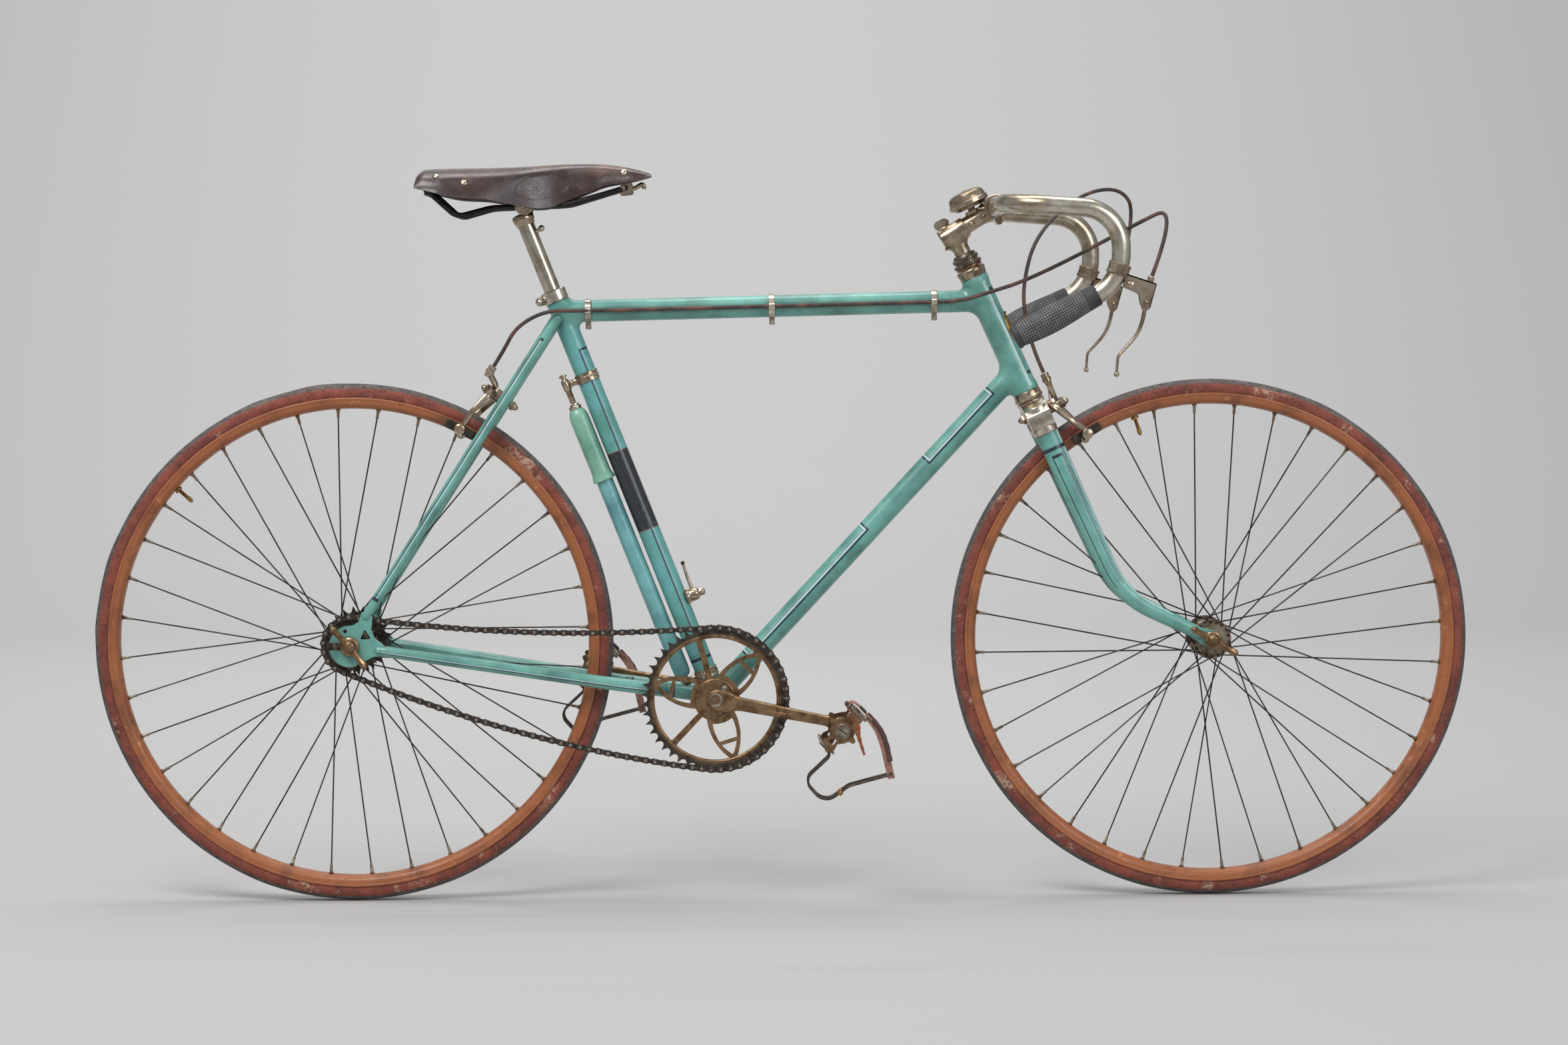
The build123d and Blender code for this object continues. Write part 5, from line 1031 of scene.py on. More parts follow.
def panel(u0, u1, v0, v1, line=10.0, pale=10.0, fine=1.6, gap=2.0, width=2.6, cap=2.6):
    """A painted panel's outline: a navy line, a white one inside it and a fine navy one inside that.

    Degrees round the tube from u0 to u1, where the panel is open past the shorter sides' ends.
    """
    stripes = []
    inner = width + 2.6
    for a in (u0, u1):
        side = 1 if a == min(u0, u1) else -1
        edges = sorted((a, a + side * line))
        stripes.append((edges[0], edges[1], v0, v1, NAVY))
        edges = sorted((a + side * line, a + side * (line + pale)))
        stripes.append((edges[0], edges[1], v0 + cap, v1 - cap, WHITE))
        edges = sorted((a + side * (line + pale + gap), a + side * (line + pale + gap + fine)))
        stripes.append((edges[0], edges[1], v0 + inner + 0.8, v1 - inner - 0.8, NAVY))
    low, high = sorted((u0, u1))
    for v, sign in ((v0, 1), (v1, -1)):
        edges = sorted((v, v + sign * cap))
        stripes.append((low, high, edges[0], edges[1], NAVY))
        edges = sorted((v + sign * cap, v + sign * inner))
        stripes.append((low + line, high - line, edges[0], edges[1], WHITE))
        edges = sorted((v + sign * (inner + 0.6), v + sign * (inner + 1.1)))
        stripes.append((low + line + pale, high - line - pale, edges[0], edges[1], NAVY))
    return stripes


def fillet_rows(start, along, first, r, neighbour, neighbour_axis, neighbour_r, fillet, sides, steps=6):
    """Rows of points that curve from a round neighbour's skin on to a tube, and how far along each is."""
    other = along.cross(first)
    rows, marks = [], []
    for k in range(steps + 1):
        angle = 90 * (1 - k / steps)
        offset = fillet * (1 - cosd(angle))
        ahead = fillet * (1 - sind(angle))
        row, mark = [], []
        for j in range(sides):
            turn = 360 * j / sides
            spoke = first * cosd(turn) + other * sind(turn)
            across_limit = 0.985 * neighbour_r
            point = start + spoke * (r + offset)
            lateral_axis = neighbour_axis.cross(along).normalized()
            lateral = (point - neighbour).dot(lateral_axis)
            held = max(-across_limit, min(across_limit, lateral))
            point += lateral_axis * (held - lateral)
            w = point - neighbour
            w -= neighbour_axis * w.dot(neighbour_axis)
            d = along - neighbour_axis * along.dot(neighbour_axis)
            a, b, c = d.dot(d), 2 * w.dot(d), w.dot(w) - neighbour_r**2
            reach = (-b + math.sqrt(max(0.0, b * b - 4 * a * c))) / (2 * a)
            row.append(point + along * (reach + ahead))
            mark.append((row[-1] - start).dot(along))
        rows.append(row)
        marks.append(mark + mark[:1])
    return rows, marks


def braze_tube(build, start, end, diameter, foot=None, head=None, sides=48, slot=0):
    """A round tube between two neighbours. foot and head are (a point on its line, axis, radius, fillet)."""
    along = (end - start).normalized()
    length = (end - start).length
    first = (FAR - along * FAR.dot(along)).normalized()
    other = along.cross(first)
    r = diameter / 2
    rows, marks = [], []
    if foot:
        rows, marks = fillet_rows(start, along, first, r, *foot, sides)
    else:
        rows = [circle_row(start, first, other, r, sides)]
        marks = [[0.0] * (sides + 1)]
    if head:
        back_rows, back_marks = [], []
        turned_rows, turned_marks = fillet_rows(end, -along, first, r, *head, sides)
        for row, mark in zip(turned_rows, turned_marks):
            back_rows.append([row[-j % sides] for j in range(sides)])
            flat = [length - mark[-j % sides] for j in range(sides)]
            back_marks.append(flat + flat[:1])
        rows += back_rows[::-1]
        marks += back_marks[::-1]
    else:
        rows.append(circle_row(end, first, other, r, sides))
        marks.append([length] * (sides + 1))
    around = turns(sides)
    return build.grid(rows, around, marks, slot)


def ring(build, start, axis, outer, inner, height, slot=0, sides=48, edge=0.6):
    """A short ring, open through the middle, with softened edges."""
    profile = [(0, inner), (0, outer - edge), (edge, outer), (height - edge, outer), (height, outer - edge),
               (height, inner)]
    build.lathe(start, axis, profile, sides, slot, closed=True)


def top_tube():
    build = Build()
    braze_tube(build, TOP_TUBE_START, TOP_TUBE_END, TUBE_D,
               (TOP_TUBE_START, SEAT_UP, TUBE_D / 2, FILLET),
               (TOP_TUBE_END, STEER_UP, HEAD_TUBE_D / 2, FILLET))
    stripes = [(None, None, 40.2, 40.7, NAVY), (None, None, 508.4, 508.9, NAVY)]
    look = paint("top_tube_paint", stripes, wear=0.6)
    piece("top_tube_form", build, look, "frame", ["top_tube"], sharp=0)


def down_tube():
    build = Build()
    braze_tube(build, BB, DOWN_TUBE_END, TUBE_D, (BB, Y_AXIS, BB_SHELL_R, FILLET),
               (DOWN_TUBE_END, STEER_UP, HEAD_TUBE_D / 2, FILLET))
    stripes = panel(3, 177, 413, 538.5) + panel(3, 177, 66, 297)
    look = paint("down_tube_paint", stripes, wear=1.0)
    piece("down_tube_form", build, look, "frame", ["down_tube"], sharp=0)


def seat_tube():
    build = Build()
    top = seat_point(0, 0, SEAT_TUBE_TOP)
    starts = braze_tube(build, BB, top, TUBE_D, (BB, Y_AXIS, BB_SHELL_R, 8.0), None)
    bore = TUBE_D / 2 - 2.6
    inner = [[top + (p - top) * (bore / (TUBE_D / 2)) for p in build.points[starts[-1]:starts[-1] + 48]]]
    deep = [[p - SEAT_UP * 25 for p in inner[0]]]
    outer = [build.points[starts[-1]:starts[-1] + 48]]
    build.grid(outer + inner + deep, [360 * j / 48 for j in range(49)], [570, 572, 597])
    line = [(192, 203, 236, 488, NAVY), (192, 300, 485, 488, NAVY), (192, 203, 58, 236, NAVY),
            (210, 300, 480, 480.5, NAVY), (None, None, 51, 55.4, NAVY), (None, None, 58.4, 59, NAVY)]
    band = [(None, None, 236.6, 345.8, srgb(34, 36, 42)), (None, None, 236.0, 237.2, RED),
            (None, None, 345.2, 346.4, RED)]
    look = paint("seat_tube_paint", line + band, wear=0.5, base=srgb(100, 166, 166), deep=srgb(78, 140, 122))
    piece("seat_tube_form", build, look, "frame", ["seat_tube"], sharp=40)


def head_tube():
    """The head tube, flared a little at both ends, with a pale stripe down each side of its front."""
    build = Build()
    r = HEAD_TUBE_D / 2
    length = HEAD_TO - HEAD_FROM
    profile = [(0, r - 2.2), (0, r + 0.7), (0.6, r + 1.3), (7, r + 1.3), (12, r), (length - 12, r),
               (length - 7, r + 1.2),
               (length - 0.6, r + 1.2), (length, r + 0.7), (length, r - 2.2)]
    extra = []
    for (a0, r0), (a1, _) in zip(profile, profile[1:]):
        extra.append((a0, r0))
        if a1 - a0 > 20:
            extra += [(a0 + (a1 - a0) * k / 8, r0) for k in range(1, 8)]
    extra.append(profile[-1])
    build.lathe(steer_point(0, 0, HEAD_FROM), STEER_UP, extra, 64, 0, closed=True, start_side=-STEER_FORWARD)
    stripes = [(112, 127, 8, 158, WHITE), (233, 248, 8, 158, WHITE), (131, 133.5, 27, 143, NAVY),
               (226.5, 229, 27, 143, NAVY), (131, 229, 23, 27.5, NAVY), (131, 229, 142.5, 147, NAVY)]
    look = paint("head_tube_paint", stripes, wear=0.9)
    piece("head_tube_form", build, look, "frame", ["head_tube"], sharp=40)


def head_badge():
    """A blank oval badge of worn gilt metal, riveted to the head tube's front, with a plain beaded edge."""
    build = Build()
    r = HEAD_TUBE_D / 2
    middle, half_height, half_width = 476.0, 27.0, 13.5
    rings, sides = 7, 48
    rows = []
    for k in range(rings + 1):
        share = k / rings
        height = 0.5 + 1.1 * (1 - share**2) + (0.7 if 0.80 < share < 0.95 else 0.0)
        if k == rings:
            height = 0.0
        row = []
        for j in range(sides):
            turn = 360 * j / sides
            up = middle + half_height * share * sind(turn)
            side = half_width * share * cosd(turn)
            angle = math.degrees(side / r)
            at = steer_point(0, 0, up) + (STEER_FORWARD * cosd(angle) + NEAR * sind(angle)) * (r + height)
            row.append(at)
        rows.append(row)
    build.grid(rows, turns(sides), list(range(rings + 1)))
    for sign in (-1, 1):
        build.ball(steer_point(r + 1.4, 0, middle + sign * 23.2), 1.5, 0, 12)
    look = metal("gilt", srgb(190, 148, 72), srgb(96, 70, 38), 0.6, 0.38, 5, grain=0.4)
    piece("head_badge", build, look, "frame", (), sharp=50)


def bottom_shell():
    build = Build()
    r = BB_SHELL_R
    half = BB_SHELL_HALF
    bore = 9.5
    profile = [(-half - 4, bore), (-half - 4, r - 2.6), (-half - 3.2, r - 1.5), (-half - 0.4, r - 1.5),
               (-half, r - 0.8),
               (-half + 0.8, r), (-20, r + 0.3), (0, r + 0.6), (20, r + 0.3), (half - 0.8, r),
               (half, r - 0.8),
               (half + 0.4, r - 1.5), (half + 3.2, r - 1.5), (half + 4, r - 2.6), (half + 4, bore)]
    build.lathe(BB, Y_AXIS, profile, 56, closed=True)
    for side in (-1, 1):
        face = BB + Y_AXIS * side * (half + 4)
        for k in range(6):
            out = wheel_out(60 * k + 20)
            build.ball(face + out * 14.0, 1.9, 1, 10, Y_AXIS)
        ring(build, face - Y_AXIS * side * 0.2, Y_AXIS * side, 17.2, 10.2, 1.0, 1)
    piece("bottom_shell_form", build, [PAINT, NICKEL_RUSTY], "frame", ["bottom_bracket_shell"])


def stay_line(points, start_d, end_d):
    """Stations along a stay whose end is drawn in and closed over the plate it is brazed to."""
    path = divided(points, 20)
    total = sum((b - a).length for a, b in zip(path, path[1:]))
    def radius(share):
        left = (1 - share) * total
        r = (start_d + (end_d - start_d) * share) / 2
        if left < r:
            r *= max(0.08, math.sqrt(max(0.0, 1 - ((r - left) / r) ** 2)))
        return r
    for near_end in (0.6, 1.4, 2.6, 4.0):
        path.insert(-1, path[-1] + (path[-2] - path[-1]).normalized() * near_end)
    tail = sorted(path[-6:], key=lambda p: -(p - path[-1]).length)
    return path[:-6] + tail, radius


def chain_stays():
    build = Build()
    for place in (flip, lambda p: p):
        points = arc_path([place(CHAIN_STAY_START), place(CHAIN_STAY_BEND), place(CHAIN_STAY_TIP)], 260, 1.5)
        path, radius = stay_line(points, 18.4, 14)
        build.tube(path, radius, 36, side=FAR if place is flip else NEAR)
    bridge = V(CHAIN_STAY_BEND.x + 14, 0, CHAIN_STAY_BEND.z - 2)
    reach = Y_AXIS * (CHAIN_STAY_BEND.y - 6)
    flare = lambda t: 5 + 4 * max(0.0, abs(2 * t - 1) - 0.72) / 0.28
    build.tube(divided([bridge - reach, bridge + reach], 2.5), flare, 24)
    stripes = [(156, 166, 44, 436, NAVY), (166, 174, 48, 436, WHITE), (None, None, 38, 42.6, NAVY),
               (None, None, 49.5, 50.1, NAVY), (None, None, 431, 435.6, NAVY), (None, None, 424, 424.6, NAVY)]
    look = paint("chain_stay_paint", stripes, wear=1.0)
    piece("chain_stays_form", build, look, "frame", ["chain_stays"], sharp=45)


def seat_stays():
    build = Build()
    for place in (flip, lambda p: p):
        top, tip = place(SEAT_STAY_TOP), place(SEAT_STAY_TIP)
        path, radius = stay_line([top, tip], 15, 12.5)
        along = (tip - top).normalized()
        r = 7.5
        dome = [(top - along * (r * sind(a) * 0.9), r * cosd(a)) for a in (86, 70, 52, 34, 16)]
        first = FAR if place is flip else NEAR
        build.tube(path, radius, 36, side=first)
        cap_path = [p for p, _ in dome] + [top]
        sizes = [size for _, size in dome] + [r]
        steps = [(q - cap_path[0]).length for q in cap_path]
        def cap_radius(share, steps=steps, sizes=sizes):
            return float(np.interp(share * steps[-1], steps, sizes))
        build.tube(cap_path, cap_radius, 36, side=first)
    share = (655 - SEAT_STAY_TIP.z) / (SEAT_STAY_TOP.z - SEAT_STAY_TIP.z)
    middle = SEAT_STAY_TIP.lerp(SEAT_STAY_TOP, share)
    reach = middle.y - 5
    flare = lambda t: 5.5 + 3.5 * max(0.0, abs(2 * t - 1) - 0.75) / 0.25
    centre = V(middle.x, 0, middle.z)
    build.tube(divided([centre - Y_AXIS * reach, centre + Y_AXIS * reach], 2.5), flare, 24)
    stripes = [(184, 198, 36, 432, WHITE), (198, 212, 33, 436, NAVY), (170, 212, 33, 36.5, NAVY),
               (168, 196, 42, 42.6, RED), (150, 260, 432, 436.5, NAVY), (150, 260, 428, 428.6, NAVY)]
    look = paint("seat_stay_paint", stripes, wear=0.5)
    piece("seat_stays_form", build, look, "frame", ["seat_stays"], sharp=45)


def make_frame():
    head_tube()
    top_tube()
    down_tube()
    seat_tube()
    bottom_shell()
    chain_stays()
    seat_stays()
    head_badge()


# Drive: chain, chainwheel, sprockets, cranks and pedals

CHAIN_PITCH = 12.7
CHAIN_Y = -44.0
CHAIN_INSIDE = 4.6
ROLLER_R = 3.8
CHAINWHEEL_TEETH, REAR_TEETH, FAR_TEETH = 46, 18, 20
UPPER_SAG, LOWER_SAG = 12.7, 17.3
SPROCKET_THICK = 2.6
RING_INNER, RING_SPLIT = 79.4, 84.6
HUB_PLATE_R = 29.0
LEAF_ANGLES = (45, 166, 287)
SPINDLE_R = 8.0
CRANK_LENGTH = 165.0
CRANK_ANGLE = -10.5
CRANK_INNER_Y, CRANK_EYE_INNER_Y = 48.0, 64.0
CRANK_THICK = 13.0
PEDAL_IN, PEDAL_OUT = 82.0, 168.0
PEDAL_WIDTH = 58.0
PEDAL_TILT = 45.0


def pitch_radius(teeth):
    return CHAIN_PITCH / (2 * sind(180 / teeth))


def round_point(centre, radius, angle):
    return V(centre.x + radius * cosd(angle), 0, centre.z + radius * sind(angle))


def chain_layout(slack):
    """Where both runs leave the wheels at this share of their sags, and each stretch in pitches."""
    gap = BB - REAR_AXLE
    big, small = pitch_radius(CHAINWHEEL_TEETH), pitch_radius(REAR_TEETH)
    tilt = math.degrees(math.atan2(gap.z, gap.x))
    lean = math.degrees(math.asin((big - small) / gap.length))
    run = math.sqrt(gap.length**2 - (big - small) ** 2)
    upper, lower = UPPER_SAG * slack, LOWER_SAG * slack
    upper_tilt = math.degrees(math.atan(4 * upper / run))
    lower_tilt = math.degrees(math.atan(4 * lower / run))
    big_top, small_top = tilt + 90 + lean + upper_tilt, tilt + 90 + lean - upper_tilt
    big_bottom, small_bottom = tilt - 90 - lean + lower_tilt, tilt - 90 - lean - lower_tilt
    ends = [round_point(BB, big, big_bottom), round_point(REAR_AXLE, small, small_bottom),
            round_point(REAR_AXLE, small, small_top), round_point(BB, big, big_top)]
    def hanging(span, sag):
        return (span + 8 * sag**2 / (3 * span)) / CHAIN_PITCH
    lengths = [(big_top - big_bottom) * CHAINWHEEL_TEETH / 360, hanging((ends[1] - ends[0]).length, lower),
               (360 - small_top + small_bottom) * REAR_TEETH / 360,
               hanging((ends[3] - ends[2]).length, upper)]
    return big_top, small_bottom, ends, (lower, upper), lengths


def chain_pins():
    """Pin centres in order, and the angle of a pin on each wheel. The count is whole and even."""
    count = 2 * math.ceil(sum(chain_layout(0)[4]) / 2)
    least, most = 0.0, 8.0
    for _ in range(40):
        slack = (least + most) / 2
        if sum(chain_layout(slack)[4]) < count:
            least = slack
        else:
            most = slack
    big_top, small_bottom, ends, sags, lengths = chain_layout(slack)
    pins, small_phase = [], 0.0
    for k in range(count):
        s = float(k)
        if s < lengths[0]:
            pins.append(round_point(BB, pitch_radius(CHAINWHEEL_TEETH), big_top - s * 360 / CHAINWHEEL_TEETH))
            continue
        s -= lengths[0]
        if s < lengths[1]:
            share = s / lengths[1]
            pins.append(ends[0].lerp(ends[1], share) - UP * (4 * sags[0] * share * (1 - share)))
            continue
        s -= lengths[1]
        if s < lengths[2]:
            small_phase = small_bottom - s * 360 / REAR_TEETH
            pins.append(round_point(REAR_AXLE, pitch_radius(REAR_TEETH), small_phase))
            continue
        share = (s - lengths[2]) / lengths[3]
        pins.append(ends[2].lerp(ends[3], share) - UP * (4 * sags[1] * share * (1 - share)))
    return pins, big_top, small_phase


def link_outline(length, end_r=4.4, waist=2.7):
    """A side plate: round about both pins and drawn in between them."""
    right = circle(end_r, 9, (length, 0), -62, 124)
    left = circle(end_r, 9, (0, 0), 118, 124)
    top = [(length * 0.68, waist + 0.45), (length / 2, waist), (length * 0.32, waist + 0.45)]
    return right + top + left + [(x, -y) for x, y in reversed(top)]


def rounded_plate(build, outline, origin, ex, ey, thickness, slot=0, edge=0.25):
    """A plate with its outline eased on both faces, drawn in towards its middle."""
    normal = ex.cross(ey)
    count = len(outline)
    inset = []
    for k in range(count):
        a, b, c = outline[k - 1], outline[k], outline[(k + 1) % count]
        tx, ty = c[0] - a[0], c[1] - a[1]
        size = math.hypot(tx, ty) or 1.0
        inset.append((b[0] - edge * ty / size, b[1] + edge * tx / size))
    rows = []
    for ring_points, height in ((inset, 0), (outline, edge), (outline, thickness - edge), (inset, thickness)):
        rows.append([origin + ex * p[0] + ey * p[1] + normal * height for p in ring_points])
    starts = build.grid(rows, list(range(count + 1)), [0, 1, 2, 3], slot)
    build.cap(starts[0], count, slot, True)
    build.cap(starts[-1], count, slot)


def chain(pins):
    """Every link with its own plates: inner and outer pairs in turn, rollers and riveted pins."""
    build = Build()
    thick = 0.95
    half = CHAIN_INSIDE / 2
    for k, pin in enumerate(pins):
        after = pins[(k + 1) % len(pins)]
        ex = (after - pin).normalized()
        ez = V(-ex.z, 0, ex.x)
        outline = link_outline((after - pin).length, 4.45 if k % 2 else 4.2, 2.8 if k % 2 else 2.6)
        at = half + (thick if k % 2 else 0.05)
        for side in (-1, 1):
            y = CHAIN_Y + side * at + (0 if side < 0 else thick)
            rounded_plate(build, outline, V(pin.x, y, pin.z), ex, ez, thick, 0)
        build.lathe(V(pin.x, CHAIN_Y - half + 0.1, pin.z), Y_AXIS, [(0, ROLLER_R - 0.3), (0.3, ROLLER_R),
                    (CHAIN_INSIDE - 0.5, ROLLER_R), (CHAIN_INSIDE - 0.2, ROLLER_R - 0.3)], 12, 1)
        for side in (-1, 1):
            face = V(pin.x, CHAIN_Y + side * (half + 2 * thick - 0.1), pin.z)
            profile = [(0, 2.2), (0.35, 2.1), (0.6, 1.6), (0.6, 1.1), (0.25, 0.7)]
            build.lathe(face, Y_AXIS * side, profile, 12, 1)
    piece("chain_form", build, [CHAIN_DARK, CHAIN_PIN], "frame", ["chain"], sharp=40)


def tooth_line(teeth, phase, hook=0.0):
    """Round gaps at the pins with pointed teeth between them, leaning a little when worn."""
    pitch_r = pitch_radius(teeth)
    step = 360 / teeth
    points = []
    for k in range(teeth):
        gap = phase + k * step
        cx, cz = pitch_r * cosd(gap), pitch_r * sind(gap)
        for turn in range(-66, 67, 22):
            angle = gap + 180 + turn
            points.append((cx + 4.15 * cosd(angle), cz + 4.15 * sind(angle)))
        points = points[:-7] + points[-7:][::-1]
        for share, r, lean in ((0.40, 0.9, 0), (0.465, 3.2, hook * 0.7), (0.5, 3.9, hook),
                               (0.535, 3.2, hook * 0.9),
                               (0.60, 0.9, 0)):
            angle = gap + (share * step) + math.degrees(lean / pitch_r)
            points.append(((pitch_r + r) * cosd(angle), (pitch_r + r) * sind(angle)))
    return points


def through(a, m, b, count=12):
    """Points on the circle's arc from a through m to b."""
    (ax, ay), (mx, my), (bx, by) = a, m, b
    d = 2 * (ax * (my - by) + mx * (by - ay) + bx * (ay - my))
    a2, m2, b2 = ax * ax + ay * ay, mx * mx + my * my, bx * bx + by * by
    ux = (a2 * (my - by) + m2 * (by - ay) + b2 * (ay - my)) / d
    uy = (a2 * (bx - mx) + m2 * (ax - bx) + b2 * (mx - ax)) / d
    r = math.hypot(ax - ux, ay - uy)
    start = math.degrees(math.atan2(ay - uy, ax - ux))
    middle = math.degrees(math.atan2(my - uy, mx - ux))
    end = math.degrees(math.atan2(by - uy, bx - ux))
    middle += 360 * round((start - middle) / 360)
    end += 360 * round((middle - end) / 360)
    return [(ux + r * cosd(start + (end - start) * k / count),
             uy + r * sind(start + (end - start) * k / count))
            for k in range(count + 1)]


def spun(points, angle):
    c, s = cosd(angle), sind(angle)
    return [(x * c - y * s, x * s + y * c) for x, y in points]


def soft_loop(stretches, radius):
    """A loop from several stretches of points, rounded only where two stretches meet."""
    points, radii = [], []
    for stretch in stretches:
        points += stretch
        radii += [radius] + [0] * (len(stretch) - 2) + [radius] if len(stretch) > 1 else [radius]
    return rounded(points, radii, 15)


LEAF_OUTER = ((21.8, 18.6), (54.0, 17.4), (79.1, 5.4))
LEAF_INNER = ((30.0, 13.2), (53.0, 12.4), (75.5, 0.4))
LEAF_BAR = (55.4, 60.4)
ARM_HALF = 3.4


def leaf_openings(angle):
    """The openings in a leaf arm and beside it, up to the straight arms 60 degrees away."""
    upper = through(*LEAF_INNER, 24)
    near = [p for p in upper if p[0] < LEAF_BAR[0]]
    far = [p for p in upper if p[0] > LEAF_BAR[1]]
    def at_bar(x):
        return float(np.interp(x, [p[0] for p in upper], [p[1] for p in upper]))
    near += [(LEAF_BAR[0], at_bar(LEAF_BAR[0]))]
    far = [(LEAF_BAR[1], at_bar(LEAF_BAR[1]))] + far
    mirrored = lambda points: [(x, -y) for x, y in reversed(points)]
    hub_r = math.hypot(*near[0])
    hub_angle = math.degrees(math.atan2(near[0][1], near[0][0]))
    hub_arc = circle(hub_r, 6, (0, 0), -hub_angle, 2 * hub_angle)[1:-1]
    openings = [soft_loop([mirrored(near), hub_arc, near], 1.8)]
    openings.append(soft_loop([mirrored(far), far], 1.4))
    edge = through(*LEAF_OUTER, 20)
    hub_from = math.degrees(math.atan2(edge[0][1], edge[0][0]))
    hub_to = 60 - math.degrees(math.asin(ARM_HALF / HUB_PLATE_R))
    rim_to = 60 - math.degrees(math.asin(ARM_HALF / RING_INNER))
    rim_from = math.degrees(math.atan2(edge[-1][1], edge[-1][0]))
    hub_part = circle(HUB_PLATE_R, 3, (0, 0), hub_to, hub_from - hub_to)
    rim_part = circle(RING_INNER, 16, (0, 0), rim_from, rim_to - rim_from)
    beside = soft_loop([edge, rim_part, hub_part[:-1]], 4.0)
    openings += [beside, [(x, -y) for x, y in reversed(beside)]]
    return [spun(loop, angle) for loop in openings]


def chainwheel(phase):
    """Pierced disc with its dished hub, and the toothed rim round it."""
    build = Build()
    half = SPROCKET_THICK / 2
    ex, ez = X_AXIS, UP
    front = BB + Y_AXIS * (CHAIN_Y + half)
    holes = [loop for angle in LEAF_ANGLES for loop in leaf_openings(angle)]
    disc = Build()
    disc.plate(circle(RING_SPLIT, 120), front, ex, ez, SPROCKET_THICK, 0, holes + [circle(SPINDLE_R, 24)])
    piece("chainwheel_disc", disc, BRONZE, "cranks", ["chainwheel_spider"], bevel=0.4)
    rim_build = Build()
    rim_front = BB + Y_AXIS * (CHAIN_Y + half - 0.2)
    rim_build.plate(tooth_line(CHAINWHEEL_TEETH, phase, 0.5), rim_front, ex, ez, SPROCKET_THICK - 0.4, 0,
                    [circle(RING_SPLIT - 0.3, 120)])
    piece("chainwheel_teeth", rim_build, DARK, "frame", ["chainwheel_rim"], bevel=0.3)
    bead = [(0, RING_INNER + 0.5), (1.0, RING_INNER + 1.3), (1.1, RING_INNER + 3.2), (0, RING_INNER + 4.2)]
    for side in (-1, 1):
        face = BB + Y_AXIS * (CHAIN_Y + side * (half - 0.2))
        build.lathe(face, Y_AXIS * side, bead, 120, 0, closed=True)
        hub_profile = [(0, 26.8), (2.2, 26.6), (3.0, 25.6), (3.0, 24.4), (2.3, 22.5), (2.2, 12.0), (3.2, 9.8),
                       (3.2, 8.2),
                       (0, 8.2)]
        build.lathe(face, Y_AXIS * side, hub_profile, 64, 0, closed=True)
    piece("chainwheel_hub", build, BRONZE, "cranks", (), sharp=50)


def sprockets(phase):
    """The driven sprocket with its freewheel, and the spare one on the far side."""
    build = Build()
    ex, ez = X_AXIS, UP
    half = SPROCKET_THICK / 2
    body_r = pitch_radius(REAR_TEETH) - 12
    build.plate(tooth_line(REAR_TEETH, phase), REAR_AXLE + Y_AXIS * (CHAIN_Y + half), ex, ez, SPROCKET_THICK,
                0,
                [circle(15, 32)])
    profile = [(-5, 14.4), (-5, body_r - 0.8), (-4.4, body_r), (-2.2, body_r), (-1.9, body_r - 1.5),
               (-1.2, body_r - 1.5),
               (-1, body_r), (3.6, body_r), (4.3, body_r - 0.8), (4.3, body_r - 5), (3.7, body_r - 5.6),
               (3.7, body_r - 8), (4.5, body_r - 8.6), (4.5, 14.4)]
    build.lathe(REAR_AXLE + Y_AXIS * CHAIN_Y, -Y_AXIS, profile, 48, 1, closed=True)
    for k in range(2):
        out = wheel_out(40 + 180 * k)
        build.lathe(REAR_AXLE + Y_AXIS * (CHAIN_Y - 3.6) + out * (body_r - 7), -Y_AXIS,
                    [(0, 1.6), (0.5, 1.6), (0.5, 0.8),
                    (0.1, 0.4)], 12, 0)
    piece("rear_sprocket_form", build, [DARK, NICKEL_RUSTY], "frame", ["rear_sprocket"],
          sharp=35)
    spare = Build()
    spare.plate(tooth_line(FAR_TEETH, 0), REAR_AXLE + Y_AXIS * (-CHAIN_Y + half), ex, ez, SPROCKET_THICK, 0,
                [circle(13.9, 32)] + [circle(4.2, 14, (22 * cosd(a), 22 * sind(a))) for a in range(0, 360,
                                                                                                   60)])
    lock = [(0, 14.0), (0, 22), (0.6, 23), (3.2, 23), (3.8, 22), (3.8, 14.0)]
    spare.lathe(REAR_AXLE + Y_AXIS * (-CHAIN_Y + half), Y_AXIS, lock, 36, 0, closed=True)
    for k in range(3):
        out = wheel_out(30 + 120 * k)
        spare.box(REAR_AXLE + Y_AXIS * (-CHAIN_Y + half + 1.9) + out * 23.2, out, out.cross(Y_AXIS), -Y_AXIS,
                  (3, 4.5, 3))
    piece("far_sprocket_form", spare, DARK, "rear_wheel", ["far_sprocket"], sharp=35)


def crank_frame(side):
    """Along the crank, its upper side in the view from the right, and outward."""
    turn = CRANK_ANGLE if side < 0 else CRANK_ANGLE + 180
    along = V(cosd(turn), 0, sind(turn))
    up = V(-sind(turn), 0, cosd(turn))
    return along, up, Y_AXIS * side


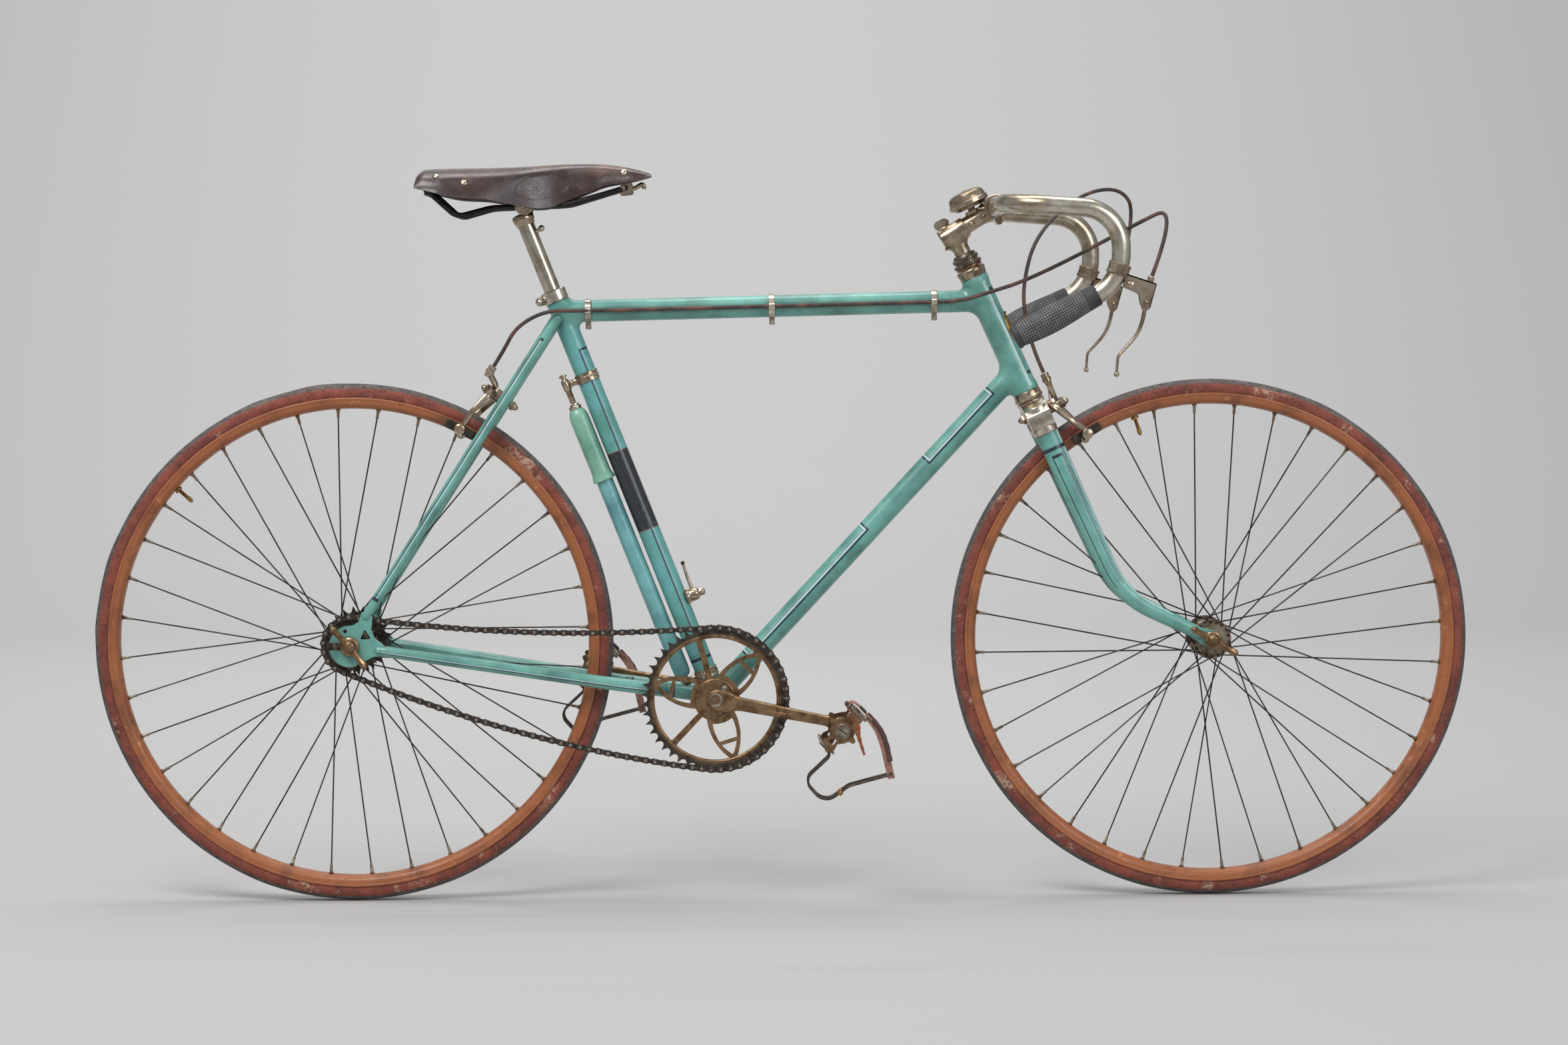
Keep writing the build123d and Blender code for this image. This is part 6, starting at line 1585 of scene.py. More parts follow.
def crank(side, name, node):
    """Forged crank: a long boss held by a cotter, a fluted arm that leans outward, and the pedal's eye."""
    along, up, out = crank_frame(side)
    build = Build()
    sides = 40
    stations = [(-12.5, 0.10), (-12.2, 3.8), (-11.2, 6.6), (-9.0, 9.6), (-5.5, 12.2), (-1.0, 13.8), (4, 14.6),
                (12, 14.6),
                (18, 14.2), (22, 13.0), (26, 10.8), (30, 9.3), (36, 8.7), (60, 8.3), (90, 7.7), (120, 7.1),
                (140, 6.8),
                (146, 7.0), (150, 8.2), (153, 10.0), (157, 11.9), (161, 12.8), (165, 13.0), (169, 12.6),
                (172.5, 10.8),
                (175.4, 8.0), (177.3, 4.4), (178.0, 0.1)]
    rows = []
    for s, half_high in stations:
        lean = smooth((s - 20) / 125)
        inner = CRANK_INNER_Y + (CRANK_EYE_INNER_Y - CRANK_INNER_Y) * lean
        narrowed = 2.5 * smooth((s - 20) / 12) * (1 - smooth((s - 140) / 10))
        thick = CRANK_THICK + 1.5 if s < 20 else CRANK_THICK - narrowed
        flute = 1.6 * smooth((s - 30) / 14) * (1 - smooth((s - 126) / 14))
        row = []
        for j in range(sides):
            t = 360 * j / sides
            c, d = cosd(t), sind(t)
            power = 0.45
            y_share = math.copysign(abs(c) ** power, c)
            z_share = math.copysign(abs(d) ** power, d)
            dip = flute * max(0.0, 1 - (z_share / 0.45) ** 2) if c > 0 else 0.0
            y = inner + thick / 2 + y_share * thick / 2 - dip
            row.append(BB + along * s + up * (z_share * half_high) + out * y)
        rows.append(row if side < 0 else row[::-1])
    starts = build.grid(rows, turns(sides), [s for s, _ in stations])
    build.cap(starts[0], sides, 0, True)
    build.cap(starts[-1], sides, 0)
    face = CRANK_INNER_Y + CRANK_THICK + 1.5
    boss = BB + out * (face - 0.2)
    build.lathe(boss, out, [(0, 9.4), (0.9, 9.0), (1.3, 8.2), (1.3, 6.8), (0.5, 5.9), (-2.0, 4.2),
                            (-4.0, 0.3)], 36, 1)
    cotter = BB + along * 9.4 + out * (CRANK_INNER_Y + 7)
    build.rod(cotter - up * 17.6, cotter + up * 21, 7.4, 6.6, 16, 1, 0.8)
    build.nut(cotter + up * 13.6, up, 10.5, 5.2, 1, 12)
    build.lathe(cotter + up * 12.9, up, [(0, 6.2), (0.9, 6.2), (1.0, 4)], 20, 1)
    eye = BB + along * CRANK_LENGTH + out * (CRANK_EYE_INNER_Y + CRANK_THICK)
    axle = [(0, 6.8), (0.4, 7.2), (3.0, 7.2), (3.4, 6.6), (3.4, 4.6)]
    build.lathe(eye - out * 0.4, out, axle, 6, 1)
    build.rod(eye, eye + out * (PEDAL_OUT - 6 - CRANK_EYE_INNER_Y - CRANK_THICK), 9, None, 20, 1)
    end_face = BB + along * CRANK_LENGTH + out * (CRANK_EYE_INNER_Y - 0.2)
    build.lathe(end_face + out * 0.6, -out, [(0, 7.6), (0.5, 7.6), (0.9, 6.9), (0.9, 2), (0.3, 0.4)], 28, 1)
    piece(name, build, [BRONZE, NICKEL_DULL], "cranks", [node], sharp=32)


def spindle():
    build = Build()
    reach = CRANK_INNER_Y + CRANK_THICK + 1.0
    build.lathe(BB - Y_AXIS * reach, Y_AXIS, [(0, 5), (0, SPINDLE_R - 0.6), (0.6, SPINDLE_R),
                                              (2 * reach - 0.6, SPINDLE_R),
                (2 * reach, SPINDLE_R - 0.6), (2 * reach, 5)], 32)
    for side in (-1, 1):
        face = BB + Y_AXIS * side * 38.0
        build.lathe(face, Y_AXIS * side, [(0, 13.5), (1.2, 14.5), (3.4, 14.5), (4.2, 13.2), (4.2, 9)], 36, 0)
    piece("spindle_form", build, NICKEL_RUSTY, "cranks", ["crank_spindle"], sharp=40)


def pedal_axes(side):
    """The pedal's middle on its axle, then forward-up, up-back and outward."""
    along, _, out = crank_frame(side)
    middle = BB + along * CRANK_LENGTH
    ex = V(cosd(PEDAL_TILT), 0, sind(PEDAL_TILT))
    ez = V(-sind(PEDAL_TILT), 0, cosd(PEDAL_TILT))
    return middle, ex, ez, out


def end_plate_outline():
    """A rat-trap end plate: round at the axle, horned above and below, and drawn out to the cages."""
    half = PEDAL_WIDTH / 2
    quarter = [(half - 0.4, 8.5), (half - 5, 9.5), (half - 12, 7.0), (14.5, 9.0), (9.5, 12.8), (4.4, 15.2),
               (2.6, 20.6),
               (0.9, 21.6)]
    upper = quarter + [(-x, z) for x, z in reversed(quarter)]
    return upper + [(-x, -z) for x, z in upper]


def cage_plate(build, middle, along, up, normal, half_length, slot):
    """A side cage: a strip pierced by a long slot, with teeth cut along both edges."""
    teeth = 7
    run = 2 * (half_length - 4)
    top = [(half_length, 4.0), (half_length - 2.5, 9.4)]
    for k in range(teeth):
        x = run / 2 - run * k / teeth
        w = run / teeth
        top += [(x - 0.12 * w, 9.8), (x - 0.34 * w, 12.8), (x - 0.5 * w, 13.2), (x - 0.66 * w, 12.8),
                (x - 0.88 * w, 9.8)]
    top += [(-half_length + 2.5, 9.4), (-half_length, 4.0)]
    outline = top + [(-x, -z) for x, z in top]
    slots = []
    for k in (-1, 0, 1):
        wide = run / 3 - 5
        slots.append(rounded([(k * run / 3 - wide / 2, -4.4), (k * run / 3 + wide / 2, -4.4),
                              (k * run / 3 + wide / 2, 4.4), (k * run / 3 - wide / 2, 4.4)], 3.0))
    build.plate(outline, middle - normal * 1.1, along, up, 2.2 if along.cross(up).dot(normal) > 0 else -2.2,
                slot, slots)


def pedal(side, name, node, body):
    """Rat-trap pedal: dust cap, barrel, horned end plates and toothed cages."""
    middle, ex, ez, out = pedal_axes(side)
    build = Build()
    half = PEDAL_WIDTH / 2
    outline = end_plate_outline()
    facing = ex.cross(ez).dot(out) > 0
    for at in (PEDAL_IN + 5, PEDAL_OUT - 9):
        holes = [circle(9.2, 28)]
        for sx in (-1, 1):
            holes.append(rounded([(sx * 14, -3.2), (sx * 21.5, -4.4), (sx * 21.5, 4.4), (sx * 14, 3.2)][::sx],
                                 1.4))
        build.plate(outline, middle + out * (at - 1.4), ex, ez, 2.8 if facing else -2.8, 0, holes)
    centre_y = (PEDAL_IN + PEDAL_OUT) / 2
    for sx in (-1, 1):
        cage_plate(build, middle + ex * (sx * half) + out * centre_y, out, ez, ex,
                   (PEDAL_OUT - PEDAL_IN) / 2 - 4, 1)
    a, b = PEDAL_IN, PEDAL_OUT
    barrel = [(a, 5.2), (a, 8.4), (a + 0.8, 9.2), (a + 4, 9.2), (a + 5, 10.6), (a + 8, 10.6), (a + 9, 9.0),
              (a + 14, 8.5),
              (b - 24, 8.5), (b - 14, 9.6), (b - 11, 10.6), (b - 7.8, 11.4), (b - 7.0, 11.4), (b - 6.6, 10.2)]
    build.lathe(middle, out, barrel, 36, 0)
    cap = [(b - 6.8, 9.8), (b - 1.6, 9.6), (b - 0.8, 9.0), (b - 0.7, 8.1), (b - 1.5, 7.6), (b - 1.5, 6.9),
           (b - 1.0, 6.7),
           (b - 0.6, 3.0), (b - 0.5, 0.3)]
    build.lathe(middle, out, cap, 36, 2)
    build.box(middle + out * (b - 0.75), (ex * cosd(12) + ez * sind(12)), (ez * cosd(12) - ex * sind(12)),
              ex.cross(ez), (1.3, 12.6, 0.7), 3)
    piece(name, build, [BRONZE, NICKEL_RUSTY, NICKEL_DULL, BLACK], body, [node], sharp=30)


def make_drive():
    pins, big_phase, small_phase = chain_pins()
    chain(pins)
    chainwheel(big_phase)
    sprockets(small_phase)
    spindle()
    for side, word in ((-1, "right"), (1, "left")):
        crank(side, "crank_form_" + word, "crank_" + word)
        pedal(side, "pedal_form_" + word, "pedal_" + word, "pedal_" + word)


# Bars, stem, bell, grips and brake levers

BAR_D = 24.0
BAR_HALF = 200.0
BAR_CLAMP = steer_point(63, 0, 629)
STEM_CENTRE = steer_point(0, 0, 620.1)
GRIP_START = V(985, 0, 803.7)
BAR_END = V(856, 0, 737)
GRIP_DIRECTION = (BAR_END - GRIP_START).normalized()
GRIP_LENGTH = 118.0
GRIP_TIP_OUT = 6.0
GRIP_RIBS = 30
GRIP_PITCH = 3.3
CABLE_D = 5.0


def handlebar():
    build = Build()
    points = [V(856, -BAR_HALF, 737), V(985, -BAR_HALF, 803.7), V(985, -BAR_HALF, 894),
              V(841, -BAR_HALF, 904)]
    points += [flip(p) for p in points[::-1]]
    path = arc_path(points, [58, 50, 55, 55, 50, 58], 5)
    build.tube(path, BAR_D / 2, 32, side=NEAR)
    sleeve = [(-46, 11.8), (-42, 12.9), (-24, 13.1), (24, 13.1), (42, 12.9), (46, 11.8)]
    build.lathe(BAR_CLAMP, Y_AXIS, sleeve, 40)
    piece("handlebar_form", build, BAR_NICKEL, "steering", ["handlebar"], sharp=40)


def stem():
    """The quill rises into a barrel, from which the extension runs to a clamp round the bar."""
    build = Build()
    ahead = (BAR_CLAMP - STEM_CENTRE).normalized()
    over = Y_AXIS.cross(ahead) * -1
    neck = (STEM_CENTRE, ahead, 13.4, 9.0)
    braze_tube(build, steer_point(0, 0, 560), STEM_CENTRE, 21.8, None, neck, 36)
    barrel = [(-19, 0.2), (-19, 12.2), (-18, 13.2), (-17, 13.5), (16, 13.5), (17.5, 13.1), (18, 12.2),
              (18, 11.2), (22, 11.0), (40, 11.0), (46, 12.4), (52, 15.0)]
    build.lathe(STEM_CENTRE, ahead, barrel, 40)
    clamp = [(-22, 12.6), (-22, 15.2), (-21, 16), (-6, 16), (-5, 15.6), (5, 15.6), (6, 16), (21, 16),
             (22, 15.2),
             (22, 12.6)]
    build.lathe(BAR_CLAMP, Y_AXIS, clamp, 44, closed=True)
    build.lathe(BAR_CLAMP - over * 18 - ahead * 6 - Y_AXIS * 17, Y_AXIS,
                [(0, 0.2), (0, 3.4), (1, 4.6), (33, 4.6), (34, 3.4), (34, 0.2)], 20)
    bolt = steer_point(-10, 0, 0)
    build.lathe(bolt + STEER_UP * 629, STEER_UP, [(0, 6.5), (1, 7.2), (3.5, 7.2), (4.5, 6)], 24)
    wing = rounded([(-9, 0), (9, 0), (11, 7), (6, 11), (-6, 11), (-11, 7)], [1, 1, 4, 4, 4, 4])
    build.plate(wing, bolt + STEER_UP * 633 - Y_AXIS * 1.8, STEER_FORWARD, STEER_UP, -3.6)
    for forward in (26, 44):
        build.lathe(STEM_CENTRE + ahead * forward - Y_AXIS * 10.4 - over * 2, NEAR,
                    [(0, 3.6), (0.8, 3.9), (1.8, 3.4), (2.6, 2.0), (2.8, 0.2)], 16)
    piece("stem_form", build, NICKEL_WARM, "steering", ["stem"], sharp=38)


def bell():
    """A domed gong with a rolled band, on a small base with its thumb lever."""
    build = Build()
    foot = steer_point(34, 0, 636)
    dome = [(5.5, 0.2), (5.5, 18), (7.5, 21), (9.8, 24.6), (10, 26.2), (10.8, 26.8), (15.2, 26.8),
            (15.9, 26.2),
            (16.1, 25.2), (19.5, 24.9), (24, 23.4), (26.6, 20.4), (28, 16.0), (28.8, 10), (29, 4),
            (29.4, 3.2),
            (29.6, 0.2)]
    build.lathe(foot, STEER_UP, dome, 48)
    build.lathe(foot, STEER_UP, [(-3, 0.2), (-3, 9.5), (-2, 10.6), (1.5, 10.6), (2.4, 9), (2.4, 5), (6, 4.6)],
                28)
    build.tube(arc_path([foot + V(6, -12, 4), foot + V(22, -17, 4), foot + V(28, -22, -2)], 6, 15), 1.9, 10,
               round_ends=0.8)
    piece("bell_form", build, NICKEL_WARM, "steering", ["bell"], sharp=30)


def grip_radius(along):
    """Swelling from the front collar to the palm, then in again to the flange at the end."""
    if along < 6:
        return 15.6
    if along < 9:
        return 14.4
    if along > GRIP_LENGTH - 16:
        return 14.2 - 0.5 * (along - GRIP_LENGTH + 16) / 16
    share = (along - 9) / (GRIP_LENGTH - 25)
    return 14.6 + 3.1 * math.sin(math.pi * share**0.85) ** 1.2


def grip(build, side):
    """Rubber grip with raised lines that cross in squares."""
    tip = BAR_END + GRIP_DIRECTION * GRIP_TIP_OUT + Y_AXIS * (side * BAR_HALF)
    axis = GRIP_DIRECTION * -1
    first = NEAR
    second = axis.cross(first)
    count = GRIP_RIBS * 4
    angles = []
    for n in range(GRIP_RIBS):
        start = 360 * n / GRIP_RIBS
        pitch = 360 / GRIP_RIBS
        angles += [start, start + 0.24 * pitch, start + 0.36 * pitch, start + 0.88 * pitch]
    stations = [(0.0, 0.2, 0), (0.0, 10.5, 0), (0.6, 14.2, 0), (1.6, 15.5, 0), (5.4, 15.5, 0), (6.0, 14.4, 0),
                (8.6, 14.3, 0)]
    run = 9.0
    while run < GRIP_LENGTH - 16 - GRIP_PITCH:
        for share, sunk in ((0.0, 0), (0.24, 0), (0.36, 1), (0.88, 1)):
            at = run + share * GRIP_PITCH
            stations.append((at, grip_radius(at), sunk))
        run += GRIP_PITCH
    stations += [(run, grip_radius(run), 0), (run + 0.6, 14.6, 0), (GRIP_LENGTH - 3, 13.9, 0),
                 (GRIP_LENGTH - 0.8, 13.6, 0), (GRIP_LENGTH, 12.8, 0), (GRIP_LENGTH, 12.1, 0)]
    rows = []
    for at, r, sunk in stations:
        row = []
        for k, angle in enumerate(angles):
            reach = r - (0.9 if sunk and k % 4 >= 2 else 0.0)
            row.append(tip + axis * at + first * (reach * cosd(angle)) + second * (reach * sind(angle)))
        rows.append(row)
    pitch = 360 / GRIP_RIBS

    def line_or_field(angle, along):
        if along < 9 or along > run:
            return 0
        on_rib = angle % pitch < 0.24 * pitch or (along - 9) % GRIP_PITCH < 0.24 * GRIP_PITCH
        return 1 if on_rib else 0

    starts = build.grid(rows, angles + [360.0], [s[0] for s in stations], line_or_field)
    build.cap(starts[0], count, 0, True)


def grips():
    build = Build()
    for side in (-1, 1):
        grip(build, side)
    piece("grips_form", build, [GRIP, GRIP_LINE], "steering", ["grips"], sharp=50)


LEVER_BAND = V(981.8, 0, 820)
LEVER_LEAN = V(0.327, 0, 0.945)
BRACKET = [(990, 814.5), (1029, 801.5), (1020.5, 771), (1013, 765), (1008, 779), (1007, 789), (987, 797.5)]
BRACKET_THICK = 13.0
FERRULE_TOP = V(1023.5, 0, 811)


def lever_ferrule(side, up):
    return V(FERRULE_TOP.x + 0.38 * up, side * BAR_HALF, FERRULE_TOP.z + up)


def brake_lever(build, side):
    """A folded bracket on a band round the bar, with a long curved blade that ends in a ball."""
    middle = Y_AXIS * (side * BAR_HALF)
    ring(build, LEVER_BAND + middle - LEVER_LEAN * 7, LEVER_LEAN, 14.1, 12.05, 14, sides=40, edge=0.7)
    ring(build, LEVER_BAND + middle - LEVER_LEAN * 7.2, LEVER_LEAN, 14.8, 13.6, 3.0, sides=40, edge=0.5)
    ring(build, LEVER_BAND + middle + LEVER_LEAN * 4.2, LEVER_LEAN, 14.8, 13.6, 3.0, sides=40, edge=0.5)
    ahead = V(LEVER_LEAN.z, 0, -LEVER_LEAN.x)
    build.box(LEVER_BAND + middle + ahead * 2 + Y_AXIS * -14.4, ahead, LEVER_LEAN, ahead.cross(LEVER_LEAN),
              (9, 9, 1.8))
    cheek = rounded(BRACKET, [2, 3, 5, 4, 7, 7, 4])
    ex, ez = X_AXIS, UP
    half = BRACKET_THICK / 2
    for out in (-1, 1):
        inner = middle + Y_AXIS * (out * (half - 2))
        build.plate(cheek, inner, ex, ez, -2 * out)
        for place, r in (((996.5, 800.5), 4.2), ((1016.5, 778.5), 2.4)):
            rivet = inner + V(place[0], 2 * out, place[1])
            build.lathe(rivet, Y_AXIS * out, [(0, r), (0.7, r * 0.96), (1.4, r * 0.7), (1.8, 0.2)], 20)
    spine = [(1029, 801.5), (1020.5, 771), (1019.6, 771.8), (1027.4, 800.2), (990, 812.6), (990.4, 814.4)]
    build.plate(spine, middle + Y_AXIS * half, ex, ez, BRACKET_THICK)
    build.lathe(lever_ferrule(side, -15), lever_ferrule(side, 1) - lever_ferrule(side, 0),
                [(0, 3.9), (10.5, 3.9), (11, 4.3), (14.6, 4.3), (15.2, 3.7), (15.2, 2.7)], 20)

    def blade_shape(angle):
        a, b = cosd(angle), sind(angle)
        return abs(a) ** 0.7 * (1 if a > 0 else -1), 0.46 * abs(b) ** 0.8 * (1 if b > 0 else -1)

    blade = arc_path([V(1017, 0, 783) + middle, V(1008.5, 0, 741) + middle, V(980.5, 0, 711) + middle,
                      V(979, 0, 690) + middle], [60, 14], 6)
    build.tube(divided(blade, 8), lambda share: 5.8 - 1.9 * smooth(share), 16, side=Y_AXIS, shape=blade_shape,
               round_ends=1.0)
    build.ball(V(979, 0, 688.6) + middle, 3.6, sides=14)


def brake_levers():
    build = Build()
    for side in (-1, 1):
        brake_lever(build, side)
    piece("brake_levers_form", build, NICKEL_WARM, "steering", ["brake_levers"], sharp=38)


# Cables: each route is a list of given points, with one smooth line inside them

CABLE_SIDE = 18.3


def on_top_tube(share):
    return TOP_TUBE_START + (TOP_TUBE_END - TOP_TUBE_START) * share - Y_AXIS * CABLE_SIDE


FRONT_ADJUSTER = V(890.7, -18, 714.8)
REAR_ADJUSTER = V(199.8, -24, 720.7)


def cable(name, points, body, node):
    build = Build()
    build.tube(divided(flowing_line(points, 10), 6), CABLE_D / 2, 16)
    return piece(name, build, CABLE, body, [node], sharp=50)


def rear_cable_loop():
    """The free loop from the near lever to the top tube."""
    points = [
        lever_ferrule(-1, 0.3), V(1059, -192, 903), V(1002, -154, 874), V(930, -94, 834), V(872, -46, 806),
        V(834, -26, 794), on_top_tube(0.94) - Y_AXIS * 3, on_top_tube(0.9013),
    ]
    obj = cable("rear_cable_loop_form", points, None, "rear_cable_loop")
    row_frame(points[-1])
    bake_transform(obj)


def front_cable():
    cable("front_cable_form", [
        lever_ferrule(1, 0.3), V(1047, 196, 900), V(1024, 176, 936), V(964, 120, 926), V(898, 46, 870),
        V(877, 4, 802), V(880, -10, 756), FRONT_ADJUSTER, FRONT_ADJUSTER - STEER_UP * 29,
    ], "steering", "front_cable")


def rear_cable_run():
    cable("rear_cable_run_form", [
        on_top_tube(0.90), on_top_tube(0.62), on_top_tube(0.33), on_top_tube(0.042), V(256, -33, 773),
        V(217, -34, 752), REAR_ADJUSTER, V(187, -22, 701),
    ], "frame", "rear_cable_run")


CLIP_SHARES = (0.064, 0.497, 0.88)


def cable_clips():
    """Bands round the top tube with an eye for the cable and a bolt under the tube."""
    build = Build()
    along = (TOP_TUBE_END - TOP_TUBE_START).normalized()
    down = along.cross(Y_AXIS) * (-1 if along.cross(Y_AXIS).z > 0 else 1)
    for share in CLIP_SHARES:
        middle = on_top_tube(share) + Y_AXIS * CABLE_SIDE
        ring(build, middle - along * 4, along, 15.8, BAND_BORE_R, 8, sides=48, edge=0.5)
        eye = middle - Y_AXIS * CABLE_SIDE
        ring(build, eye - along * 4, along, 4.3, 2.6, 8, sides=24, edge=0.4)
        for out in (-1, 1):
            build.box(middle + down * 19.5 + Y_AXIS * (out * 1.7), along, down, along.cross(down),
                      (7.4, 9, 1.5))
        build.lathe(middle + down * 20.5 - Y_AXIS * 4.5, Y_AXIS,
                    [(0, 0.2), (0.2, 2.2), (1.4, 2.9), (2, 2.9), (2.1, 1.9), (7.6, 1.9), (7.7, 2.9),
                     (9.4, 2.6),
                     (9.6, 0.2)], 14)
    piece("cable_clips_form", build, NICKEL, "frame", ["cable_clips"], sharp=40)


def make_controls():
    handlebar()
    stem()
    bell()
    grips()
    brake_levers()
    front_cable()
    rear_cable_run()
    rear_cable_loop()
    cable_clips()


# Saddle, seat post and collar

SADDLE_REAR_X = 90.0
SADDLE_NOSE_X = 393.0
SADDLE_TOP = [(90, 941), (91.5, 947.5), (95, 952.5), (101, 955.8), (120, 957), (206, 958.6), (277, 962.2),
              (313, 962.8), (338, 961.5), (363, 957.8), (384, 952.4), (390, 950.4), (393, 948.6)]
SADDLE_EDGE = [(90, 931), (116, 924.5), (140, 919.5), (176, 917), (200, 913), (225, 908), (242, 905),
               (263, 907),
               (288, 916), (313, 926), (334, 934), (359, 938.5), (382, 943.5), (393, 946.5)]
LEATHER_THICK = 4.6
RIVETS = ((117.8, 945.6, 4.2), (154.3, 936.8, 4.4), (357.6, 951.2, 4.4))


def between(table, x):
    """A smooth value between the named places of a table."""
    if x <= table[0][0]:
        return table[0][1]
    for k in range(len(table) - 1):
        (x0, y0), (x1, y1) = table[k], table[k + 1]
        if x <= x1:
            before = table[max(0, k - 1)]
            after = table[min(len(table) - 1, k + 2)]
            slope0 = (y1 - before[1]) / (x1 - before[0])
            slope1 = (after[1] - y0) / (after[0] - x0)
            t, span = (x - x0) / (x1 - x0), x1 - x0
            return (y0 * (2 * t**3 - 3 * t**2 + 1) + slope0 * span * (t**3 - 2 * t**2 + t)
                    + y1 * (3 * t**2 - 2 * t**3) + slope1 * span * (t**3 - t**2))
    return table[-1][1]


def saddle_half(x):
    share = (x - SADDLE_REAR_X) / (SADDLE_NOSE_X - SADDLE_REAR_X)
    half = 21 + 63 / (1 + math.exp(12 * (share - 0.42)))
    if share > 0.92:
        half *= 1 - 3.2 * (share - 0.92) - 22 * (share - 0.92) ** 2
    if share < 0.1:
        half *= 0.90 + share
    return half


def saddle_skin(x, share, inset=0.0):
    """A point of the leather: share runs from −1 at one flap's edge to 1 at the other's."""
    half = saddle_half(x) - inset
    top = between(SADDLE_TOP, x) - inset
    drop = top - between(SADDLE_EDGE, x)
    shoulder = min(14, 0.45 * drop)
    s = abs(share)
    corners = [(0, 0), (0.42 * half, 0.4), (0.74 * half, -0.25 * shoulder), (0.83 * half, -shoulder)]
    if s > 0.5:
        corners = [corners[3], (0.90 * half, -1.65 * shoulder), (0.95 * half, -0.72 * drop), (half, -drop)]
    t = (s * 2) % 1 if s < 1 and s != 0.5 else 1
    b = [(1 - t) ** 3, 3 * t * (1 - t) ** 2, 3 * t * t * (1 - t), t**3]
    y = sum(w * c[0] for w, c in zip(b, corners))
    z = sum(w * c[1] for w, c in zip(b, corners))
    return V(x, math.copysign(y, share), top + z)


def saddle_leather():
    build = Build()
    steps = 30
    shares = [2 * k / steps - 1 for k in range(steps + 1)]
    xs = [90, 90.6, 91.5, 93, 95, 98, 101, 105]
    xs += [105 + (386 - 105) * k / 56 for k in range(1, 57)] + [388.5, 390.5, 392, 393]
    rows = []
    for x in xs:
        outer = [saddle_skin(x, s) for s in shares]
        inner = [saddle_skin(x, s, LEATHER_THICK) for s in shares[::-1]]
        for point, match in ((inner[0], outer[-1]), (inner[-1], outer[0])):
            point.z = match.z + 0.4
        rims = [(outer[-1] + inner[0]) / 2 - UP * 1.2, (outer[0] + inner[-1]) / 2 - UP * 1.2]
        rows.append(outer + [rims[0]] + inner + [rims[1]])
    count = len(rows[0])
    starts = build.grid(rows, list(range(count + 1)), xs, 0)
    for start, turned in ((starts[0], True), (starts[-1], False)):
        pairs = steps + 1
        for k in range(steps):
            a, b = start + k, start + k + 1
            c, d = start + 2 * pairs - 1 - k, start + 2 * pairs - k
            corners = (a, b, c, d) if not turned else (d, c, b, a)
            build.add_face(corners, 0)
    for side in (-1, 1):
        for x, z, r in RIVETS:
            rivet(build, x, z, r, side)
    for y in (-26, 0, 26):
        build.lathe(V(91, y, 944), V(-1, 0, 0.25).normalized(),
                    [(0, 4.2), (0.9, 3.9), (1.8, 2.6), (2.2, 0.2)], 18, 1)
    embossed_oval(build)
    piece("saddle_leather_form", build, [LEATHER, NICKEL], "frame", ["saddle_leather"],
          sharp=50)


def skin_share(x, z):
    """How far down the flap, from 0 to 1, the leather has this height."""
    low, high = 0.3, 1.0
    for _ in range(30):
        mid = (low + high) / 2
        low, high = (mid, high) if saddle_skin(x, mid).z > z else (low, mid)
    return low


def skin_frame(x, z, side):
    s = skin_share(x, z) * side
    p = saddle_skin(x, s)
    ahead = (saddle_skin(x + 2, s) - p).normalized()
    down = (saddle_skin(x, s + 0.01 * side) - p).normalized()
    normal = ahead.cross(down).normalized()
    return p, normal if normal.y * side > 0 else -normal, ahead


def rivet(build, x, z, r, side):
    p, normal, _ = skin_frame(x, z, side)
    build.lathe(p - normal * 0.6, normal, [(0, r), (1.1, r), (1.9, r * 0.86), (2.5, r * 0.5), (2.7, 0.2)], 20,
                1)


def embossed_oval(build):
    """A low double line pressed into the flap, left bare inside."""
    for side in (-1, 1):
        for scale in (1.0, 0.94):
            line = []
            for k in range(49):
                x = 253 + 35.5 * scale * cosd(7.5 * k)
                z = 933 + 16.5 * scale * sind(7.5 * k) + 0.16 * (x - 253)
                p, normal, _ = skin_frame(x, z, side)
                line.append(p - normal * 0.15)
            build.tube(line, 0.38, 6)


RAIL_D = 7.5
RAIL_Y = 22.0
CLAMP = V(227.6, 0, 908)


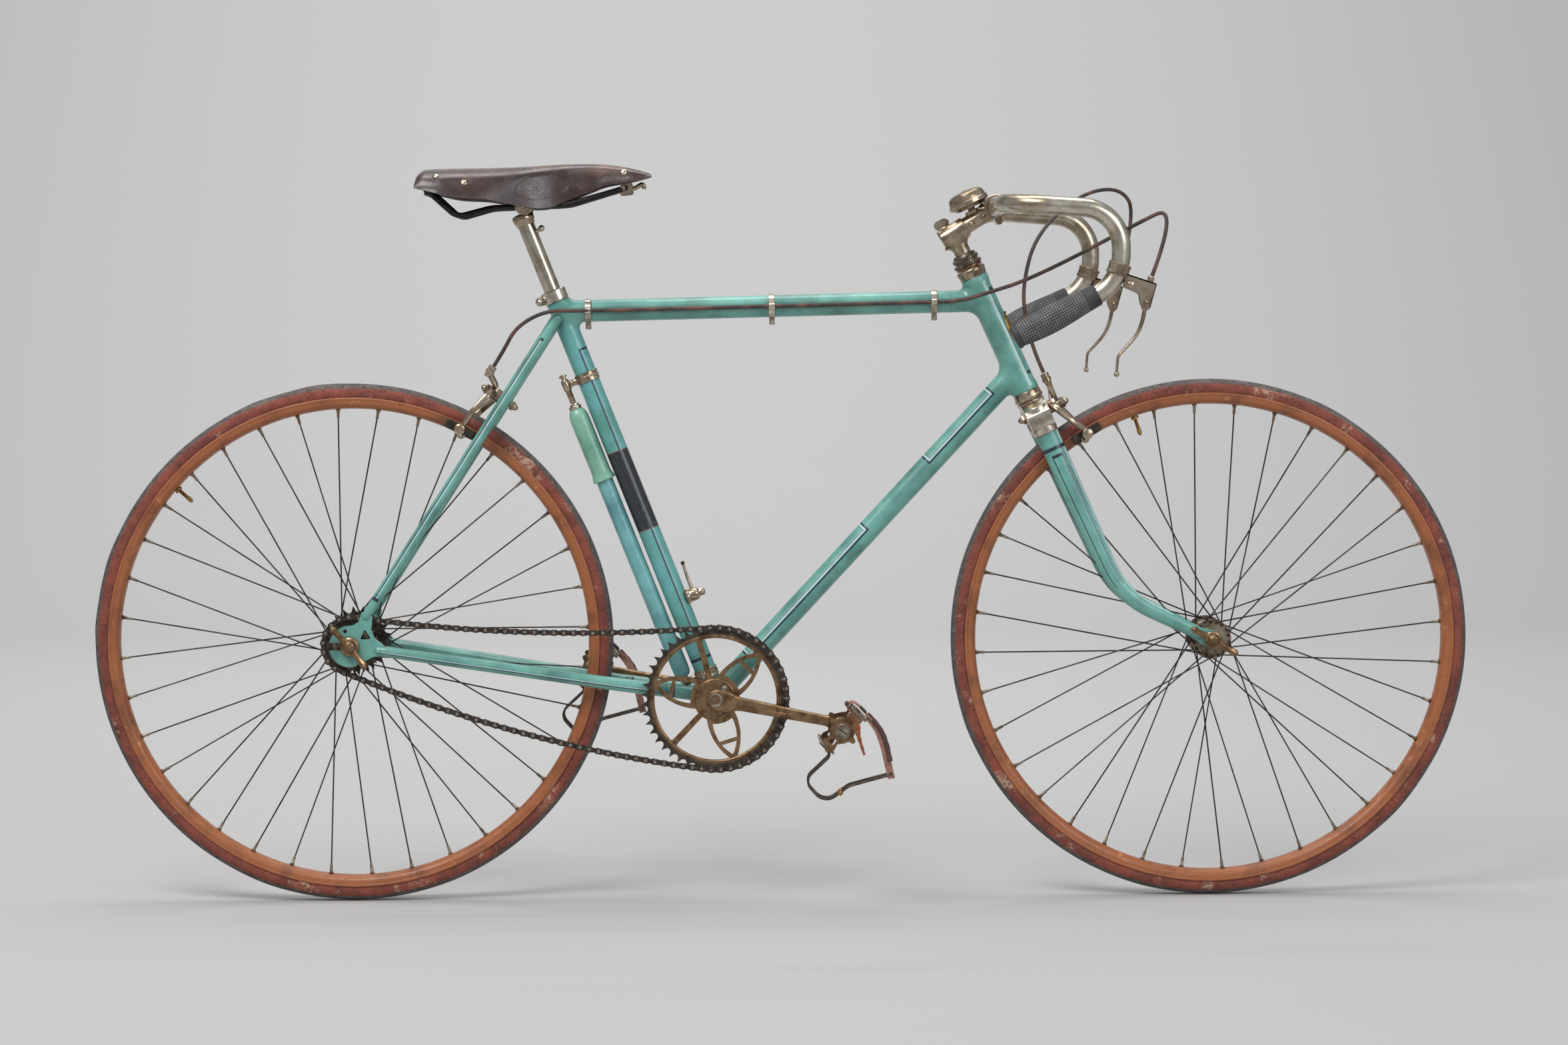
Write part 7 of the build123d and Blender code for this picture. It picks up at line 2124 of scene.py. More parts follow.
def saddle_frame():
    """Black rails with a looped rear, a bracket at the nose and the clamp on the post."""
    build = Build()
    for side in (-1, 1):
        rail = [V(104, side * 42, 929), V(142, side * 34, 894), V(186, side * RAIL_Y, 906),
                V(286, side * RAIL_Y, 910), V(362, side * 6, 932)]
        build.tube(divided(arc_path(rail, [20, 40, 60], 8), 12), RAIL_D / 2, 20, round_ends=1)
        washer = [(-5.5, 6), (-5.5, 10.5), (-4.5, 11.5), (4.5, 11.5), (5.5, 10.5), (5.5, 6)]
        build.lathe(CLAMP + Y_AXIS * (side * RAIL_Y), Y_AXIS, washer, 32, 1, closed=True)
        build.nut(CLAMP + Y_AXIS * (side * 27.5), Y_AXIS * side, 14, 6, 1, 10)
        build.ball(CLAMP + Y_AXIS * (side * 33), 3.6, 1, 12)
    cantle = rounded([(-46, -5), (46, -5), (46, 5), (-46, 5)], 4.5)
    build.plate(cantle, V(101, 0, 927), Y_AXIS, UP, 5, 0)
    build.lathe(CLAMP, Y_AXIS, [(-17, 8), (-16, 9.4), (16, 9.4), (17, 8)], 32, 1)
    build.lathe(seat_point(0, 0, 650), SEAT_UP,
                [(13, 11.2), (13, 12.0), (14.5, 12.6), (17, 13.0), (19, 14.2), (26, 14.4), (28, 13.2),
                 (29, 9)], 40, 1)
    for out in (-1, 1):
        build.plate(rounded([(-8, -9), (10, -7), (8, 9), (-7, 8)], 3), V(360, out * 8.2, 930), X_AXIS, UP,
                    1.8 * out, 1)
    build.lathe(V(356, 0, 931), Y_AXIS, [(-11, 0.2), (-10.8, 3.2), (-9, 4), (9, 4), (10.8, 3.2), (11, 0.2)],
                20, 1)
    build.tube(arc_path([V(348, 0, 930), V(372, 0, 931), V(384, 0, 939), V(383, 0, 930)], [8, 3], 15), 3.0,
               14, 1,
               round_ends=1)
    piece("saddle_frame_form", build, [BLACK, NICKEL_WARM], "frame", ["saddle_frame"],
          sharp=40)


def seat_post():
    build = Build()
    build.rod(seat_point(0, 0, 513), seat_point(0, 0, 668), 22, sides=40, round_ends=0.8, side=NEAR)
    bolt = seat_point(17, 0, 652)
    build.rod(seat_point(8, 0, 650), bolt, 5, sides=12)
    build.ball(bolt, 4.3, 0, 16)
    piece("seat_post_form", build, POST_NICKEL, "frame", ["seat_post"], sharp=40)


def seat_collar():
    """Split collar with two ears behind the tube, drawn together by a bolt with round ends."""
    build = Build()
    ring(build, seat_point(0, 0, 555.7), SEAT_UP, 16.9, BAND_BORE_R, 15.6, sides=56, edge=1.2)
    for out in (-1, 1):
        ear = rounded([(-25.5, -5), (-14, -6.5), (-14, 6.5), (-25.5, 5)], [5, 1, 1, 5])
        build.plate(ear, seat_point(0, out * 1.4, 563.5), SEAT_FORWARD, SEAT_UP, -6.2 * out)
        build.lathe(seat_point(-20.5, out * 7.4, 563.5), Y_AXIS * out,
                    [(0, 5.6), (1.2, 5.8), (2.0, 5.0), (4.0, 4.4), (6.0, 2.6), (6.6, 0.2)], 20)
    piece("seat_collar_form", build, NICKEL, "frame", ["seat_collar"], sharp=40)


def make_saddle():
    saddle_leather()
    saddle_frame()
    seat_post()
    seat_collar()


# Fork, headset, brakes, axle nuts and dropouts

CROWN_HALF_DEPTH = 15.5
BLADE_POINTS = ((0, 30, 364.0), (0, 41, 101.0), (74, 48.5, 12.0))
AXLE_SLOT_R = 5.05
FORK_GAP = 92
FORK_TIP_THICK = 5
DROPOUT_R = 27
DROPOUT_BACK = -26.5


def fork_crown():
    """Plated crown: a level top on the tube's axis, sloping shoulders and a socket for each blade."""
    build = Build()
    half = [(19.0, 379), (37, 371), (45.5, 363), (45.5, 343), (30, 339.5), (15.0, 343), (11.5, 354)]
    outline = half + [(-y, up) for y, up in half[::-1]]
    soft = [1, 10, 8, 6, 8, 5, 8]
    flat = rounded(outline, soft + soft[::-1])
    build.plate(flat, steer_point(-CROWN_HALF_DEPTH, 0, 0), Y_AXIS, STEER_UP, 2 * CROWN_HALF_DEPTH)
    build.lathe(steer_point(0, 0, 0), STEER_UP, [(366, 15), (372, 17.4), (377.6, 18.4), (379.0, 18.6),
                                                 (380.2, 18.2)],
                48)
    for side in (-1, 1):
        line = [steer_point(0, side * 30, 372), steer_point(0, side * 30.8, 334)]
        build.tube(line, lambda share: 16.6 - 0.6 * share, 40, side=STEER_FORWARD,
                   shape=lambda a: (1.02 * cosd(a), 0.86 * sind(a)), round_ends=2)
    build.lathe(steer_point(14, 0, 361), STEER_FORWARD, [(0, 9), (2.6, 8.6), (3.2, 7.4)], 28)
    build.rod(steer_point(0, 0, 379), steer_point(0, 0, 380.2), 25.4)
    build.lathe(steer_point(0, 0, 0), STEER_UP,
                [(378, 12.7), (589.8, 12.7), (589.8, 11.2), (560, 11.2)], 36)
    piece("fork_crown_form", build, NICKEL, "steering", ["fork_crown"], sharp=35, bevel=1.6)


def fork_blades():
    """Oval blades that taper and sweep forward, with flat ends that hold the axle."""
    build = Build()
    for side in (-1, 1):
        points = [steer_point(f, side * y, up) for f, y, up in BLADE_POINTS]
        path = divided(arc_path(points, 120, 5), 14)

        def radius(share):
            return 13.6 - 6.6 * share**1.25

        def oval(angle):
            return 1.16 * cosd(angle), 0.86 * sind(angle)

        build.tube(path, radius, 36, side=STEER_FORWARD, shape=oval, round_ends=3)
        foot = steer_point(66, 0, 20)
        outline = hull(circle(13, 32, (WHEELBASE, WHEEL_R)) + circle(7.5, 24, (foot.x, foot.z)))
        slot = [(WHEELBASE + x, WHEEL_R + z) for x, z in circle(AXLE_SLOT_R, 12, (0, 0), 0, 180)]
        slot += [(WHEELBASE - AXLE_SLOT_R, WHEEL_R - 9), (WHEELBASE + AXLE_SLOT_R, WHEEL_R - 9)]
        build.plate(outline, V(0, side * FORK_GAP / 2, 0), X_AXIS, UP, -FORK_TIP_THICK * side, 0, [slot])
    look = paint("fork_paint", FORK_STRIPES, wear=0.8)
    piece("fork_blades_form", build, look, "steering", ["fork_blades"], sharp=50)


FORK_STRIPES = (
    (60, 66, 60, 250, NAVY), (114, 120, 60, 250, NAVY), (60, 120, 60, 64, NAVY),
    (240, 246, 60, 250, NAVY), (294, 300, 60, 250, NAVY), (240, 300, 60, 64, NAVY),
    (322, 340, 22, 330, WHITE), (20, 38, 22, 330, WHITE), (None, None, 49, 54, NAVY),
)


def headset_cups():
    build = Build()
    for up, out in ((381, -1), (557, 1)):
        profile = [(0, 13.3), (0, 17.4), (1.2, 18.9), (2.4, 19.4), (5.0, 19.4), (5.6, 18.8), (11.4, 17.9),
                   (12.4, 17.6),
                   (13, 17.2), (13, 13.3)]
        start, axis = steer_point(0, 0, up), STEER_UP
        if out > 0:
            start, axis = steer_point(0, 0, up + 13), -STEER_UP
        build.lathe(start, axis, profile, 56, closed=True)
    piece("headset_cups_form", build, NICKEL_WARM, "frame", ["headset_cups"], sharp=35)


def knurled(build, start, axis, radius, height, slot, teeth=30, inner=12.9):
    """A lock ring with toothed edges all round."""
    first = perpendicular(axis)
    second = axis.cross(first)
    stations = [(0, inner, 0), (0, radius - 1.2, 1), (0.8, radius, 1), (height - 0.8, radius, 1),
                (height, radius - 1.2, 1), (height, inner, 0)]
    rows = []
    for along, r, toothed in stations:
        row = []
        for k in range(teeth * 4):
            angle = 90 * k / teeth
            reach = r - (1.5 if toothed and k % 4 in (0, 1) else 0)
            row.append(start + axis * along + first * (reach * cosd(angle)) + second * (reach * sind(angle)))
        rows.append(row)
    around = [90 * k / teeth for k in range(teeth * 4 + 1)]
    build.grid(rows, around, [s[0] for s in stations], slot)


def headset_lock_rings():
    build = Build()
    build.lathe(steer_point(0, 0, 570.8), STEER_UP,
                [(0, 13), (0, 16.8), (0.8, 17.4), (3.2, 17.2), (4.0, 16.2), (4.0, 13)], 48, 1, closed=True)
    knurled(build, steer_point(0, 0, 574.4), STEER_UP, 19.0, 4.6, 0)
    build.lathe(steer_point(0, 0, 578.8), STEER_UP, [(0, 13), (0, 16), (2.4, 15.6), (2.4, 13)], 40, 0,
                closed=True)
    knurled(build, steer_point(0, 0, 581.4), STEER_UP, 17.6, 5.4, 0)
    build.lathe(steer_point(0, 0, 586.6), STEER_UP, [(0, 13), (0, 15.8), (3.4, 14.6), (4.2, 13.4), (4.2, 13)],
                40, 0,
                closed=True)
    piece("headset_lock_rings_form", build, [LOCK_RING, RED_PLATE], "steering", ["headset_lock_rings"],
          sharp=35)


PAD_BACK = 26.3
REAR_BRAKE = (V(199.57, 0, 655), V(-0.8348, 0, 0.5505), V(0.5505, 0, 0.8348), V(142.6, 0, 619.5), REAR_AXLE,
              9, 6,
              V(36, 22, 21))
FRONT_BRAKE = (steer_point(0, 0, 361), STEER_FORWARD, STEER_UP, V(958.4, 0, 609.0), FRONT_AXLE, 15, 16,
               V(30, -18, 35))


def arm_shape(angle):
    a, b = cosd(angle), sind(angle)
    return (abs(a) ** 0.6 * (1 if a > 0 else -1), 0.78 * abs(b) ** 0.6 * (1 if b > 0 else -1))


def brake(name, node, settings):
    """Side-pull caliper on its centre bolt, with an adjuster for the cable on one arm."""
    origin, ex, ez, pad, _, behind, stand_off, tail = settings
    ey = ez.cross(ex)

    def at(x, y, z):
        return origin + ex * x + ey * y + ez * z

    pad_x, pad_z = (pad - origin).dot(ex), (pad - origin).dot(ez)
    build = Build()
    build.rod(at(-behind, 0, 0), at(stand_off + 20, 0, 0), 7, sides=20)
    build.nut(at(-behind, 0, 0), -ex, 12, 5, 0)
    build.lathe(at(-behind - 5, 0, 0), -ex, [(0, 4.6), (1.5, 4.4), (4, 3.0), (5.5, 1.2), (6, 0.2)], 18)
    for along, r, high in ((stand_off, 8.2, 1.6), (stand_off + 9, 7.4, 1.4), (stand_off + 18, 7.8, 1.4)):
        build.lathe(at(along, 0, 0), ex, [(0, r - 0.4), (0.4, r), (high - 0.4, r), (high, r - 0.4)], 28)
    build.nut(at(stand_off + 19.4, 0, 0), ex, 12.5, 5, 0, 15)
    build.lathe(at(stand_off + 24.2, 0, 0), ex, [(0, 4.8), (1.2, 5.0), (4, 3.8), (5.6, 2.0), (6.2, 0.2)], 20)
    for side in (-1, 1):
        depth = stand_off + (5 if side < 0 else 14)
        path = arc_path([at(depth, 0, 0), at(depth, side * 34, 5),
                         at((depth + pad_x) / 2 + 2, side * 39, pad_z * 0.5),
                         at(pad_x, side * (PAD_BACK + 6), pad_z + 5)], [14, 20], 8)
        build.tube(divided(path, 8), lambda share: 4.4 - 0.5 * share, 18, side=ex, shape=arm_shape,
                   round_ends=1)
        build.lathe(at(depth - 3.6, 0, 0), ex, [(0, 7.2), (0.6, 8), (6.6, 8), (7.2, 7.2)], 28)
        post = at(pad_x, side * PAD_BACK, pad_z)
        outward = ey * side
        build.lathe(post, outward, [(-1, 4.2), (2, 4.6), (2.2, 6.2), (3.4, 6.4), (3.6, 5.2), (9, 5.2)], 24)
        build.lathe(post + outward * 9, outward, [(0, 7.0), (1.0, 7.4), (2.4, 6.8), (3.6, 4.4), (4.0, 0.2)],
                    26)
        eye = arc_path([post + outward * 5 + ez * 1, post + outward * 5 - ez * 9 - ex * 2,
                        post + outward * 5 - ez * 9 - ex * 9, post + outward * 5 - ez * 3 - ex * 9], 3.4, 15)
        build.tube(eye, 1.7, 12, round_ends=0.6)
        end = tail if side > 0 else V(depth, tail.y, 6)
        arm = [at(depth, 0, 0), at(depth, end.y * 0.8, end.z * 0.55), at(end.x, end.y, end.z)]
        build.tube(arc_path(arm, 8, 15), 3.9, 16, side=ex, shape=arm_shape, round_ends=1)
        spring = arc_path([at(depth - 4, side * 3, -6), at(depth - 4, side * 20, 8),
                           at(depth - 5, side * 33, -2)],
                          14, 12)
        build.tube(spring, 1.1, 10, round_ends=0.4)
    top = at(tail.x, tail.y, tail.z)
    build.lathe(top, ez, [(-6, 4.0), (-5, 4.6), (-1, 4.6), (-1, 6), (4, 6), (4.2, 4.2), (5, 4.2), (5, 5.4),
                          (9.4, 5.4),
                          (10, 4.6), (10, 2.7)], 24)
    clamp = at(stand_off + 5, tail.y, 6)
    build.nut(clamp + ex * 3, ex, 9, 4, 0)
    build.lathe(clamp - ex * 5, ex, [(0, 3.4), (0.6, 4.6), (8, 4.6), (8.6, 3.4)], 20)
    build.rod(at(tail.x, tail.y, tail.z), clamp, 1.6, sides=10)
    piece(name, build, NICKEL_WARM, "frame" if "rear" in node else "steering", [node], sharp=38)


def brake_pads(name, node, settings):
    """Rubber blocks in steel holders, in line with the rim."""
    pad, axle = settings[3], settings[4]
    out = (pad - axle).normalized()
    along = V(-out.z, 0, out.x)
    build = Build()
    for side in (-1, 1):
        block = rounded([(-21, -5.5), (21, -5.5), (21, 5.5), (-21, 5.5)], 2.5)
        build.plate(block, pad + Y_AXIS * (side * 18.2), along, out,
                    (-1 if along.cross(out).y * side < 0 else 1) * 5.4)
        holder = rounded([(-19, -6.2), (19, -6.2), (19, 6.2), (-19, 6.2)], 3)
        build.plate(holder, pad + Y_AXIS * (side * 23.4), along, out,
                    (-1 if along.cross(out).y * side < 0 else 1) * 2.5, 1)
        for k in range(-3, 4):
            build.box(pad + along * (k * 5.6) + Y_AXIS * (side * 20.6), along, out, along.cross(out),
                      (1.6, 11.6, 4.0), 0)
    piece(name, build, [PAD, DARK], "frame" if "rear" in node else "steering", [node], sharp=40)


def wing_axle(name, node, body, axle, clamp_width, plate_thick, wing_angle, slot_look):
    """Threaded axle with its cones and a wing nut on each side."""
    build = Build()
    face = clamp_width / 2 + plate_thick
    reach = face + 18
    build.rod(axle - Y_AXIS * reach, axle + Y_AXIS * reach, 9.3, sides=24, round_ends=0.8, side=UP)
    for side in (-1, 1):
        outward = Y_AXIS * side
        build.lathe(axle + outward * (clamp_width / 2 - 5), outward,
                    [(0, 6.4), (0.5, 8.5), (4.6, 8.5), (5, 8)], 28)
        foot = axle + outward * face
        build.lathe(foot, outward, [(0, 4.8), (0, 11.4), (0.6, 12), (3.2, 12), (4, 11.2), (4.6, 8.6),
                                    (9, 8.2), (12, 7.4),
                                    (13.6, 6.2), (14, 4.9)], 36)
        for turn in (0, 180):
            spoke = V(cosd(wing_angle + turn), 0, sind(wing_angle + turn))
            path = arc_path([foot + spoke * 5 + outward * 8, foot + spoke * 20 + outward * 12.5,
                             foot + spoke * 31 + outward * 17], 30, 6)
            build.tube(divided(path, 4), lambda share: 5.2 - 1.4 * math.sin(math.pi * min(1, share * 0.9)),
                       18,
                       side=outward, shape=lambda a: (0.52 * cosd(a), 1.05 * sind(a)), round_ends=0.8)
            build.ball(foot + spoke * 31 + outward * 17, 3.9, 0, 14)
    piece(name, build, slot_look, body, [node], sharp=38)


DROPOUT_STAY = [
    (4, WHEEL_R - DROPOUT_R), (30, 326.5), (44, 328), (45.5, 338), (41, 343.5), (32, 350), (27.5, 362),
    (29.5, 378), (23, 386.5), (15.5, 384), (11.5, 372), (4, 367.5), (0, 367),
]


def rear_dropouts():
    """Flat ends with a rearward slot, an eyelet and a small three-sided window."""
    build = Build()
    slot = [(x, WHEEL_R + z) for x, z in circle(AXLE_SLOT_R, 12, (0, 0), -90, 180)]
    upper, lower = [
        [(DROPOUT_R * cosd(a), WHEEL_R + DROPOUT_R * sind(a)) for a in angles]
        for angles in (range(100, 169, 8), range(192, 285, 8))
    ]
    mouth = [(DROPOUT_BACK, WHEEL_R + AXLE_SLOT_R)] + slot[::-1] + [(DROPOUT_BACK, WHEEL_R - AXLE_SLOT_R)]
    outline = upper + mouth + lower + DROPOUT_STAY
    window = rounded([(13, 349), (19.5, 362.5), (27.5, 349.5)], 1.6)
    eyelet = circle(2.6, 16, (-6, 360))
    for side in (-1, 1):
        build.plate(outline, V(0, side * DROPOUT_IN, 0), X_AXIS, UP, -DROPOUT_THICK * side, 0,
                    [window, eyelet])
    piece("rear_dropouts_form", build, DROPOUT_PAINT, "frame", ["rear_dropouts"], sharp=40,
          bevel=0.8)


def make_fork_and_brakes():
    fork_crown()
    fork_blades()
    headset_cups()
    headset_lock_rings()
    brake("rear_brake_form", "rear_brake", REAR_BRAKE)
    brake("front_brake_form", "front_brake", FRONT_BRAKE)
    brake_pads("rear_brake_pads_form", "rear_brake_pads", REAR_BRAKE)
    brake_pads("front_brake_pads_form", "front_brake_pads", FRONT_BRAKE)
    wing_axle("rear_axle_form", "rear_axle", "frame", REAR_AXLE, 2 * DROPOUT_IN, DROPOUT_THICK, 130, BRONZE)
    wing_axle("front_axle_form", "front_axle", "steering", FRONT_AXLE, FORK_GAP, FORK_TIP_THICK, 150, BRONZE)
    rear_dropouts()


# Pump, seat tube fitting, toe clips and straps

PUMP_BACK = 29.7


def pump_point(up):
    return seat_point(-PUMP_BACK, 0, up)


def pump():
    barrel = Build()
    profile = [(38, 0.2), (38.2, 5.5), (39.5, 8.4), (42, 10.2), (46, 11.0), (52, 11.15), (300, 11.15),
               (316, 11.15),
               (316, 0.2)]
    barrel.lathe(pump_point(0), SEAT_UP, profile, 44)
    piece("pump_barrel_form", barrel, PUMP_PAINT, "frame", ["pump_barrel"], sharp=45)
    handle = Build()
    profile = [(316.3, 0.2), (316.3, 13.6), (317, 14.8), (319, 15), (322, 14.6), (325, 13.4), (330, 12.9),
               (396, 13.0), (404, 12.8), (409, 12.1), (413.5, 10.6), (416, 8.6), (416.6, 8.0)]
    handle.lathe(pump_point(0), SEAT_UP, profile, 44)
    neck = [(416.2, 7.6), (417, 8.4), (420.5, 8.4), (421.3, 7.8), (421.6, 6.2), (424, 6.0), (424, 0.2)]
    handle.lathe(pump_point(0), SEAT_UP, neck, 32, 1)
    piece("pump_handle_form", handle, [HANDLE_PAINT, NICKEL], "frame", ["pump_handle"],
          sharp=45)


def band_window(build, up, height, count=22):
    """A pierced band: rims above and below with round beads between."""
    ring(build, seat_point(0, 0, up), SEAT_UP, 16.0, BAND_BORE_R, 2.2, sides=52, edge=0.4)
    ring(build, seat_point(0, 0, up + height - 2.2), SEAT_UP, 16.0, BAND_BORE_R, 2.2, sides=52, edge=0.4)
    ring(build, seat_point(0, 0, up + 1.8), SEAT_UP, 15.1, BAND_BORE_R, height - 3.6, sides=52, edge=0.2)
    for k in range(count):
        angle = 360 * k / count
        outward = SEAT_FORWARD * cosd(angle) + Y_AXIS * sind(angle)
        build.lathe(seat_point(0, 0, up + height / 2) + outward * 14.9, outward,
                    [(0, 1.9), (0.5, 1.7), (0.9, 1.0), (1.1, 0.2)], 10)


def pump_clips():
    """The band with its peg above the pump, and the band with its socket at the foot."""
    build = Build()
    band_window(build, 444.5, 12)
    build.tube([seat_point(-14, 0, 450), seat_point(-22, 0, 450), pump_point(450)], 3.5, 18, side=SEAT_UP,
               shape=lambda a: (1.25 * cosd(a), 0.9 * sind(a)))
    build.ball(seat_point(-21.5, -5.2, 451), 3.4, 0, 14)
    peg = [(424.4, 0.2), (424.6, 3.2), (427, 3.9), (442, 4.0), (444, 5.4), (456, 5.4), (457.5, 4.6),
           (458, 3.2),
           (461, 3.2), (461.6, 5.6), (463, 5.4), (464.6, 3.4), (465, 0.2)]
    build.lathe(pump_point(0), SEAT_UP, peg, 26)
    band_window(build, 26.5, 12)
    build.tube([seat_point(-14, 0, 32), pump_point(32)], 3.5, 18)
    socket = [(26, 0.2), (26, 5.4), (27, 6.0), (36.6, 6.0), (37.7, 5.2), (37.7, 0.2)]
    build.lathe(pump_point(0), SEAT_UP, socket, 26)
    piece("pump_clips_form", build, NICKEL_WARM, "frame", ["pump_clips"], sharp=38)


FITTING_UP = 134.0


def seat_tube_fitting():
    """A slotted boss on the seat tube with a capped screw, a nut and a thin lever."""
    build = Build()
    foot = seat_point(0, 0, FITTING_UP)
    boss = [(12.6, 12.0), (14.2, 10.2), (16, 8.8), (18.5, 8.0), (21, 8.3), (25, 8.5), (28, 7.8), (30, 6.2),
            (30.3, 5.0)]
    build.lathe(foot, SEAT_FORWARD, boss, 36)
    cap = [(30.3, 0.2), (30.3, 4.2), (31.5, 4.2), (31.8, 5.4), (36.2, 5.4), (37.6, 4.4), (38.3, 2.4),
           (38.4, 0.2)]
    build.lathe(foot, SEAT_FORWARD, cap, 26)
    build.lathe(foot + SEAT_FORWARD * 23.5, NEAR, [(0, 4), (8.4, 4), (8.8, 5.2), (10.2, 5.0), (11, 3.4),
                                                   (11, 0.2)], 24)
    build.box(foot + SEAT_FORWARD * 23.5 + NEAR * 11.1, SEAT_FORWARD, SEAT_UP, NEAR, (8, 1.2, 0.8), 1)
    lever = arc_path([seat_point(23.3, 0, FITTING_UP + 6), seat_point(23.3, 0, FITTING_UP + 24),
                      seat_point(24.6, 0, FITTING_UP + 43)], 60, 5)
    build.tube(lever, lambda share: 2.6 - 1.0 * share, 14)
    build.ball(seat_point(24.7, 0, FITTING_UP + 44), 2.8, 1, 12)
    build.nut(seat_point(16, 0, FITTING_UP + 6), SEAT_UP, 8, 4, 0)
    piece("seat_tube_fitting_form", build, [NICKEL_WARM, DARK], "frame", ["seat_tube_fitting"],
          sharp=38)


PEDAL_CENTRE_Y = (PEDAL_IN + PEDAL_OUT) / 2
TOE_FRONT = -32.15
CLIP_END = (2, -86)
CLIP_HALF_WIDTH = 11.0
CLIP_LINE = [(TOE_FRONT, 8), (TOE_FRONT, -14), (-82, -12), (-84, -52), (-46, -58), CLIP_END]
CLIP_RADII = [8, 14, 18, 20]


def toe_clip(side, name, node, body):
    """One flat wire, bent from the pedal's front over the toe to a cross bar and back."""
    middle, ex, ez, out = pedal_axes(side)
    ey = Y_AXIS

    def at(x, y, z):
        return middle + out * PEDAL_CENTRE_Y + ex * x + ey * y + ez * z

    build = Build()
    there = [at(x, -CLIP_HALF_WIDTH, z) for x, z in CLIP_LINE]
    back = [at(x, CLIP_HALF_WIDTH, z) for x, z in CLIP_LINE[::-1]]
    path = divided(arc_path(there + back, CLIP_RADII + [6, 6] + CLIP_RADII[::-1], 8), 10)
    build.tube(path, 1.9, 14, side=ey, shape=lambda a: (1.25 * cosd(a), 0.8 * sind(a)), round_ends=0.5)
    for x, z in ((-60, -56.6), (TOE_FRONT, -6)):
        build.tube([at(x, -CLIP_HALF_WIDTH - 2.4, z), at(x, CLIP_HALF_WIDTH + 2.4, z)], 2.0, 14, 1,
                   round_ends=0.8)
        for y in (-1, 1):
            build.tube([at(x - 3, y * CLIP_HALF_WIDTH, z), at(x + 3, y * CLIP_HALF_WIDTH, z)], 2.9, 14, 1,
                       round_ends=0.6)
    piece(name, build, [DARK, BRASS], body, [node], sharp=45)


def strap_band(build, at, line, widths, thick, slot, edge_on=False):
    """A flat strap that follows a line in the pedal's x and z. edge_on turns its face to the side."""
    line = [V(x, 0, z) for x, z in line]
    rows = []
    for k, p in enumerate(line):
        before, after = line[max(0, k - 1)], line[min(len(line) - 1, k + 1)]
        ahead = (after - before).normalized()
        normal = V(-ahead.z, 0, ahead.x)
        half = widths[k] / 2
        section = [(-half, -0.3), (-half + 0.4, -0.5), (half - 0.4, -0.5), (half, -0.3), (half, 0.3),
                   (half - 0.4, 0.5), (-half + 0.4, 0.5), (-half, 0.3)]
        if edge_on:
            rows.append([at(p.x + normal.x * a, -b * thick, p.z + normal.z * a) for a, b in section])
        else:
            rows.append([at(p.x + normal.x * b * thick, a, p.z + normal.z * b * thick) for a, b in section])
    count = len(rows[0])
    starts = build.grid(rows, list(range(count + 1)), list(range(len(rows))), slot)
    build.cap(starts[0], count, slot, True)
    build.cap(starts[-1], count, slot)


def smooth_flat(points, per_span=6):
    """A smooth line through the corners' middles, in the pedal's x and z."""
    return [(p.x, p.z) for p in flowing_line([V(x, 0, z) for x, z in points], per_span)]


def toe_strap(side, name, node, body):
    """Leather strap rolled over the rear plate: a doubled band down to the clip and a loose tongue."""
    middle, ex, ez, out = pedal_axes(side)
    ey = Y_AXIS

    def at(x, y, z):
        return middle + out * PEDAL_CENTRE_Y + ex * x + ey * y + ez * z

    build = Build()
    fold = smooth_flat([(23.5, 3), (23.2, 12), (26, 16.6), (32, 16.2), (35.6, 12), (35.4, -2), (34.2, -20)],
                       7)
    strap_band(build, at, fold, [12 + 0.8 * math.sin(0.9 * k) for k in range(len(fold))], 2.6, 0)
    lower = smooth_flat([(33.6, -13), (33.4, -30), (22, -54), (9, -74), (1.4, -86.5), (-1.6, -91)], 7)
    strap_band(build, at, lower, [9.4 - 0.2 * math.sin(1.3 * k) for k in range(len(lower))], 2.4, 0, True)
    # The second ply takes the dark strap tone: painted shade along the strap's shaded edge.
    second = smooth_flat([(35.4, -10), (36.2, -28), (27.5, -54), (13, -74)], 7)
    strap_band(build, lambda x, y, z: at(x, y + side * 2.0, z), second,
               [6.4 + 0.5 * math.sin(1.7 * k) for k in range(len(second))], 1.5, 1, True)
    roll = [at(26.8, y, 17.4) for y in (-7.2, -6.4, 6.4, 7.2)]
    build.tube(roll, lambda share: 2.4 + 1.2 * math.sin(math.pi * min(1, max(0, share))) ** 0.4, 18, 1)
    tongue = smooth_flat([(22.6, 6), (20.8, -2), (14, -14), (7.5, -22), (1.5, -34), (-4.5, -45)], 7)
    widths = [10.5 - 7.0 * smooth(k / (len(tongue) - 1)) + 0.7 * math.sin(1.1 * k)
              for k in range(len(tongue))]
    strap_band(build, at, tongue, widths, 2.2, 2, True)
    buckle = rounded([(-7.4, -5), (7.4, -5), (7.4, 5), (-7.4, 5)], 1.5)
    frame_line = [at(36.6, p[0], -2 + p[1]) for p in buckle]
    build.tube(frame_line + frame_line[:2], 1.0, 10, 3, caps=False)
    piece(name, build, [STRAP, STRAP_SHADED_PLY, TONGUE, DARK], body, [node], sharp=50)


def make_small_pieces():
    pump()
    pump_clips()
    seat_tube_fitting()
    for side, word in ((-1, "right"), (1, "left")):
        toe_clip(side, f"toe_clip_{word}_form", f"toe_clip_{word}", f"pedal_{word}")
        toe_strap(side, f"toe_strap_{word}_form", f"toe_strap_{word}", f"pedal_{word}")


# Studio

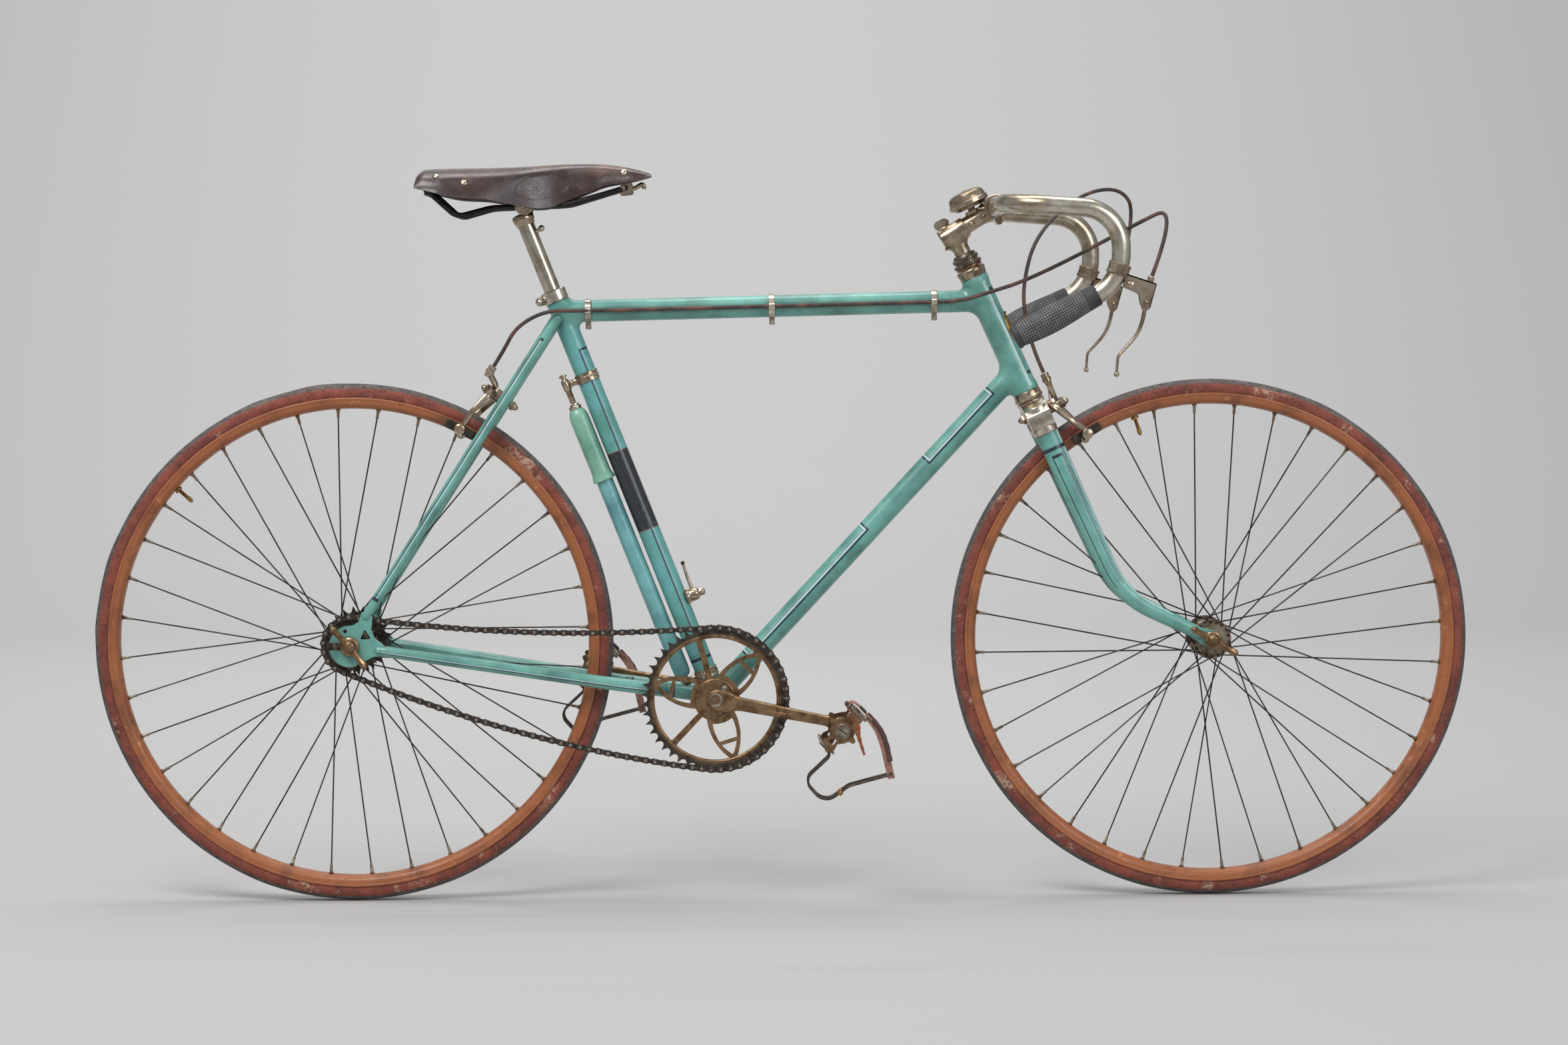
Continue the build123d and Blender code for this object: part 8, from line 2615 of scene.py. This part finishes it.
def card(name, centre, facing, width, height, strength, tone=(1, 1, 1)):
    data = bpy.data.lights.new(name, "AREA")
    data.shape = "RECTANGLE"
    data.size, data.size_y = width, height
    data.energy = strength
    data.color = tone
    obj = linked(name, data)
    obj.location = centre
    obj.rotation_euler = (Vector(facing) - Vector(centre)).to_track_quat("-Z", "Y").to_euler()


FLOOR_Z = -0.960
WALL_Y = 6.6
COVE_R = 2.6
FLOOR_REACH = 16.0
FLOOR_TONE = srgb(177, 176, 175)
WALL_TOP = 9.0
WORLD_TONE = (0.92, 0.95, 1.0, 1)
WORLD_STRENGTH = 0.45
LIGHTS = (
    ("key", (-1.6, -2.6, 3.2), (0.2, 0, -0.4), 2.4, 1.8, 150, (1, 0.98, 0.95)),
    ("fill", (3.0, -3.2, 1.4), (0.4, 0, -0.4), 2.2, 2.2, 55, (0.94, 0.97, 1)),
    ("wash", (0, 2.6, 3.6), (0, WALL_Y, 0.2), 3.4, 1.6, 190),
    ("top", (0.3, 0.4, 3.0), (0.3, 0, -0.5), 3.0, 1.4, 60),
)


def make_studio():
    """A pale floor that runs up into a wall behind, under wide soft lights."""
    rows = [(-FLOOR_REACH, FLOOR_Z), (WALL_Y - COVE_R, FLOOR_Z)]
    rows += [(WALL_Y - COVE_R * (1 - sind(a)), FLOOR_Z + COVE_R * (1 - cosd(a))) for a in range(5, 90, 5)]
    rows += [(WALL_Y, FLOOR_Z + COVE_R), (WALL_Y, WALL_TOP)]
    points = [(x, y, z) for y, z in rows for x in (-FLOOR_REACH, FLOOR_REACH)]
    faces = [(2 * k, 2 * k + 1, 2 * k + 3, 2 * k + 2) for k in range(len(rows) - 1)]
    mesh = bpy.data.meshes.new("backdrop")
    mesh.from_pydata(points, [], faces)
    mesh.polygons.foreach_set("use_smooth", [True] * len(faces))
    look = Look("backdrop")
    look.set(Base_Color=FLOOR_TONE, Roughness=0.9)
    mesh.materials.append(look.material)
    obj = linked("backdrop", mesh)
    world = bpy.data.worlds.new("world")
    bpy.context.scene.world = world
    world.use_nodes = True
    world.node_tree.nodes["Background"].inputs[0].default_value = WORLD_TONE
    world.node_tree.nodes["Background"].inputs[1].default_value = WORLD_STRENGTH
    for light in LIGHTS:
        card(*light)


def finish_nodes():
    """The nodes that no piece stands for keep their shape and take their slot's look."""
    slots = {part["node"]: part["material_slot"] for part in frame["record"]["subparts"]}
    for name, obj in frame["nodes"].items():
        look = SLOT_LOOKS.get(slots.get(name)) or PAINT
        obj.data.materials.clear()
        obj.data.materials.append(look)


bpy.context.scene.view_settings.view_transform = "Standard"
make_camera()
make_studio()
make_wheels()
make_frame()
make_drive()
make_controls()
make_saddle()
make_fork_and_brakes()
make_small_pieces()
finish_nodes()
